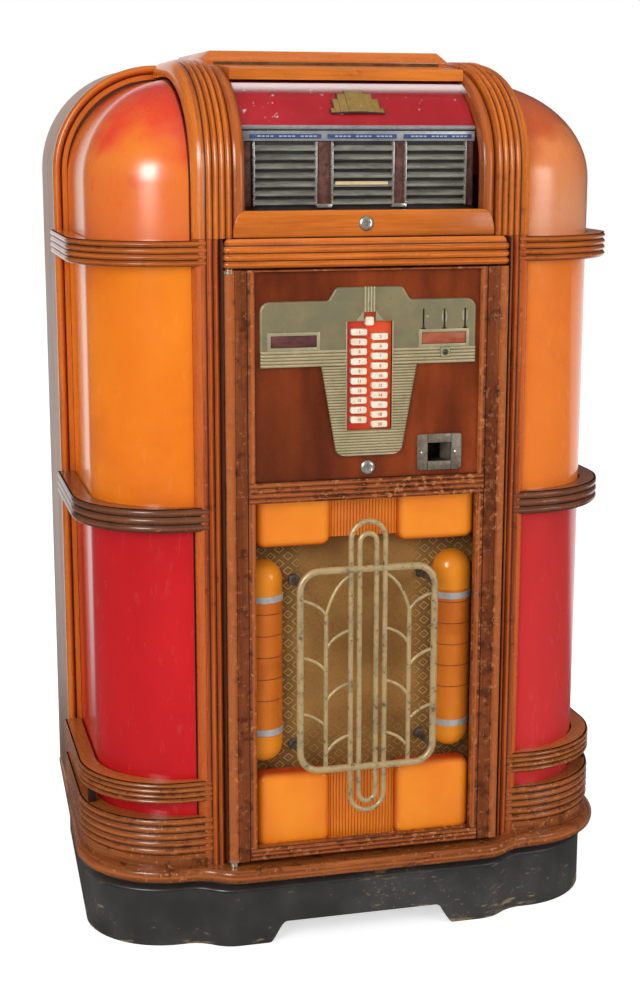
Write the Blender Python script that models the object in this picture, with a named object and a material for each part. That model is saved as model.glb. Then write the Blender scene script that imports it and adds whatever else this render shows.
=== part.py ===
"""Floor-standing coin phonograph of about 1940 with twenty selections.

Units are metres. +Z is up, the front faces -Y, +X is the viewer's right, and the origin lies on
the floor under the middle of the cabinet. Depths in this file are counted backwards from the
front of the door frame and turned into Y by the function back().
"""
import math

import bmesh
import bpy
from mathutils import Matrix, Vector

# Clearance between seated pieces, overlap of fused ones, and how far a cutter runs past a face
gap = 0.0003
overlap = 0.001
cut_overrun = 0.005

# Heights, stacked from the floor up the corners
plinth_height = 0.1250
base_thickness = 0.0220
skirt_height = 0.0835
lower_band_lift = 0.0264
lower_band_height = 0.0350
red_height = 0.4141
middle_band_height = 0.0379
amber_height = 0.3754
upper_band_height = 0.0392
base_top = plinth_height + base_thickness
skirt_top = base_top + skirt_height
lower_band_bottom = skirt_top + lower_band_lift
lower_band_top = lower_band_bottom + lower_band_height
middle_band_bottom = lower_band_top + red_height
middle_band_top = middle_band_bottom + middle_band_height
upper_band_bottom = middle_band_top + amber_height
upper_band_top = upper_band_bottom + upper_band_height

# Heights of the door, the rail and the lid; the rail lines up with the upper bands
door_foot_clearance = 0.0085
bottom_rail_height = 0.0203
middle_rail_height = 0.0328
upper_opening_height = 0.3274
top_rail_height = 0.0035
door_head_clearance = 0.0020
rail_drop = 0.0028
rail_height = 0.0445
sill_height = 0.0410
crown_lift = 0.1010
crown_rise = 0.1740
crown_stand = 0.0090
bead_proud = 0.0020
cap_height = 0.0207
door_bottom = base_top + door_foot_clearance
lower_opening_bottom = door_bottom + bottom_rail_height
rail_bottom = upper_band_bottom - rail_drop
door_top = rail_bottom - door_head_clearance
upper_opening_top = door_top - top_rail_height
upper_opening_bottom = upper_opening_top - upper_opening_height
lower_opening_top = upper_opening_bottom - middle_rail_height
rail_top = rail_bottom + rail_height
sill_top = rail_top + sill_height
crown_spring = rail_top + crown_lift
crown_top = crown_spring + crown_rise
case_top = crown_top - crown_stand
cap_bottom = case_top + bead_proud + gap
overall_height = cap_bottom + cap_height

# Half widths, stacked from the middle outwards
opening_half_width = 0.1825
stile_width = 0.0477
stile_clearance = 0.0023
reed_width = 0.0100
flank_width = 0.0205
corner_width = 0.1473
band_proud = 0.0320
base_proud = 0.0077
case_proud = 0.0217
door_half_width = opening_half_width + stile_width
pilaster_inner = door_half_width + stile_clearance
pilaster_strip = pilaster_inner + 2 * reed_width
pilaster_outer = pilaster_strip + flank_width
pilaster_upper_inner = pilaster_strip - 4 * reed_width
plastic_half_width = pilaster_outer + corner_width
band_half_width = plastic_half_width + band_proud
base_half_width = band_half_width + base_proud
case_half_width = plastic_half_width + case_proud

# Depths behind the front of the door frame
base_projection = 0.0200
pilaster_front = 0.0200
band_setback = 0.0026
band_depth = 0.0159
case_front = 0.4000
case_depth = 0.1960
base_lip = 0.0040
door_thickness = 0.0200
band_front = pilaster_front + band_setback
plastic_front = band_front + band_depth
case_rear = case_front + case_depth
base_rear = case_rear + base_lip
overall_depth = base_projection + base_rear

# Bends of the corners, the case and the crown
corner_straight = 0.0013
band_round = 0.0120
plastic_radius = corner_width - corner_straight
band_radius = plastic_radius + band_round
plastic_wall = 0.0030
case_shoulder = 0.1750
case_wall = 0.0120
pilaster_depth = 0.0420
pilaster_arc_depth = 0.0280
crown_run = 0.2720
crown_power = 2.12

# Smoothness of round work
corner_steps = 6
crown_steps = 9
smooth_angle = math.radians(35)


def back(depth):
    """Y of a plane that lies this far behind the front of the door frame."""
    return base_projection - overall_depth / 2 + depth


def arc(centre_x, centre_y, radius_x, radius_y, start, end, steps):
    """Points of an elliptic arc, both ends included, with angles in degrees."""
    points = []
    for i in range(steps + 1):
        angle = math.radians(start + (end - start) * i / steps)
        points.append((centre_x + radius_x * math.cos(angle), centre_y + radius_y * math.sin(angle)))
    return points


def rounded(corners, steps=3):
    """Outline of a polygon whose corners (x, y, radius) are rounded."""
    outline = []
    count = len(corners)
    for i, (x, y, radius) in enumerate(corners):
        here = Vector((x, y))
        if radius == 0:
            outline.append((x, y))
            continue
        before = (Vector(corners[i - 1][:2]) - here).normalized()
        after = (Vector(corners[(i + 1) % count][:2]) - here).normalized()
        half = before.angle(after) / 2
        reach = radius / math.tan(half)
        centre = here + (before + after).normalized() * radius / math.sin(half)
        start = here + before * reach - centre
        end = here + after * reach - centre
        turn = start.angle_signed(end)
        for k in range(steps + 1):
            outline.append(tuple(centre + Matrix.Rotation(-turn * k / steps, 2) @ start))
    return outline


def rounded_box(x0, x1, y0, y1, radius, steps=3):
    """Outline of a rectangle with one corner radius."""
    return rounded([(x0, y0, radius), (x1, y0, radius), (x1, y1, radius), (x0, y1, radius)], steps)


def reeds(start, end, count, height, steps=3):
    """Half-round reeds side by side from start to end, as (place, rise) points."""
    width = (end - start) / count
    points = []
    for i in range(count):
        for k in range(steps + 1):
            if i and k == 0:
                continue
            share = k / steps
            points.append((start + width * (i + share), height * math.sin(math.pi * share)))
    return points


def new_material(name, color, roughness, metallic=0.0):
    material = bpy.data.materials.new(name)
    material.use_nodes = True
    shader = material.node_tree.nodes["Principled BSDF"]
    shader.inputs["Base Color"].default_value = (*color, 1.0)
    shader.inputs["Roughness"].default_value = roughness
    shader.inputs["Metallic"].default_value = metallic
    material.diffuse_color = (*color, 1.0)
    return material


def add_object(name, bm, material):
    """Turns a bmesh into a named object with its own copy of a material."""
    bmesh.ops.recalc_face_normals(bm, faces=bm.faces)
    mesh = bpy.data.meshes.new(name)
    bm.to_mesh(mesh)
    bm.free()
    mesh.materials.append(material)
    piece = bpy.data.objects.new(name, mesh)
    bpy.context.collection.objects.link(piece)
    shade(piece)
    return piece


def shade(piece):
    piece.data.shade_smooth()
    piece.data.set_sharp_from_angle(angle=smooth_angle)


def loft(name, rings, material, closed=False):
    """Closed body through equal rings of 3-D points, capped at its ends or joined round."""
    bm = bmesh.new()
    rows = [[bm.verts.new(point) for point in ring] for ring in rings]
    following = rows[1:] + rows[:1] if closed else rows[1:]
    for row, after in zip(rows, following):
        for i in range(len(row)):
            k = (i + 1) % len(row)
            bm.faces.new((row[i], row[k], after[k], after[i]))
    if not closed:
        bm.faces.new(rows[0])
        bm.faces.new(rows[-1])
    return add_object(name, bm, material)


def prism_y(name, outline, y0, y1, material):
    """Outline in X and Z, extruded along Y."""
    return loft(name, [[(x, y, z) for x, z in outline] for y in (y0, y1)], material)


def prism_z(name, outline, z0, z1, material):
    """Outline in X and Y, extruded along Z."""
    return loft(name, [[(x, y, z) for x, y in outline] for z in (z0, z1)], material)


def prism_x(name, outline, x0, x1, material):
    """Outline in Y and Z, extruded along X."""
    return loft(name, [[(x, y, z) for y, z in outline] for x in (x0, x1)], material)


def block(name, x0, x1, y0, y1, z0, z1, material):
    return prism_z(name, [(x0, y0), (x1, y0), (x1, y1), (x0, y1)], z0, z1, material)


def turned(name, profile, origin, axis, material, steps=20):
    """Body of revolution: profile points are (radius, place along the axis), from axis to axis."""
    frame = Vector((0, 0, 1)).rotation_difference(Vector(axis)).to_matrix()
    bm = bmesh.new()
    vertices = [bm.verts.new((radius, 0, place)) for radius, place in profile]
    edges = [bm.edges.new(pair) for pair in zip(vertices, vertices[1:])]
    bmesh.ops.spin(bm, geom=vertices + edges, cent=(0, 0, 0), axis=(0, 0, 1),
                   angle=math.tau, steps=steps, use_merge=True, use_duplicate=False)
    bmesh.ops.remove_doubles(bm, verts=bm.verts, dist=gap / 30)
    bmesh.ops.transform(bm, matrix=Matrix.Translation(origin) @ frame.to_4x4(), verts=bm.verts)
    return add_object(name, bm, material)


def bar(name, path, radius, material, closed=False, detail=1):
    """Round bar along a path of 3-D points, made from a bevelled curve with filled caps."""
    curve = bpy.data.curves.new(name, "CURVE")
    curve.dimensions = "3D"
    curve.bevel_depth = radius
    curve.bevel_resolution = detail
    curve.use_fill_caps = not closed
    spline = curve.splines.new("POLY")
    spline.points.add(len(path) - 1)
    for point, place in zip(spline.points, path):
        point.co = (*place, 1.0)
    spline.use_cyclic_u = closed
    guide = bpy.data.objects.new(name, curve)
    bpy.context.collection.objects.link(guide)
    graph = bpy.context.evaluated_depsgraph_get()
    mesh = bpy.data.meshes.new_from_object(guide.evaluated_get(graph))
    bpy.data.objects.remove(guide)
    bm = bmesh.new()
    bm.from_mesh(mesh)
    bmesh.ops.remove_doubles(bm, verts=bm.verts, dist=gap / 30)
    bpy.data.meshes.remove(mesh)
    return add_object(name, bm, material)


def combine(target, others, operation):
    """Applies one Boolean after another to the target and removes the other objects."""
    for other in others:
        modifier = target.modifiers.new("combine", "BOOLEAN")
        modifier.operation = operation
        modifier.solver = "EXACT"
        modifier.object = other
        graph = bpy.context.evaluated_depsgraph_get()
        mesh = bpy.data.meshes.new_from_object(target.evaluated_get(graph))
        target.modifiers.remove(modifier)
        target.data = mesh
        bpy.data.objects.remove(other)
    shade(target)
    return target


def fuse(target, others):
    return combine(target, others, "UNION")


def cut(target, others):
    return combine(target, others, "DIFFERENCE")


def trim(target, others):
    return combine(target, others, "INTERSECT")


def hang_on(pivot, pieces):
    """Parents pieces to an empty on their joint's axis and keeps them where they are."""
    bpy.context.view_layer.update()
    for piece in pieces:
        piece.parent = pivot
        piece.matrix_parent_inverse = pivot.matrix_world.inverted()


def new_pivot(name, place):
    pivot = bpy.data.objects.new(name, None)
    pivot.location = place
    bpy.context.collection.objects.link(pivot)
    return pivot


def corner_plan(half_width, front, radius, start_x, end_depth):
    """Plan of a corner on the right: (x, depth, normal x, normal y) from the front to the side."""
    centre_x = half_width - radius
    centre_depth = front + radius
    plan = [(start_x, front, 0.0, -1.0)]
    for i in range(corner_steps + 1):
        angle = math.pi / 2 * i / corner_steps
        normal = (math.sin(angle), -math.cos(angle))
        plan.append((centre_x + radius * normal[0], centre_depth + radius * normal[1], *normal))
    plan.append((half_width, end_depth, 1.0, 0.0))
    return plan


def crown_point(share, offset=0.0):
    """Depth and height on the curve that bends over the top, share 0 at the spring, 1 at the crest."""
    angle = math.pi / 2 * share
    run = crown_run - offset
    rise = crown_top - crown_spring - offset
    across = math.cos(angle) ** (2 / crown_power)
    up = math.sin(angle) ** (2 / crown_power)
    return pilaster_front + crown_run - run * across, crown_spring + rise * up


def crown_path(bottom, end_depth, offset=0.0):
    """Depths and heights from a straight foot, over the crown and back to a depth."""
    path = [(pilaster_front + offset, bottom)]
    path += [crown_point(i / crown_steps, offset) for i in range(crown_steps + 1)]
    if end_depth > pilaster_front + crown_run + gap:
        path.append((end_depth, crown_top - offset))
    return path


# Base


base_centre_front = -base_projection
base_corner_front = 0.010
base_radius = 0.160
base_edge = 0.006
cove_straight = 0.010
cove_width = 0.085
cove_end = base_half_width - base_radius - cove_straight
cove_start = cove_end - cove_width
cove_steps = 4
plinth_inset = 0.023
plinth_cove_depth = 0.038
plinth_wall = 0.022
plinth_bead_drop = 0.025
plinth_bead = 0.004
plinth_recess = 0.006
arch_half_width = 0.1615
arch_slope = 0.0315
arch_height = 0.036


def base_outline(inset, centre_front, corner_front):
    """Plan of the base: a centre that stands forward, a cove on each side, rounded corners."""
    half_width = base_half_width - inset
    radius = base_radius - inset
    right = [(cove_start * i / 2, centre_front) for i in range(3)]
    for i in range(1, cove_steps + 1):
        share = (1 - math.cos(math.pi * i / cove_steps)) / 2
        x = cove_start + (cove_end - cove_start) * i / cove_steps
        right.append((x, centre_front + (corner_front - centre_front) * share))
    right += arc(half_width - radius, corner_front + radius, radius, radius, -90, 0, corner_steps)
    right.append((half_width, base_rear - inset))
    left = [(-x, depth) for x, depth in reversed(right[1:])]
    return [(x, back(depth)) for x, depth in left + right]


def offset_outline(outline, distance):
    """Moves a closed outline outwards by a distance, point by point along its normals."""
    moved = []
    for i, here in enumerate(outline):
        before = Vector(outline[i - 1])
        after = Vector(outline[(i + 1) % len(outline)])
        first = (Vector(here) - before).normalized()
        second = (after - Vector(here)).normalized()
        mean = (first + second).normalized()
        normal = Vector((mean.y, -mean.x))
        stretch = 1 / max(normal.dot(Vector((first.y, -first.x))), 0.5)
        moved.append(tuple(Vector(here) + normal * distance * stretch))
    return moved


def make_plinth():
    """Black painted plinth of four walls, with a bead under a recess and an arch in front."""
    outline = base_outline(plinth_inset, base_centre_front + plinth_cove_depth,
                           base_corner_front + plinth_cove_depth)
    top = plinth_height - gap
    bead = plinth_height - plinth_bead_drop
    profile = [(0, 0), (0, bead - plinth_bead), (plinth_bead, bead), (plinth_bead, bead + plinth_bead),
               (-plinth_recess, bead + 2 * plinth_bead), (-plinth_recess, top),
               (-plinth_wall, top), (-plinth_wall, 0)]
    rings = [[(x, y, z) for x, y in offset_outline(outline, inset)] for inset, z in profile]
    plinth = loft("plinth", rings, black_paint, closed=True)
    corner = arch_height / 2
    top_half = arch_half_width - arch_slope
    arch = rounded([(-arch_half_width, -cut_overrun, 0), (arch_half_width, -cut_overrun, 0),
                    (arch_half_width, 0, 0), (top_half, arch_height, corner),
                    (-top_half, arch_height, corner), (-arch_half_width, 0, 0)])
    front = back(base_centre_front)
    return cut(plinth, [prism_y("arch", arch, front, front + 2 * plinth_cove_depth + plinth_wall,
                                black_paint)])


skirt_reeds = 5
skirt_plain = 0.022
band_groove = 0.0045
post_width = 0.012
post_places_share = (0.30, 0.80)


def band_rings(bottom, top, reed_bottom, count, steps=3):
    """Rings of a reeded band that bends round the right-hand corner, front end to case."""
    outer = corner_plan(band_half_width, band_front, band_radius, pilaster_strip + gap,
                        case_front - bead_depth - gap)
    inner = corner_plan(plastic_half_width + gap, plastic_front - gap, plastic_radius + gap,
                        pilaster_strip + gap, case_front - bead_depth - gap)
    face = [(z, rise - band_groove) for z, rise in reeds(reed_bottom, top, count, band_groove, steps)]
    if reed_bottom > bottom:
        face = [(bottom, -band_groove / 2), (reed_bottom - overlap, -band_groove / 2)] + face
    rings = []
    for (x, depth, nx, ny), (inner_x, inner_depth, _, _) in zip(outer, inner):
        inner_x = max(inner_x, pilaster_strip + gap)
        ring = [(x + nx * rise, back(depth + ny * rise), z) for z, rise in face]
        ring += [(inner_x, back(inner_depth), top), (inner_x, back(inner_depth), bottom)]
        rings.append(ring)
    return rings


def mirrored(rings, side):
    return [[(side * x, y, z) for x, y, z in ring] for ring in rings]


def make_band(name, side, bottom, top, count, material):
    return loft(name, mirrored(band_rings(bottom, top, bottom, count), side), material)


def make_base_moulding():
    """Moulded base board with the reeded skirts on it, and the lower bands on their posts."""
    outline = base_outline(0, base_centre_front, base_corner_front)
    middle = (plinth_height + base_top) / 2
    profile = [(-base_edge, plinth_height), (-base_edge / 4, plinth_height + base_edge / 3),
               (0, middle), (-base_edge / 4, base_top - base_edge / 3), (-base_edge, base_top)]
    rings = [[(x, y, z) for x, y in offset_outline(outline, inset)] for inset, z in profile]
    board = loft("base_moulding", rings, wood)
    parts = []
    for side in (-1, 1):
        skirt = band_rings(base_top - overlap, skirt_top, base_top + skirt_plain, skirt_reeds, 2)
        parts.append(loft("skirt", mirrored(skirt, side), wood))
        lower = band_rings(lower_band_bottom, lower_band_top, lower_band_bottom, 4, 2)
        parts.append(loft("lower_band", mirrored(lower, side), wood))
        plan = corner_plan(band_half_width, band_front, band_radius, pilaster_strip, case_front)
        for share in post_places_share:
            x, depth, nx, ny = plan[round(share * (len(plan) - 1))]
            reach = post_width / 2
            x, depth = x - nx * post_width, depth - ny * post_width
            parts.append(block("post", side * x - reach, side * x + reach, back(depth) - reach,
                               back(depth) + reach, skirt_top - overlap,
                               lower_band_bottom + overlap, wood))
    return fuse(board, parts)


# Rear case


bead_depth = 0.016
bead_width = 0.0212
inner_wall_half = pilaster_outer - 3 * overlap
inner_wall_thickness = 0.012
inner_wall_drop = 0.012
inner_wall_top = crown_spring - inner_wall_drop
pilaster_back = pilaster_front + pilaster_depth
deck_lift = 0.643
deck_height = base_top + deck_lift
deck_thickness = 0.015
deck_front = 0.100
floor_thickness = 0.012
baffle_depth = 0.100
baffle_thickness = 0.016
baffle_drop = 0.045
speaker_lift = 0.313
speaker_height = base_top + speaker_lift
speaker_radius = 0.150
speaker_seat = 0.018
speaker_opening = speaker_radius - speaker_seat
bulkhead_drop = 0.077
back_panel_thickness = 0.010
back_panel_inset = 0.006
vent_count = 5
vent_width = 0.180
vent_height = 0.010
vent_pitch = 0.034
vent_lift = 0.103
vent_upper_lift = 0.690


def case_arch(inset, bottom):
    """Half-round-shouldered front outline of the case, from its right foot to its left foot."""
    half_width = case_half_width - inset
    radius = case_shoulder - inset
    right = [(half_width, bottom)]
    right += arc(half_width - radius, case_top - inset - radius, radius, radius, 0, 90, corner_steps)
    return right + [(-x, z) for x, z in reversed(right)]


def make_cabinet_shell():
    """Case of bent plywood with its bulkhead, inner walls, floor, speaker baffle and shelf."""
    foot = base_top + gap
    shell = prism_y("cabinet_shell", case_arch(0, foot), back(case_front), back(case_rear), veneer)
    hollow = prism_y("hollow", case_arch(case_wall, foot - cut_overrun), back(case_front + case_wall),
                     back(case_rear + cut_overrun), veneer)
    window_half = inner_wall_half - inner_wall_thickness
    window = block("window", -window_half, window_half, back(case_front - cut_overrun),
                   back(case_front + 2 * case_wall), foot + floor_thickness,
                   case_top - bulkhead_drop, veneer)
    cut(shell, [hollow, window])
    parts = []
    for side in (-1, 1):
        x = sorted((side * inner_wall_half, side * window_half))
        parts.append(block("wall", *x, back(pilaster_back + gap), back(case_front + overlap), foot,
                           inner_wall_top, veneer))
    reach = window_half + overlap
    rear = case_rear - back_panel_thickness - back_panel_inset - gap
    parts.append(block("floor", -reach, reach, back(baffle_depth), back(rear), foot,
                       foot + floor_thickness, veneer))
    parts.append(block("shelf", -reach, reach, back(deck_front), back(rear),
                       deck_height - deck_thickness, deck_height, veneer))
    baffle = block("baffle", -reach, reach, back(baffle_depth), back(baffle_depth + baffle_thickness),
                   foot + overlap, deck_height - baffle_drop, veneer)
    hole = turned("hole", [(0, -cut_overrun), (speaker_opening, -cut_overrun),
                           (speaker_opening, baffle_thickness + cut_overrun),
                           (0, baffle_thickness + cut_overrun)],
                  (0, back(baffle_depth), speaker_height), (0, 1, 0), veneer, 24)
    parts.append(cut(baffle, [hole]))
    return fuse(shell, parts)


def make_arch_bead():
    """Wood moulding with a bead and a fillet round the front edge of the case."""
    foot = base_top + gap
    face = case_front - bead_depth
    rise = bead_depth / 4
    section = [(bead_width, case_front - gap), (bead_width, face + rise), (bead_width * 0.62, face + rise),
               (bead_width * 0.55, face + rise / 2), (bead_width * 0.40, face),
               (bead_width * 0.15, face), (0, face + rise / 2), (-bead_proud, face + 2 * rise),
               (-bead_proud, case_front - gap)]
    outlines = [(case_arch(inset, foot), depth) for inset, depth in section]
    rings = []
    for i in range(len(outlines[0][0])):
        rings.append([(outline[i][0], back(depth), outline[i][1]) for outline, depth in outlines])
    return loft("arch_bead", rings, wood)


def make_back_panel():
    """Lift-out rear panel with rows of vent slots, seated inside the case."""
    inset = case_wall + gap
    foot = base_top + 2 * gap
    rear = case_rear - back_panel_inset
    panel = prism_y("back_panel", case_arch(inset, foot), back(rear - back_panel_thickness),
                    back(rear), dark_board)
    slots = []
    for i in range(vent_count):
        bottom = base_top + vent_pitch * i
        for lift in (vent_lift, vent_upper_lift + vent_lift):
            slots.append(block("slot", -vent_width / 2, vent_width / 2,
                               back(rear - back_panel_thickness - cut_overrun),
                               back(rear + cut_overrun), bottom + lift, bottom + lift + vent_height,
                               dark_board))
    return cut(panel, slots)


# Pilasters, rail and cap


reed_rise = 0.005
flank_drop = 0.020


def pilaster_section(inner, count):
    """Front of a pilaster as (x, rise): reeds from the inner edge, then the outer quarter round."""
    face = [(x, rise - reed_rise) for x, rise in reeds(inner, pilaster_strip, count, reed_rise)]
    run = pilaster_outer - pilaster_strip
    return face + arc(pilaster_strip, -flank_drop, run, flank_drop - reed_rise / 2, 84, 0, 4)


def make_pilaster(name, side):
    """Reeded post that bends over the top; above the rail it gains a third reed inside."""
    foot = base_top + gap
    lower_section = pilaster_section(pilaster_inner, 2)
    rings = []
    for z in (foot, rail_top - overlap):
        ring = [(side * x, back(pilaster_front - rise), z) for x, rise in lower_section]
        ring += [(side * pilaster_outer, back(pilaster_back), z),
                 (side * pilaster_inner, back(pilaster_back), z)]
        rings.append(ring)
    post = loft(name, rings, wood)
    upper_section = pilaster_section(pilaster_upper_inner, 3)
    section = upper_section + [(pilaster_outer, -pilaster_arc_depth),
                               (pilaster_upper_inner, -pilaster_arc_depth)]
    end = case_front - bead_depth - gap
    rows = [crown_path(rail_top + gap, end, -rise) for _, rise in section]
    rings = []
    for i in range(len(rows[0])):
        rings.append([(side * x, back(row[i][0]), row[i][1]) for (x, _), row in zip(section, rows)])
    crown = loft("crown", rings, wood)
    x = sorted((side * (pilaster_inner + overlap), side * (pilaster_outer - overlap)))
    neck = block("neck", *x, back(pilaster_front + flank_drop + overlap),
                 back(pilaster_front + pilaster_arc_depth - overlap), rail_top - 2 * overlap,
                 rail_top + 2 * overlap, wood)
    fuse(post, [neck, crown])
    notches = []
    for low, high in ((foot - cut_overrun, skirt_top), (lower_band_bottom, lower_band_top),
                      (middle_band_bottom, middle_band_top), (upper_band_bottom, upper_band_top)):
        x = sorted((side * pilaster_strip, side * (pilaster_outer + cut_overrun)))
        notches.append(block("notch", *x, back(pilaster_front - cut_overrun), back(plastic_front),
                             low - gap, high + gap, wood))
    return cut(post, notches)


rail_front = 0.002
rail_back = 0.104
rail_round = 0.014
rail_bevel = 0.010
rail_groove = 0.004


def make_front_rail():
    """Three-reed cross rail between the pilasters; its ends turn back and its top is bevelled."""
    half = pilaster_inner - gap
    face = [(z, rise - rail_groove) for z, rise in
            reeds(rail_bottom, rail_top - rail_bevel, 3, rail_groove)]
    face.append((rail_top - gap, -rail_bevel))
    plan = [(half, rail_front + rail_round, 1.0, 0.0)]
    for i in range(1, 4):
        angle = math.pi / 2 * i / 3
        plan.append((half - rail_round * (1 - math.cos(angle)),
                     rail_front + rail_round * (1 - math.sin(angle)), math.cos(angle), -math.sin(angle)))
    plan += [(-x, depth, -nx, ny) for x, depth, nx, ny in reversed(plan)]
    rings = []
    for z, rise in face:
        front = [(x + min(nx * rise, 0) if nx > 0 else x + max(nx * rise, 0), back(depth + ny * rise), z)
                 for x, depth, nx, ny in plan]
        rings.append(front + [(-half, back(rail_back), z), (half, back(rail_back), z)])
    return loft("front_rail", rings, wood)


cap_slope = 0.0140
cap_side_clearance = 0.0035
cap_half_width = pilaster_upper_inner - cap_side_clearance
cap_setback = 0.0050
cap_rear_inset = 0.0120
cap_block_depth = 0.0293
cap_lip = 0.0060


def make_top_cap():
    """Hipped slab on the case, with the block under it that the lid is hinged to."""
    front = lid_rear + cap_setback
    rear = case_rear - cap_rear_inset
    outlines = []
    for inset, z in ((0, cap_bottom), (0, cap_bottom + cap_lip), (cap_slope, overall_height)):
        half = cap_half_width - inset
        outlines.append([(-half, back(front + inset), z), (half, back(front + inset), z),
                         (half, back(rear - inset), z), (-half, back(rear - inset), z)])
    cap = loft("top_cap", outlines, wood)
    under = block("under", -cap_half_width, cap_half_width, back(lid_rear + hinge_barrel + gap),
                  back(case_front - bead_depth - gap), cap_bottom - cap_block_depth,
                  cap_bottom + overlap, wood)
    return fuse(cap, [under])


# Corner plastics


plastic_inner = pilaster_outer + gap
dome_inset = 0.0230
dome_centre_x = pilaster_outer - dome_inset
dome_centre_depth = 0.2950
dome_lift = 0.0855
dome_rise = 0.1600
dome_spring = upper_band_top + dome_lift
dome_levels = 8
plastic_end = case_front - gap


def plastic_piece(name, side, rows, material):
    """Thin translucent moulding: a grid of points given a wall by Solidify."""
    bm = bmesh.new()
    grid = [[bm.verts.new((side * x, y, z)) for x, y, z in row] for row in rows]
    for row, after in zip(grid, grid[1:]):
        for i in range(len(row) - 1):
            bm.faces.new((row[i], row[i + 1], after[i + 1], after[i]))
    bmesh.ops.recalc_face_normals(bm, faces=bm.faces)
    outward = bm.faces[:][0]
    outward.normal_update()
    if outward.normal.y > 0:
        bmesh.ops.reverse_faces(bm, faces=bm.faces)
    mesh = bpy.data.meshes.new(name)
    bm.to_mesh(mesh)
    bm.free()
    mesh.materials.append(material)
    piece = bpy.data.objects.new(name, mesh)
    bpy.context.collection.objects.link(piece)
    wall = piece.modifiers.new("wall", "SOLIDIFY")
    wall.thickness = plastic_wall
    wall.offset = -1
    wall.use_even_offset = False
    shade(piece)
    return piece


def plastic_row(share, z):
    """Plan of the plastics at one level; share 1 is the straight wall, 0 the crest of the dome."""
    half_width = dome_centre_x + (plastic_half_width - dome_centre_x) * share
    front = dome_centre_depth - (dome_centre_depth - plastic_front) * share
    radius = plastic_radius * share
    half_width = max(half_width, plastic_inner)
    radius = min(radius, half_width - plastic_inner)
    plan = corner_plan(half_width, front, radius, plastic_inner, plastic_end)
    return [(x, back(depth), z) for x, depth, _, _ in plan]


def make_panel(name, side, bottom, top, material):
    return plastic_piece(name, side, [plastic_row(1, bottom), plastic_row(1, top)], material)


def make_dome(name, side, bottom, material):
    """Domed corner whose front, side and top curves run into each other."""
    rows = [plastic_row(1, bottom)]
    closing_share = (plastic_inner - dome_centre_x) / (plastic_half_width - dome_centre_x)
    last = math.acos(closing_share * 1.05)
    for i in range(dome_levels + 1):
        angle = last * i / dome_levels
        rows.append(plastic_row(math.cos(angle), dome_spring + dome_rise * math.sin(angle)))
    return plastic_piece(name, side, rows, material)


# Lid


lid_clearance = 0.0012
lid_inset = 0.006
lid_half_width = pilaster_upper_inner - lid_clearance
lid_stile = 0.0213
lid_inner_half = lid_half_width - lid_stile
lid_depth = 0.0200
lid_round = 0.0040
lid_rear = 0.2675
sill_corner = 0.0120
header_start = 0.1370
header_drop = 0.0355
header_height = 0.0180
header_bottom = crown_top - header_drop
hinge_barrel = 0.0030
glass_inset = 0.012
glass_thickness = 0.004
lock_radius = 0.0115
lock_cap = 0.003
lock_head = 0.0040
lock_length = 0.028
lid_lock_height = rail_top + sill_height / 2
curve_steps = 14


def crown_height(depth, offset):
    """Height of the crown curve, set in by an offset, above a depth."""
    run = crown_run - offset
    across = min(max((pilaster_front + crown_run - depth) / run, 0.0), 1.0)
    rise = crown_top - crown_spring - offset
    return crown_spring + rise * (1 - across ** crown_power) ** (1 / crown_power)


def lid_curve(bottom, offset, start=None, end=lid_rear):
    """Depths and heights along the lid's curve, from its foot or a start depth to the hinge."""
    front = pilaster_front + offset
    path = [] if start else [(front, bottom), (front, crown_spring)]
    first = start or front
    for i in range(0 if start else 1, curve_steps + 1):
        share = (i / curve_steps) ** 2 if not start else i / curve_steps
        depth = first + (end - first) * share
        path.append((depth, crown_height(depth, offset)))
    return path


def lock_hole(place, depth):
    profile = [(0, -cut_overrun), (lock_radius + gap, -cut_overrun),
               (lock_radius + gap, depth + cut_overrun), (0, depth + cut_overrun)]
    return turned("hole", profile, place, (0, 1, 0), wood, 16)


def make_window_frame():
    """Lid frame: sill in front, two arches over the top, header and hinge barrel at the back."""
    arches = []
    section = [(lid_half_width, lid_inset + lid_round), (lid_half_width - lid_round, lid_inset),
               (lid_inner_half + lid_round, lid_inset), (lid_inner_half, lid_inset + lid_round),
               (lid_inner_half, lid_inset + lid_depth), (lid_half_width, lid_inset + lid_depth)]
    rows = [lid_curve(rail_top + gap, offset) for _, offset in section]
    for side in (-1, 1):
        rings = []
        for i in range(len(rows[0])):
            rings.append([(side * x, back(row[i][0]), row[i][1])
                          for (x, _), row in zip(section, rows)])
        arches.append(loft("window_frame", rings, wood))
    reach = lid_inner_half + overlap
    sill = rounded([(-reach, rail_top + gap, 0), (reach, rail_top + gap, 0),
                    (reach, sill_top, sill_corner), (-reach, sill_top, sill_corner)])
    front = pilaster_front + lid_inset
    board = prism_y("sill", sill, back(front), back(front + lid_depth), wood)
    profile = rounded([(header_start, header_bottom, 0),
                       (header_start, header_bottom + header_height, lid_round),
                       (lid_rear, hinge_height() - hinge_barrel / 2, 0),
                       (lid_rear, header_bottom, 0)])
    header = prism_x("header", [(back(depth), z) for depth, z in profile], -reach, reach, wood)
    barrel = bar("barrel", [(x, back(lid_rear), hinge_height()) for x in (-reach, reach)],
                 hinge_barrel, wood)
    frame = fuse(board, [arches[0], arches[1], header, barrel])
    frame.name = "window_frame"
    return cut(frame, [lock_hole((0, back(front), lid_lock_height), lid_depth)])


def hinge_height():
    """Height of the lid's hinge axis, on the upper rear edge of its header."""
    return crown_height(lid_rear, lid_inset)


def make_window_glass():
    """Bent glass between the arches, from the sill to the header."""
    half = lid_inner_half - gap
    foot = sill_top + gap
    end = header_start - gap
    outer = lid_curve(foot, glass_inset, None, end)
    inner = lid_curve(foot, glass_inset + glass_thickness, None, end)
    return prism_x("window_glass", [(back(depth), z) for depth, z in outer + inner[::-1]],
                   -half, half, glass)


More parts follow.
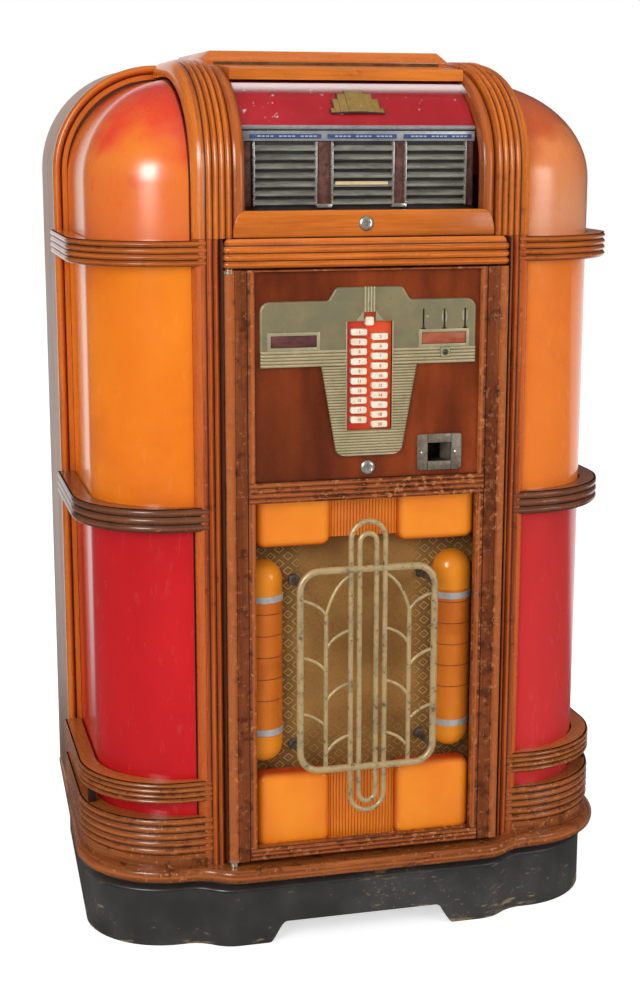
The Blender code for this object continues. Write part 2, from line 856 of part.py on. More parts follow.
def make_lock_plug(name, place):
    """Keyed lock plug with a domed face and a slot, its origin on its own axis."""
    profile = [(0, -lock_head), (lock_radius * 0.8, -lock_head), (lock_radius, -lock_head / 2),
               (lock_radius, lock_length), (0, lock_length)]
    plug = turned(name, profile, (0, 0, 0), (0, 1, 0), nickel, 16)
    slot = lock_radius * 0.1
    key = block("key", -slot, slot, -lock_head - cut_overrun, -lock_head + lock_cap,
                -lock_radius / 2, lock_radius / 2, nickel)
    cut(plug, [key])
    plug.location = place
    return plug


# Title board


title_front = 0.0680
title_crest_depth = 0.1580
title_side_clearance = 0.0015
title_half_width = lid_inner_half - title_side_clearance
title_foot_depth = 0.0300
title_thickness = 0.0070
title_clearance = 0.0025
title_top = header_bottom - title_clearance
title_margin = 0.0170
title_gap = 0.0215
title_column_pitch = (title_half_width - title_margin + title_gap / 2) / 1.5
title_column_half = (title_column_pitch - title_gap) / 2
title_slats = 7
title_lift = 0.0480
title_slat_pitch = 0.0138
title_slat_height = 0.0085
title_slat_depth = 0.0060
title_strip_lift = 0.0034
title_strip_height = 0.0110
title_bar_lift = 0.0075
title_bar_radius = 0.0035
title_slat_bottom = rail_top + title_lift
title_strip_bottom = title_slat_bottom + title_slats * title_slat_pitch + title_strip_lift
title_strip_top = title_strip_bottom + title_strip_height
title_bar_height = title_strip_top + title_bar_lift


def make_title_board():
    """Board behind the glass with three columns of slats, a bright bar and a foot on the rail."""
    foot = rail_top + gap
    rear = title_front + title_thickness
    outline = [(title_front, foot), (title_front, title_bar_height), (title_crest_depth, title_top),
               (title_crest_depth + title_thickness, title_top),
               (rear + title_thickness, title_bar_height - title_thickness),
               (rear, title_bar_height - 3 * title_thickness), (rear, foot + title_thickness),
               (title_front + title_foot_depth, foot + title_thickness),
               (title_front + title_foot_depth, foot)]
    board = prism_x("title_board", [(back(depth), z) for depth, z in outline],
                    -title_half_width, title_half_width, red_enamel)
    parts = []
    for column in (-1, 0, 1):
        centre = column * title_column_pitch
        for i in range(title_slats):
            low = title_slat_bottom + title_slat_pitch * i
            slat = [(title_front + overlap, low), (title_front - title_slat_depth, low + overlap),
                    (title_front - title_slat_depth * 0.6, low + title_slat_height),
                    (title_front + overlap, low + title_slat_height + overlap)]
            parts.append(prism_x("slat", [(back(depth), z) for depth, z in slat],
                                 centre - title_column_half, centre + title_column_half, slat_metal))
        parts.append(block("strip", centre - title_column_half, centre + title_column_half,
                           back(title_front - title_slat_depth / 3), back(title_front + overlap),
                           title_strip_bottom, title_strip_top, slat_metal))
    parts.append(bar("bright_bar", [(-title_half_width, back(title_front), title_bar_height),
                                    (title_half_width, back(title_front), title_bar_height)],
                     title_bar_radius, nickel))
    return fuse(board, parts)


# Door frame and its lower opening


stile_round = 0.0312
stile_fillet = door_half_width - stile_round
stile_groove = 0.0045
stile_bead = 0.0030
rail_reeds = 3
rail_reed_rise = 0.003
hinge_radius = 0.0097
hinge_x = -(door_half_width - hinge_radius)
hinge_depth = hinge_radius + gap
pin_radius = 0.0065
box_proud = 0.0140
box_wall = 0.0080
box_rise = 0.0142
box_drop = 0.0118
box_half_width = opening_half_width + box_proud
box_top = lower_opening_top + box_rise
box_bottom = lower_opening_bottom - box_drop
cloth_front = 0.0620
cloth_thickness = 0.0080
cloth_rebate = 0.0020
box_back = cloth_front + cloth_thickness + cloth_rebate


def make_door_frame():
    """Door frame: round stiles that end on the hinge axis, reeded rails, and a box for the grille."""
    stiles = []
    axis_x = door_half_width - hinge_radius
    for side in (-1, 1):
        section = [(side * x, back(depth)) for x, depth in
                   arc(axis_x, hinge_depth, hinge_radius, hinge_radius, 0, -90, 5)]
        section += [(side * (stile_fillet + stile_bead), back(stile_bead / 2)),
                    (side * stile_fillet, back(stile_groove)),
                    (side * (opening_half_width + stile_bead), back(stile_groove)),
                    (side * (opening_half_width + stile_bead / 2), back(stile_bead)),
                    (side * opening_half_width, back(stile_groove)),
                    (side * opening_half_width, back(door_thickness)),
                    (side * door_half_width, back(door_thickness))]
        stiles.append(prism_z("door_frame", section, door_bottom, door_top, dark_wood))
    reach = opening_half_width + overlap
    rails = []
    for low, high in ((door_bottom, lower_opening_bottom), (lower_opening_top, upper_opening_bottom)):
        face = [(back(stile_groove - rise), z)
                for z, rise in reeds(low, high, rail_reeds, rail_reed_rise, 2)]
        rails.append(prism_x("rail", face + [(back(door_thickness), high), (back(door_thickness), low)],
                             -reach, reach, dark_wood))
    rails.append(block("top_rail", -reach, reach, back(stile_groove), back(door_thickness),
                       upper_opening_top, door_top, dark_wood))
    outer = box_half_width + box_wall
    box = block("box", -outer, outer, back(door_thickness - overlap), back(box_back),
                box_bottom - box_wall, box_top + box_wall, dark_wood)
    hollow = block("hollow", -box_half_width, box_half_width, back(0), back(box_back + cut_overrun),
                   box_bottom, box_top, dark_wood)
    cut(box, [hollow])
    pins = []
    for low, high in ((base_top + gap, door_bottom + overlap), (door_top - overlap, rail_bottom - gap)):
        pins.append(turned("pin", [(0, low), (pin_radius, low), (pin_radius, high), (0, high)],
                           (hinge_x, back(hinge_depth), 0), (0, 0, 1), dark_wood, 10))
    frame = fuse(stiles[0], [stiles[1], *rails, box, *pins])
    frame.name = "door_frame"
    return frame


def make_selector_panel():
    """Veneered panel behind the escutcheon, cut for the buttons, the lock, the cup and the coins."""
    half = opening_half_width - gap
    panel = block("selector_panel", -half, half, back(panel_front), back(panel_front + panel_thickness),
                  upper_opening_bottom + gap, upper_opening_top - gap, walnut)
    rear = back(panel_front + panel_thickness + cut_overrun)
    front = back(panel_front - cut_overrun)
    cuts = [block("cut", -plate_half_width - gap, plate_half_width + gap, front, rear,
                  plate_bottom - gap, plate_top + gap, walnut)]
    reach = cup_hole_half + cup_wall + gap
    rise = cup_hole_half_height + cup_wall + gap
    cuts.append(block("cut", cup_x - reach, cup_x + reach, front, rear, cup_height - rise,
                      cup_height + rise, walnut))
    cuts.append(block("cut", coin_place - chute_half_width, coin_place + chute_half_width, front, rear,
                      reject_height - reject_size, slot_top + chute_margin, walnut))
    cut(panel, cuts)
    return cut(panel, [lock_hole((0, back(panel_front), door_lock_height), panel_thickness)])


# Escutcheon, buttons and coin unit


panel_front = 0.0080
panel_thickness = 0.0100
escutcheon_face = 0.0025
escutcheon_rib = 0.0022
escutcheon_corner = 0.0120
tail_lift = 0.0369
tail_height = 0.1435
wing_height = 0.1015
hump_height = 0.0205
wing_clearance = 0.0080
wing_half_width = opening_half_width - wing_clearance
hump_half_width = 0.0500
hump_foot_half = 0.0660
neck_half_width = 0.0780
tail_half_width = 0.0530
wing_rib_height = 0.0260
wing_ribs = 5
tail_ribs = 22
ornament_ribs = 4
tail_bottom = upper_opening_bottom + tail_lift
wing_bottom = tail_bottom + tail_height
wing_top = wing_bottom + wing_height
hump_top = wing_top + hump_height
wing_rib_top = wing_bottom + wing_rib_height

# Opening for the buttons and the notch above it
window_opening_half = 0.0365
window_opening_lift = 0.0415
window_opening_height = 0.1710
notch_half = 0.0095
notch_height = 0.0150
window_opening_bottom = tail_bottom + window_opening_lift
window_opening_top = window_opening_bottom + window_opening_height
notch_top = window_opening_top + notch_height

# Framed label windows, coin slots and the reject button in the wings
label_half_width = 0.0365
label_margin = 0.0165
label_place = wing_half_width - label_margin - label_half_width
label_drop = 0.0525
label_height = 0.0185
pocket_depth = 0.0020
coin_margin = 0.0525
coin_place = wing_half_width - coin_margin
coin_pitch = 0.0343
slot_half_width = 0.0014
slot_drop = 0.0155
slot_height = 0.0260
reject_margin = 0.0510
reject_x = wing_half_width - reject_margin
reject_lift = 0.0170
reject_size = 0.0150
reject_front = -0.0020
reject_length = 0.0150
label_top = wing_top - label_drop
label_bottom = label_top - label_height
slot_top = wing_top - slot_drop
slot_bottom = slot_top - slot_height
reject_height = wing_bottom + reject_lift

# Plate that guides the buttons
plate_front = 0.0095
plate_thickness = 0.0030
plate_margin = 0.0015
plate_half_width = window_opening_half + plate_margin
plate_bottom = window_opening_bottom - 2 * plate_margin
plate_top = notch_top + 2 * plate_margin
switch_depth = 0.0220
switch_wall = 0.0025
button_width = 0.0285
button_height = 0.0125
button_corner = 0.0030
button_front = 0.0010
button_length = 0.0170
button_column = 0.0170
button_lift = 0.0079
button_stagger = 0.0077
button_pitch = 0.01535
button_rows = 10
reset_size = 0.0140
reset_drop = 0.0155
button_last = window_opening_bottom + button_lift
reset_height = notch_top - reset_drop

# Lock, coin return cup and coin chute
door_lock_lift = 0.0169
door_lock_height = upper_opening_bottom + door_lock_lift
cup_margin = 0.0645
cup_x = opening_half_width - cup_margin
cup_lift = 0.0374
cup_height = upper_opening_bottom + cup_lift
cup_half_width = 0.0370
cup_half_height = 0.0290
cup_hole_half = 0.0190
cup_hole_half_height = 0.0150
cup_bezel = 0.0040
cup_wall = 0.0030
chute_depth = 0.0400
chute_half_width = 0.0370
chute_margin = 0.0060
chute_bottom = cup_height - cup_half_height + chute_margin
chute_top = slot_top + chute_margin


def coin_places():
    return [coin_place + coin_pitch * i for i in (-1, 0, 1)]


def make_escutcheon():
    """Cast escutcheon: winged outline, ribs across its wings and tapered tail, cut openings."""
    r = escutcheon_corner
    right = [(hump_half_width, hump_top, r), (hump_foot_half, wing_top, r / 2),
             (wing_half_width, wing_top, r * 1.3), (wing_half_width, wing_bottom, r / 6),
             (neck_half_width, wing_bottom, r / 6), (tail_half_width, tail_bottom, r * 1.5)]
    left = [(-x, z, radius) for x, z, radius in reversed(right)]
    outline = prism_y("outline", rounded(right + left), back(escutcheon_face - 2 * escutcheon_rib),
                      back(panel_front - gap), bronze)
    face = [(z, rise) for z, rise in reeds(tail_bottom - overlap, wing_bottom, tail_ribs, escutcheon_rib, 2)]
    face += [(z, rise) for z, rise in reeds(wing_bottom, wing_rib_top, wing_ribs, escutcheon_rib, 2)][1:]
    face.append((hump_top + overlap, 0.0))
    section = [(back(escutcheon_face - rise), z) for z, rise in face]
    section += [(back(panel_front), hump_top + overlap), (back(panel_front), tail_bottom - overlap)]
    plate = prism_x("escutcheon", section, -wing_half_width - overlap, wing_half_width + overlap, bronze)
    trim(plate, [outline])
    ornament = [(x, back(escutcheon_face - rise)) for x, rise in
                reeds(-notch_half, notch_half, ornament_ribs, escutcheon_rib * 1.4, 2)]
    ornament += [(notch_half, back(panel_front - 2 * gap)), (-notch_half, back(panel_front - 2 * gap))]
    fuse(plate, [prism_z("ornament", ornament, notch_top, hump_top + 2 * overlap, bronze)])
    front = back(escutcheon_face - 3 * escutcheon_rib)
    rear = back(panel_front + cut_overrun)
    cuts = [block("cut", -window_opening_half, window_opening_half, front, rear,
                  window_opening_bottom, window_opening_top, bronze),
            block("cut", -notch_half, notch_half, front, rear, window_opening_top - overlap,
                  notch_top, bronze)]
    for x in (-label_place, label_place):
        cuts.append(block("cut", x - label_half_width, x + label_half_width, front,
                          back(escutcheon_face + pocket_depth), label_bottom, label_top, bronze))
    for x in coin_places():
        cuts.append(block("cut", x - slot_half_width, x + slot_half_width, front, rear, slot_bottom,
                          slot_top, bronze))
    half = reject_size / 2 + gap
    cuts.append(block("cut", reject_x - half, reject_x + half, front, rear, reject_height - half,
                      reject_height + half, bronze))
    return cut(plate, cuts)


def button_outline(grow):
    """Rounded rectangle of a selector button, grown by a clearance."""
    return rounded_box(-button_width / 2 - grow, button_width / 2 + grow, -button_height / 2 - grow,
                       button_height / 2 + grow, button_corner + grow, 1)


def button_places():
    """Number, X and height of each selector button: odd numbers on the left, even on the right."""
    for column in (0, 1):
        for row in range(button_rows):
            rise = button_pitch * (button_rows - 1 - row) + button_stagger * (1 - column)
            yield 2 * row + column + 1, (2 * column - 1) * button_column, button_last + rise


def make_button_plate():
    """Red plate with a hole for each button, and the switch unit's case behind it."""
    front = back(plate_front)
    case_inner = plate_half_width - switch_wall
    plate = block("button_plate", -plate_half_width, plate_half_width, front,
                  back(plate_front + switch_depth), plate_bottom, plate_top, red_enamel)
    hollow = block("hollow", -case_inner, case_inner, back(plate_front + plate_thickness),
                   back(plate_front + switch_depth - switch_wall), plate_bottom + switch_wall,
                   plate_top - switch_wall, red_enamel)
    cuts = [hollow]
    for _, x, z in button_places():
        hole = [(x + px, z + pz) for px, pz in button_outline(gap)]
        cuts.append(prism_y("hole", hole, back(plate_front - cut_overrun),
                            back(plate_front + plate_thickness + overlap), red_enamel))
    half = reset_size / 2 + gap
    cuts.append(block("hole", -half, half, back(plate_front - cut_overrun),
                      back(plate_front + plate_thickness + overlap), reset_height - half,
                      reset_height + half, red_enamel))
    return cut(plate, cuts)


def make_buttons():
    """Twenty selector buttons that share one mesh, each with its origin at its own centre."""
    outline = button_outline(0)
    crown = button_outline(-overlap)
    rings = [[(x, 0, z) for x, z in crown], [(x, overlap, z) for x, z in outline],
             [(x, button_length, z) for x, z in outline]]
    pattern = loft("selector_button_01", rings, ivory)
    buttons = []
    for number, x, z in sorted(button_places()):
        button = pattern
        if number > 1:
            button = bpy.data.objects.new(f"selector_button_{number:02d}", pattern.data)
            bpy.context.collection.objects.link(button)
        button.location = (x, back(button_front), z)
        buttons.append(button)
    return buttons


def make_square_button(name, size, length, place, material):
    half = size / 2
    edge = half - overlap
    outlines = [(edge, 0), (half, overlap), (half, length)]
    rings = [[(-r, y, -r), (r, y, -r), (r, y, r), (-r, y, r)] for r, y in outlines]
    button = loft(name, rings, material)
    button.location = place
    return button


def make_coin_unit():
    """Coin return cup with its bezel on the panel, and the chute that runs up behind the slots."""
    front = back(panel_front - gap)
    bezel = block("coin_unit", cup_x - cup_half_width, cup_x + cup_half_width, front - cup_bezel, front,
                  cup_height - cup_half_height, cup_height + cup_half_height, nickel)
    rear = back(panel_front + panel_thickness + chute_depth)
    reach = cup_hole_half + cup_wall
    rise = cup_hole_half_height + cup_wall
    cup = block("cup", cup_x - reach, cup_x + reach, front - overlap, rear, cup_height - rise,
                cup_height + rise, nickel)
    chute_front = back(panel_front + panel_thickness + gap)
    chute = block("chute", coin_place - chute_half_width, coin_place + chute_half_width, chute_front,
                  rear, chute_bottom, chute_top, nickel)
    fuse(bezel, [cup, chute])
    cuts = [block("cup", cup_x - cup_hole_half, cup_x + cup_hole_half, front - cup_bezel - cut_overrun,
                  rear - cup_bezel, cup_height - cup_hole_half_height,
                  cup_height + cup_hole_half_height, nickel)]
    for x in coin_places():
        cuts.append(block("slot", x - slot_half_width, x + slot_half_width, chute_front - cut_overrun,
                          chute_front + chute_depth / 2, slot_bottom - overlap, slot_top + overlap,
                          nickel))
    return cut(bezel, cuts)


# Grille, its cloth board and plastics


block_inner = 0.0540
block_front = door_thickness + gap
block_round = 0.0120
cushion_shares = (0.0, 0.3, 0.7, 1.0)
top_block_height = 0.0928
bottom_block_height = 0.1310
top_block_bottom = box_top - top_block_height
bottom_block_top = box_bottom + bottom_block_height
flute_front = 0.0340
flute_count = 9
flute_rise = 0.0025
top_flute_inset = 0.0130
bottom_flute_inset = 0.0100
tube_radius = 0.0325
tube_side_clearance = 0.0040
tube_end_clearance = 0.0115
tube_band_inset = 0.0630
tube_band_height = 0.0110
tube_band_rise = 0.0012
tube_place = box_half_width - tube_side_clearance - tube_radius
tube_bottom = bottom_block_top + tube_end_clearance
tube_top = top_block_bottom - tube_end_clearance


def make_cloth_board():
    """Board under the grille cloth with the two capped side tubes and their bright bands on it."""
    half = box_half_width - gap
    board = block("cloth_board", -half, half, back(cloth_front), back(cloth_front + cloth_thickness),
                  box_bottom + gap, box_top - gap, cloth)
    parts = []
    for side in (-1, 1):
        straight_low = tube_bottom + tube_radius
        straight_high = tube_top - tube_radius
        profile = [(r, z) for r, z in arc(0, straight_low, tube_radius, tube_radius, -90, 0, 4)]
        for place in (tube_bottom + tube_band_inset, tube_top - tube_band_inset):
            profile += [(tube_radius, place - tube_band_height / 2),
                        (tube_radius + tube_band_rise, place - tube_band_height / 2 + gap),
                        (tube_radius + tube_band_rise, place + tube_band_height / 2 - gap),
                        (tube_radius, place + tube_band_height / 2)]
        profile += [(r, z) for r, z in arc(0, straight_high, tube_radius, tube_radius, 0, 90, 4)]
        profile[0] = (0, tube_bottom)
        profile[-1] = (0, tube_top)
        parts.append(turned("tube", profile, (side * tube_place, back(cloth_front), 0), (0, 0, 1),
                            amber, 12))
    fuse(board, parts)
    behind = block("behind", -half - overlap, half + overlap, back(cloth_front + cloth_thickness),
                   back(cloth_front + 2 * tube_radius), box_bottom, box_top, amber)
    return cut(board, [behind])


def make_plastic(name, low, high, flute_low, flute_high, level):
    """Moulded grille plastic: two cushion-faced blocks joined by a fluted centre."""
    rear = back(cloth_front - gap)
    half = box_half_width - gap
    flutes = [(x, back(flute_front - rise)) for x, rise in
              reeds(-block_inner - overlap, block_inner + overlap, flute_count, flute_rise, 2)]
    flutes += [(block_inner + overlap, rear), (-block_inner - overlap, rear)]
    centre = prism_z(name, flutes, flute_low, flute_high, amber)
    blocks = []
    for side in (-1, 1):
        r = block_round
        plan = rounded([(block_inner, block_front, r), (half, block_front, r),
                        (half, cloth_front - gap, 0), (block_inner, cloth_front - gap, 0)], 3)
        rings = []
        for share in cushion_shares:
            inset = r * (1 - math.sin(math.pi / 2 * share))
            climb = r * (1 - math.cos(math.pi / 2 * share))
            z = low + climb if level > 0 else high - climb
            ring = []
            for x, depth in plan:
                front_share = (cloth_front - gap - depth) / (cloth_front - gap - block_front)
                ring.append((side * (x + (inset * front_share if x < block_inner + r else 0)),
                             back(depth + inset * front_share), z))
            rings.append(ring)
        end = high if level > 0 else low
        rings.append([(side * x, back(depth), end) for x, depth in plan])
        blocks.append(loft("block", rings, amber))
    return fuse(centre, blocks)


grille_front = -0.0020
grille_side_clearance = 0.0155
grille_half_width = tube_place - tube_radius - grille_side_clearance
grille_corner = 0.0320
grille_bar = 0.0045
grille_foot = 0.0085
grille_head = 0.0350
grille_bottom = bottom_block_top + grille_foot
grille_top = top_block_bottom - grille_head
loop_half_width = 0.0285
loop_foot = 0.0522
loop_head = 0.0358
loop_bar = 0.0036
loop_bottom = lower_opening_bottom + loop_foot
loop_top = lower_opening_top - loop_head
inner_loop_half = 0.0140
inner_loop_foot = 0.0160
inner_loop_head = 0.0200
stem_inset = 0.0425
stem_place = grille_half_width - stem_inset
stem_drop = 0.0730
stem_bar = 0.0030
stem_top = grille_top - stem_drop
leaf_bar = 0.0022
crest_leaf_rise = 0.0640
inner_leaf_count = 3
inner_leaf_drop = 0.0570
inner_leaf_pitch = 0.0885
inner_leaf_rise = 0.0300
outer_leaf_count = 3
outer_leaf_pitch = 0.0945
outer_leaf_rise = 0.0270
leaf_bulge_share = 0.3
stud_radius = 0.0050
stud_inset = 0.0035
stud_foot = 0.0265
stud_head = 0.0270


def leaf_path(x0, z0, x1, rise, steps=3):
    """Leaf branch that leaves its stem upright and bends over to where it ends."""
    path = []
    for i in range(steps + 1):
        t = i / steps
        across = t ** 2 * (1 - leaf_bulge_share) + t * leaf_bulge_share
        path.append((x0 + (x1 - x0) * across, back(grille_front), z0 + rise * (1 - (1 - t) ** 2)))
    return path


def make_cast_grille():
    """Cast grille: rounded frame, two nested long loops, leaf branches on two stems, and studs."""
    centre_y = back(grille_front)
    outline = rounded_box(-grille_half_width, grille_half_width, grille_bottom, grille_top,
                          grille_corner, 3)
    grille = bar("cast_grille", [(x, centre_y, z) for x, z in outline], grille_bar, brass, closed=True)
    parts = []
    for half, low, high in ((loop_half_width, loop_bottom, loop_top),
                            (inner_loop_half, loop_bottom + inner_loop_foot, loop_top - inner_loop_head)):
        loop = arc(0, high - half, half, half, 0, 180, 6) + arc(0, low + half, half, half, 180, 360, 6)
        parts.append(bar("loop", [(x, centre_y, z) for x, z in loop], loop_bar, brass, closed=True))
    for side in (-1, 1):
        stem = side * stem_place
        parts.append(bar("stem", [(stem, centre_y, grille_bottom), (stem, centre_y, stem_top)],
                         stem_bar, brass))
        leaves = [(stem_top, side * loop_half_width, crest_leaf_rise)]
        leaves += [(stem_top - inner_leaf_drop - inner_leaf_pitch * i, side * loop_half_width,
                    inner_leaf_rise) for i in range(inner_leaf_count)]
        leaves += [(stem_top - outer_leaf_pitch * i, side * grille_half_width, outer_leaf_rise)
                   for i in range(outer_leaf_count)]
        for z, x, rise in leaves:
            parts.append(bar("leaf", leaf_path(stem, z, x, rise), leaf_bar, brass, False, 0))
        for z in (grille_bottom + stud_foot, grille_top - stud_head):
            x = side * (grille_half_width - stud_inset)
            parts.append(bar("stud", [(x, centre_y, z), (x, back(cloth_front - gap), z)],
                             stud_radius, brass))
    return fuse(grille, parts)


# Works inside the case


speaker_depth = 0.110
amplifier_half_width = 0.150
amplifier_depth = 0.160
amplifier_start = 0.300
chassis_height = 0.070
valve_radius = 0.016
valve_height = 0.090
valve_places_share = (-0.78, -0.52, -0.26, 0.0)
transformer_size = 0.075
record_pitch = 0.0105
record_thickness = 0.0030
record_count = 20
stack_base = 0.030
changer_side_clearance = 0.0030
changer_half_width = inner_wall_half - inner_wall_thickness - changer_side_clearance
stack_margin = 0.0080
record_overhang = 0.0070
record_radius = (changer_half_width - stack_margin + record_overhang) / 2
foot_share = 0.85
changer_front = 0.120
changer_rear = 0.545
changer_thickness = 0.012
changer_feet = 0.020
column_radius = 0.014
turntable_inset = 0.0070
turntable_margin = 0.0110
turntable_radius = record_radius - turntable_inset
stack_x = -(changer_half_width - stack_margin - record_radius)
stack_depth = 0.2900
turntable_x = changer_half_width - turntable_margin - turntable_radius
turntable_depth = 0.3500
turntable_height = 0.055
turntable_rim = 0.012
spindle_radius = 0.0038
arm_offset = 0.1010
arm_reach = 0.1450
arm_x = turntable_x + arm_offset
arm_depth = turntable_depth + arm_reach
arm_length = 0.190
arm_radius = 0.006
arm_height = 0.085


def make_speaker():
    """Cone speaker with its basket, seated on the back of its baffle."""
    start = baffle_thickness + gap
    profile = [(0, start + speaker_depth), (0.32 * speaker_radius, start + speaker_depth),
               (0.32 * speaker_radius, start + 0.62 * speaker_depth),
               (0.93 * speaker_radius, start + 0.12 * speaker_depth),
               (speaker_radius, start + 0.08 * speaker_depth), (speaker_radius, start),
               (0.84 * speaker_radius, start), (0.22 * speaker_radius, start + 0.50 * speaker_depth),
               (0.12 * speaker_radius, start + 0.42 * speaker_depth), (0, start + 0.40 * speaker_depth)]
    return turned("speaker", profile, (0, back(baffle_depth), speaker_height), (0, 1, 0), cone_grey, 16)


def make_amplifier():
    """Valve amplifier chassis with its transformer and valves, on the case floor."""
    floor = base_top + gap + floor_thickness + gap
    chassis = block("amplifier", -amplifier_half_width, amplifier_half_width, back(amplifier_start),
                    back(amplifier_start + amplifier_depth), floor, floor + chassis_height, steel)
    middle = back(amplifier_start + amplifier_depth / 2)
    parts = [block("transformer", amplifier_half_width / 3, amplifier_half_width / 3 + transformer_size,
                   middle - transformer_size / 2, middle + transformer_size / 2,
                   floor + chassis_height - overlap, floor + chassis_height + transformer_size, steel)]
    for share in valve_places_share:
        profile = [(0, -overlap), (valve_radius, -overlap), (valve_radius, valve_height * 0.7),
                   (valve_radius * 0.6, valve_height), (0, valve_height)]
        parts.append(turned("valve", profile, (share * amplifier_half_width, middle, floor + chassis_height),
                            (0, 0, 1), glass_dark, 8))
    return fuse(chassis, parts)


def make_record_changer():
    """Changer plate on its feet, with the column that carries the trays and their records."""
    floor = deck_height + gap
    plate_low = floor + changer_feet
    plate_high = plate_low + changer_thickness
    plate = block("record_changer", -changer_half_width, changer_half_width, back(changer_front),
                  back(changer_rear), plate_low, plate_high, steel)
    parts = []
    for x in (-foot_share, foot_share):
        for depth in (changer_front + changer_feet, changer_rear - changer_feet):
            parts.append(turned("foot", [(0, 0), (changer_feet / 2, 0),
                                         (changer_feet / 2, changer_feet + overlap),
                                         (0, changer_feet + overlap)],
                                (x * changer_half_width, back(depth), floor), (0, 0, 1), steel, 8))
    profile = [(0, -overlap), (column_radius, -overlap)]
    for i in range(record_count):
        low = stack_base + record_pitch * i
        profile += [(column_radius, low), (record_radius, low), (record_radius, low + record_thickness),
                    (column_radius, low + record_thickness)]
    top = stack_base + record_pitch * record_count
    profile += [(column_radius, top), (0, top)]
    parts.append(turned("stack", profile, (stack_x, back(stack_depth), plate_high), (0, 0, 1),
                        shellac, 10))
    parts.append(turned("post", [(0, -overlap), (arm_radius * 2, -overlap),
                                 (arm_radius * 2, arm_height - arm_radius - gap),
                                 (0, arm_height - arm_radius - gap)],
                        (arm_x, back(arm_depth), plate_high), (0, 0, 1), steel, 10))
    parts.append(turned("motor", [(0, -overlap), (column_radius * 2, -overlap),
                                  (column_radius * 2, turntable_height - turntable_rim - gap),
                                  (0, turntable_height - turntable_rim - gap)],
                        (turntable_x, back(turntable_depth), plate_high), (0, 0, 1), steel, 10))
    return fuse(plate, parts)


def changer_top():
    return deck_height + gap + changer_feet + changer_thickness


def make_turntable():
    """Turntable with a felted face and its spindle, its origin on the spindle."""
    profile = [(0, -turntable_rim), (turntable_radius, -turntable_rim), (turntable_radius, 0),
               (spindle_radius, 0), (spindle_radius, turntable_rim), (0, turntable_rim * 1.2)]
    table = turned("turntable", profile, (0, 0, 0), (0, 0, 1), felt, 20)
    table.location = (turntable_x, back(turntable_depth), changer_top() + turntable_height)
    return table


def make_tone_arm():
    """Tone arm with its pivot boss and pickup head, its origin on the pivot."""
    boss = turned("tone_arm", [(0, -arm_radius), (arm_radius * 2, -arm_radius),
                               (arm_radius * 2, arm_radius), (0, arm_radius)],
                  (0, 0, 0), (0, 0, 1), nickel, 12)
    tube = bar("tube", [(0, 0, 0), (0, -arm_length, 0)], arm_radius * 0.7, nickel)
    head = block("head", -arm_radius * 1.6, arm_radius * 1.6, -arm_length - arm_radius * 5,
                 -arm_length + arm_radius, -arm_radius * 1.4, arm_radius * 1.4, nickel)
    arm = fuse(boss, [tube, head])
    arm.location = (arm_x, back(arm_depth), changer_top() + arm_height)
    return arm


# Assembly


for leftover in list(bpy.data.objects):
    bpy.data.objects.remove(leftover)

wood = new_material("wood", (0.52, 0.17, 0.045), 0.35)
dark_wood = new_material("dark_wood", (0.20, 0.07, 0.03), 0.45)
band_wood = new_material("band_wood", (0.10, 0.045, 0.025), 0.40)
veneer = new_material("veneer", (0.42, 0.18, 0.07), 0.45)
walnut = new_material("walnut", (0.20, 0.055, 0.02), 0.30)
dark_board = new_material("dark_board", (0.12, 0.08, 0.05), 0.80)
black_paint = new_material("black_paint", (0.02, 0.02, 0.02), 0.40)
red_plastic = new_material("red_plastic", (0.60, 0.02, 0.03), 0.20)
amber = new_material("amber", (0.85, 0.26, 0.02), 0.20)
dome_amber = new_material("dome_amber", (0.80, 0.18, 0.03), 0.18)
glass = new_material("glass", (0.80, 0.80, 0.85), 0.05)
bronze = new_material("bronze", (0.33, 0.31, 0.20), 0.40, 0.8)
brass = new_material("brass", (0.48, 0.42, 0.28), 0.45, 0.7)
nickel = new_material("nickel", (0.62, 0.60, 0.56), 0.25, 1.0)
slat_metal = new_material("slat_metal", (0.22, 0.22, 0.19), 0.40, 0.8)
red_enamel = new_material("red_enamel", (0.65, 0.06, 0.02), 0.30)
ivory = new_material("ivory", (0.85, 0.80, 0.68), 0.30)
cloth = new_material("cloth", (0.35, 0.20, 0.08), 0.90)
cone_grey = new_material("cone_grey", (0.08, 0.08, 0.08), 0.80)
steel = new_material("steel", (0.35, 0.36, 0.36), 0.40, 0.9)
shellac = new_material("shellac", (0.02, 0.02, 0.02), 0.25)
felt = new_material("felt", (0.10, 0.02, 0.02), 0.95)
glass_dark = new_material("glass_dark", (0.10, 0.10, 0.11), 0.10)

make_plinth()
make_base_moulding()
make_cabinet_shell()
make_arch_bead()
make_back_panel()
make_front_rail()
make_top_cap()
for side, word in ((-1, "left"), (1, "right")):
    make_pilaster(f"pilaster_{word}", side)
    make_band(f"upper_band_{word}", side, upper_band_bottom, upper_band_top, 4, wood)
    make_band(f"middle_band_{word}", side, middle_band_bottom, middle_band_top, 3, band_wood)
    red_top = (middle_band_bottom + middle_band_top) / 2
    amber_top = (upper_band_bottom + upper_band_top) / 2
    make_panel(f"red_panel_{word}", side, base_top + gap, red_top, red_plastic)
    make_panel(f"amber_panel_{word}", side, red_top + gap, amber_top, amber)
    make_dome(f"dome_{word}", side, amber_top + gap, dome_amber)
make_title_board()
make_speaker()
make_amplifier()
make_record_changer()
make_turntable()
make_tone_arm()

lid_pivot = new_pivot("lid_pivot", (0, back(lid_rear), hinge_height()))
lid_front = back(pilaster_front + lid_inset)
hang_on(lid_pivot, [make_window_frame(), make_window_glass(),
                    make_lock_plug("lid_lock_plug", (0, lid_front, lid_lock_height))])

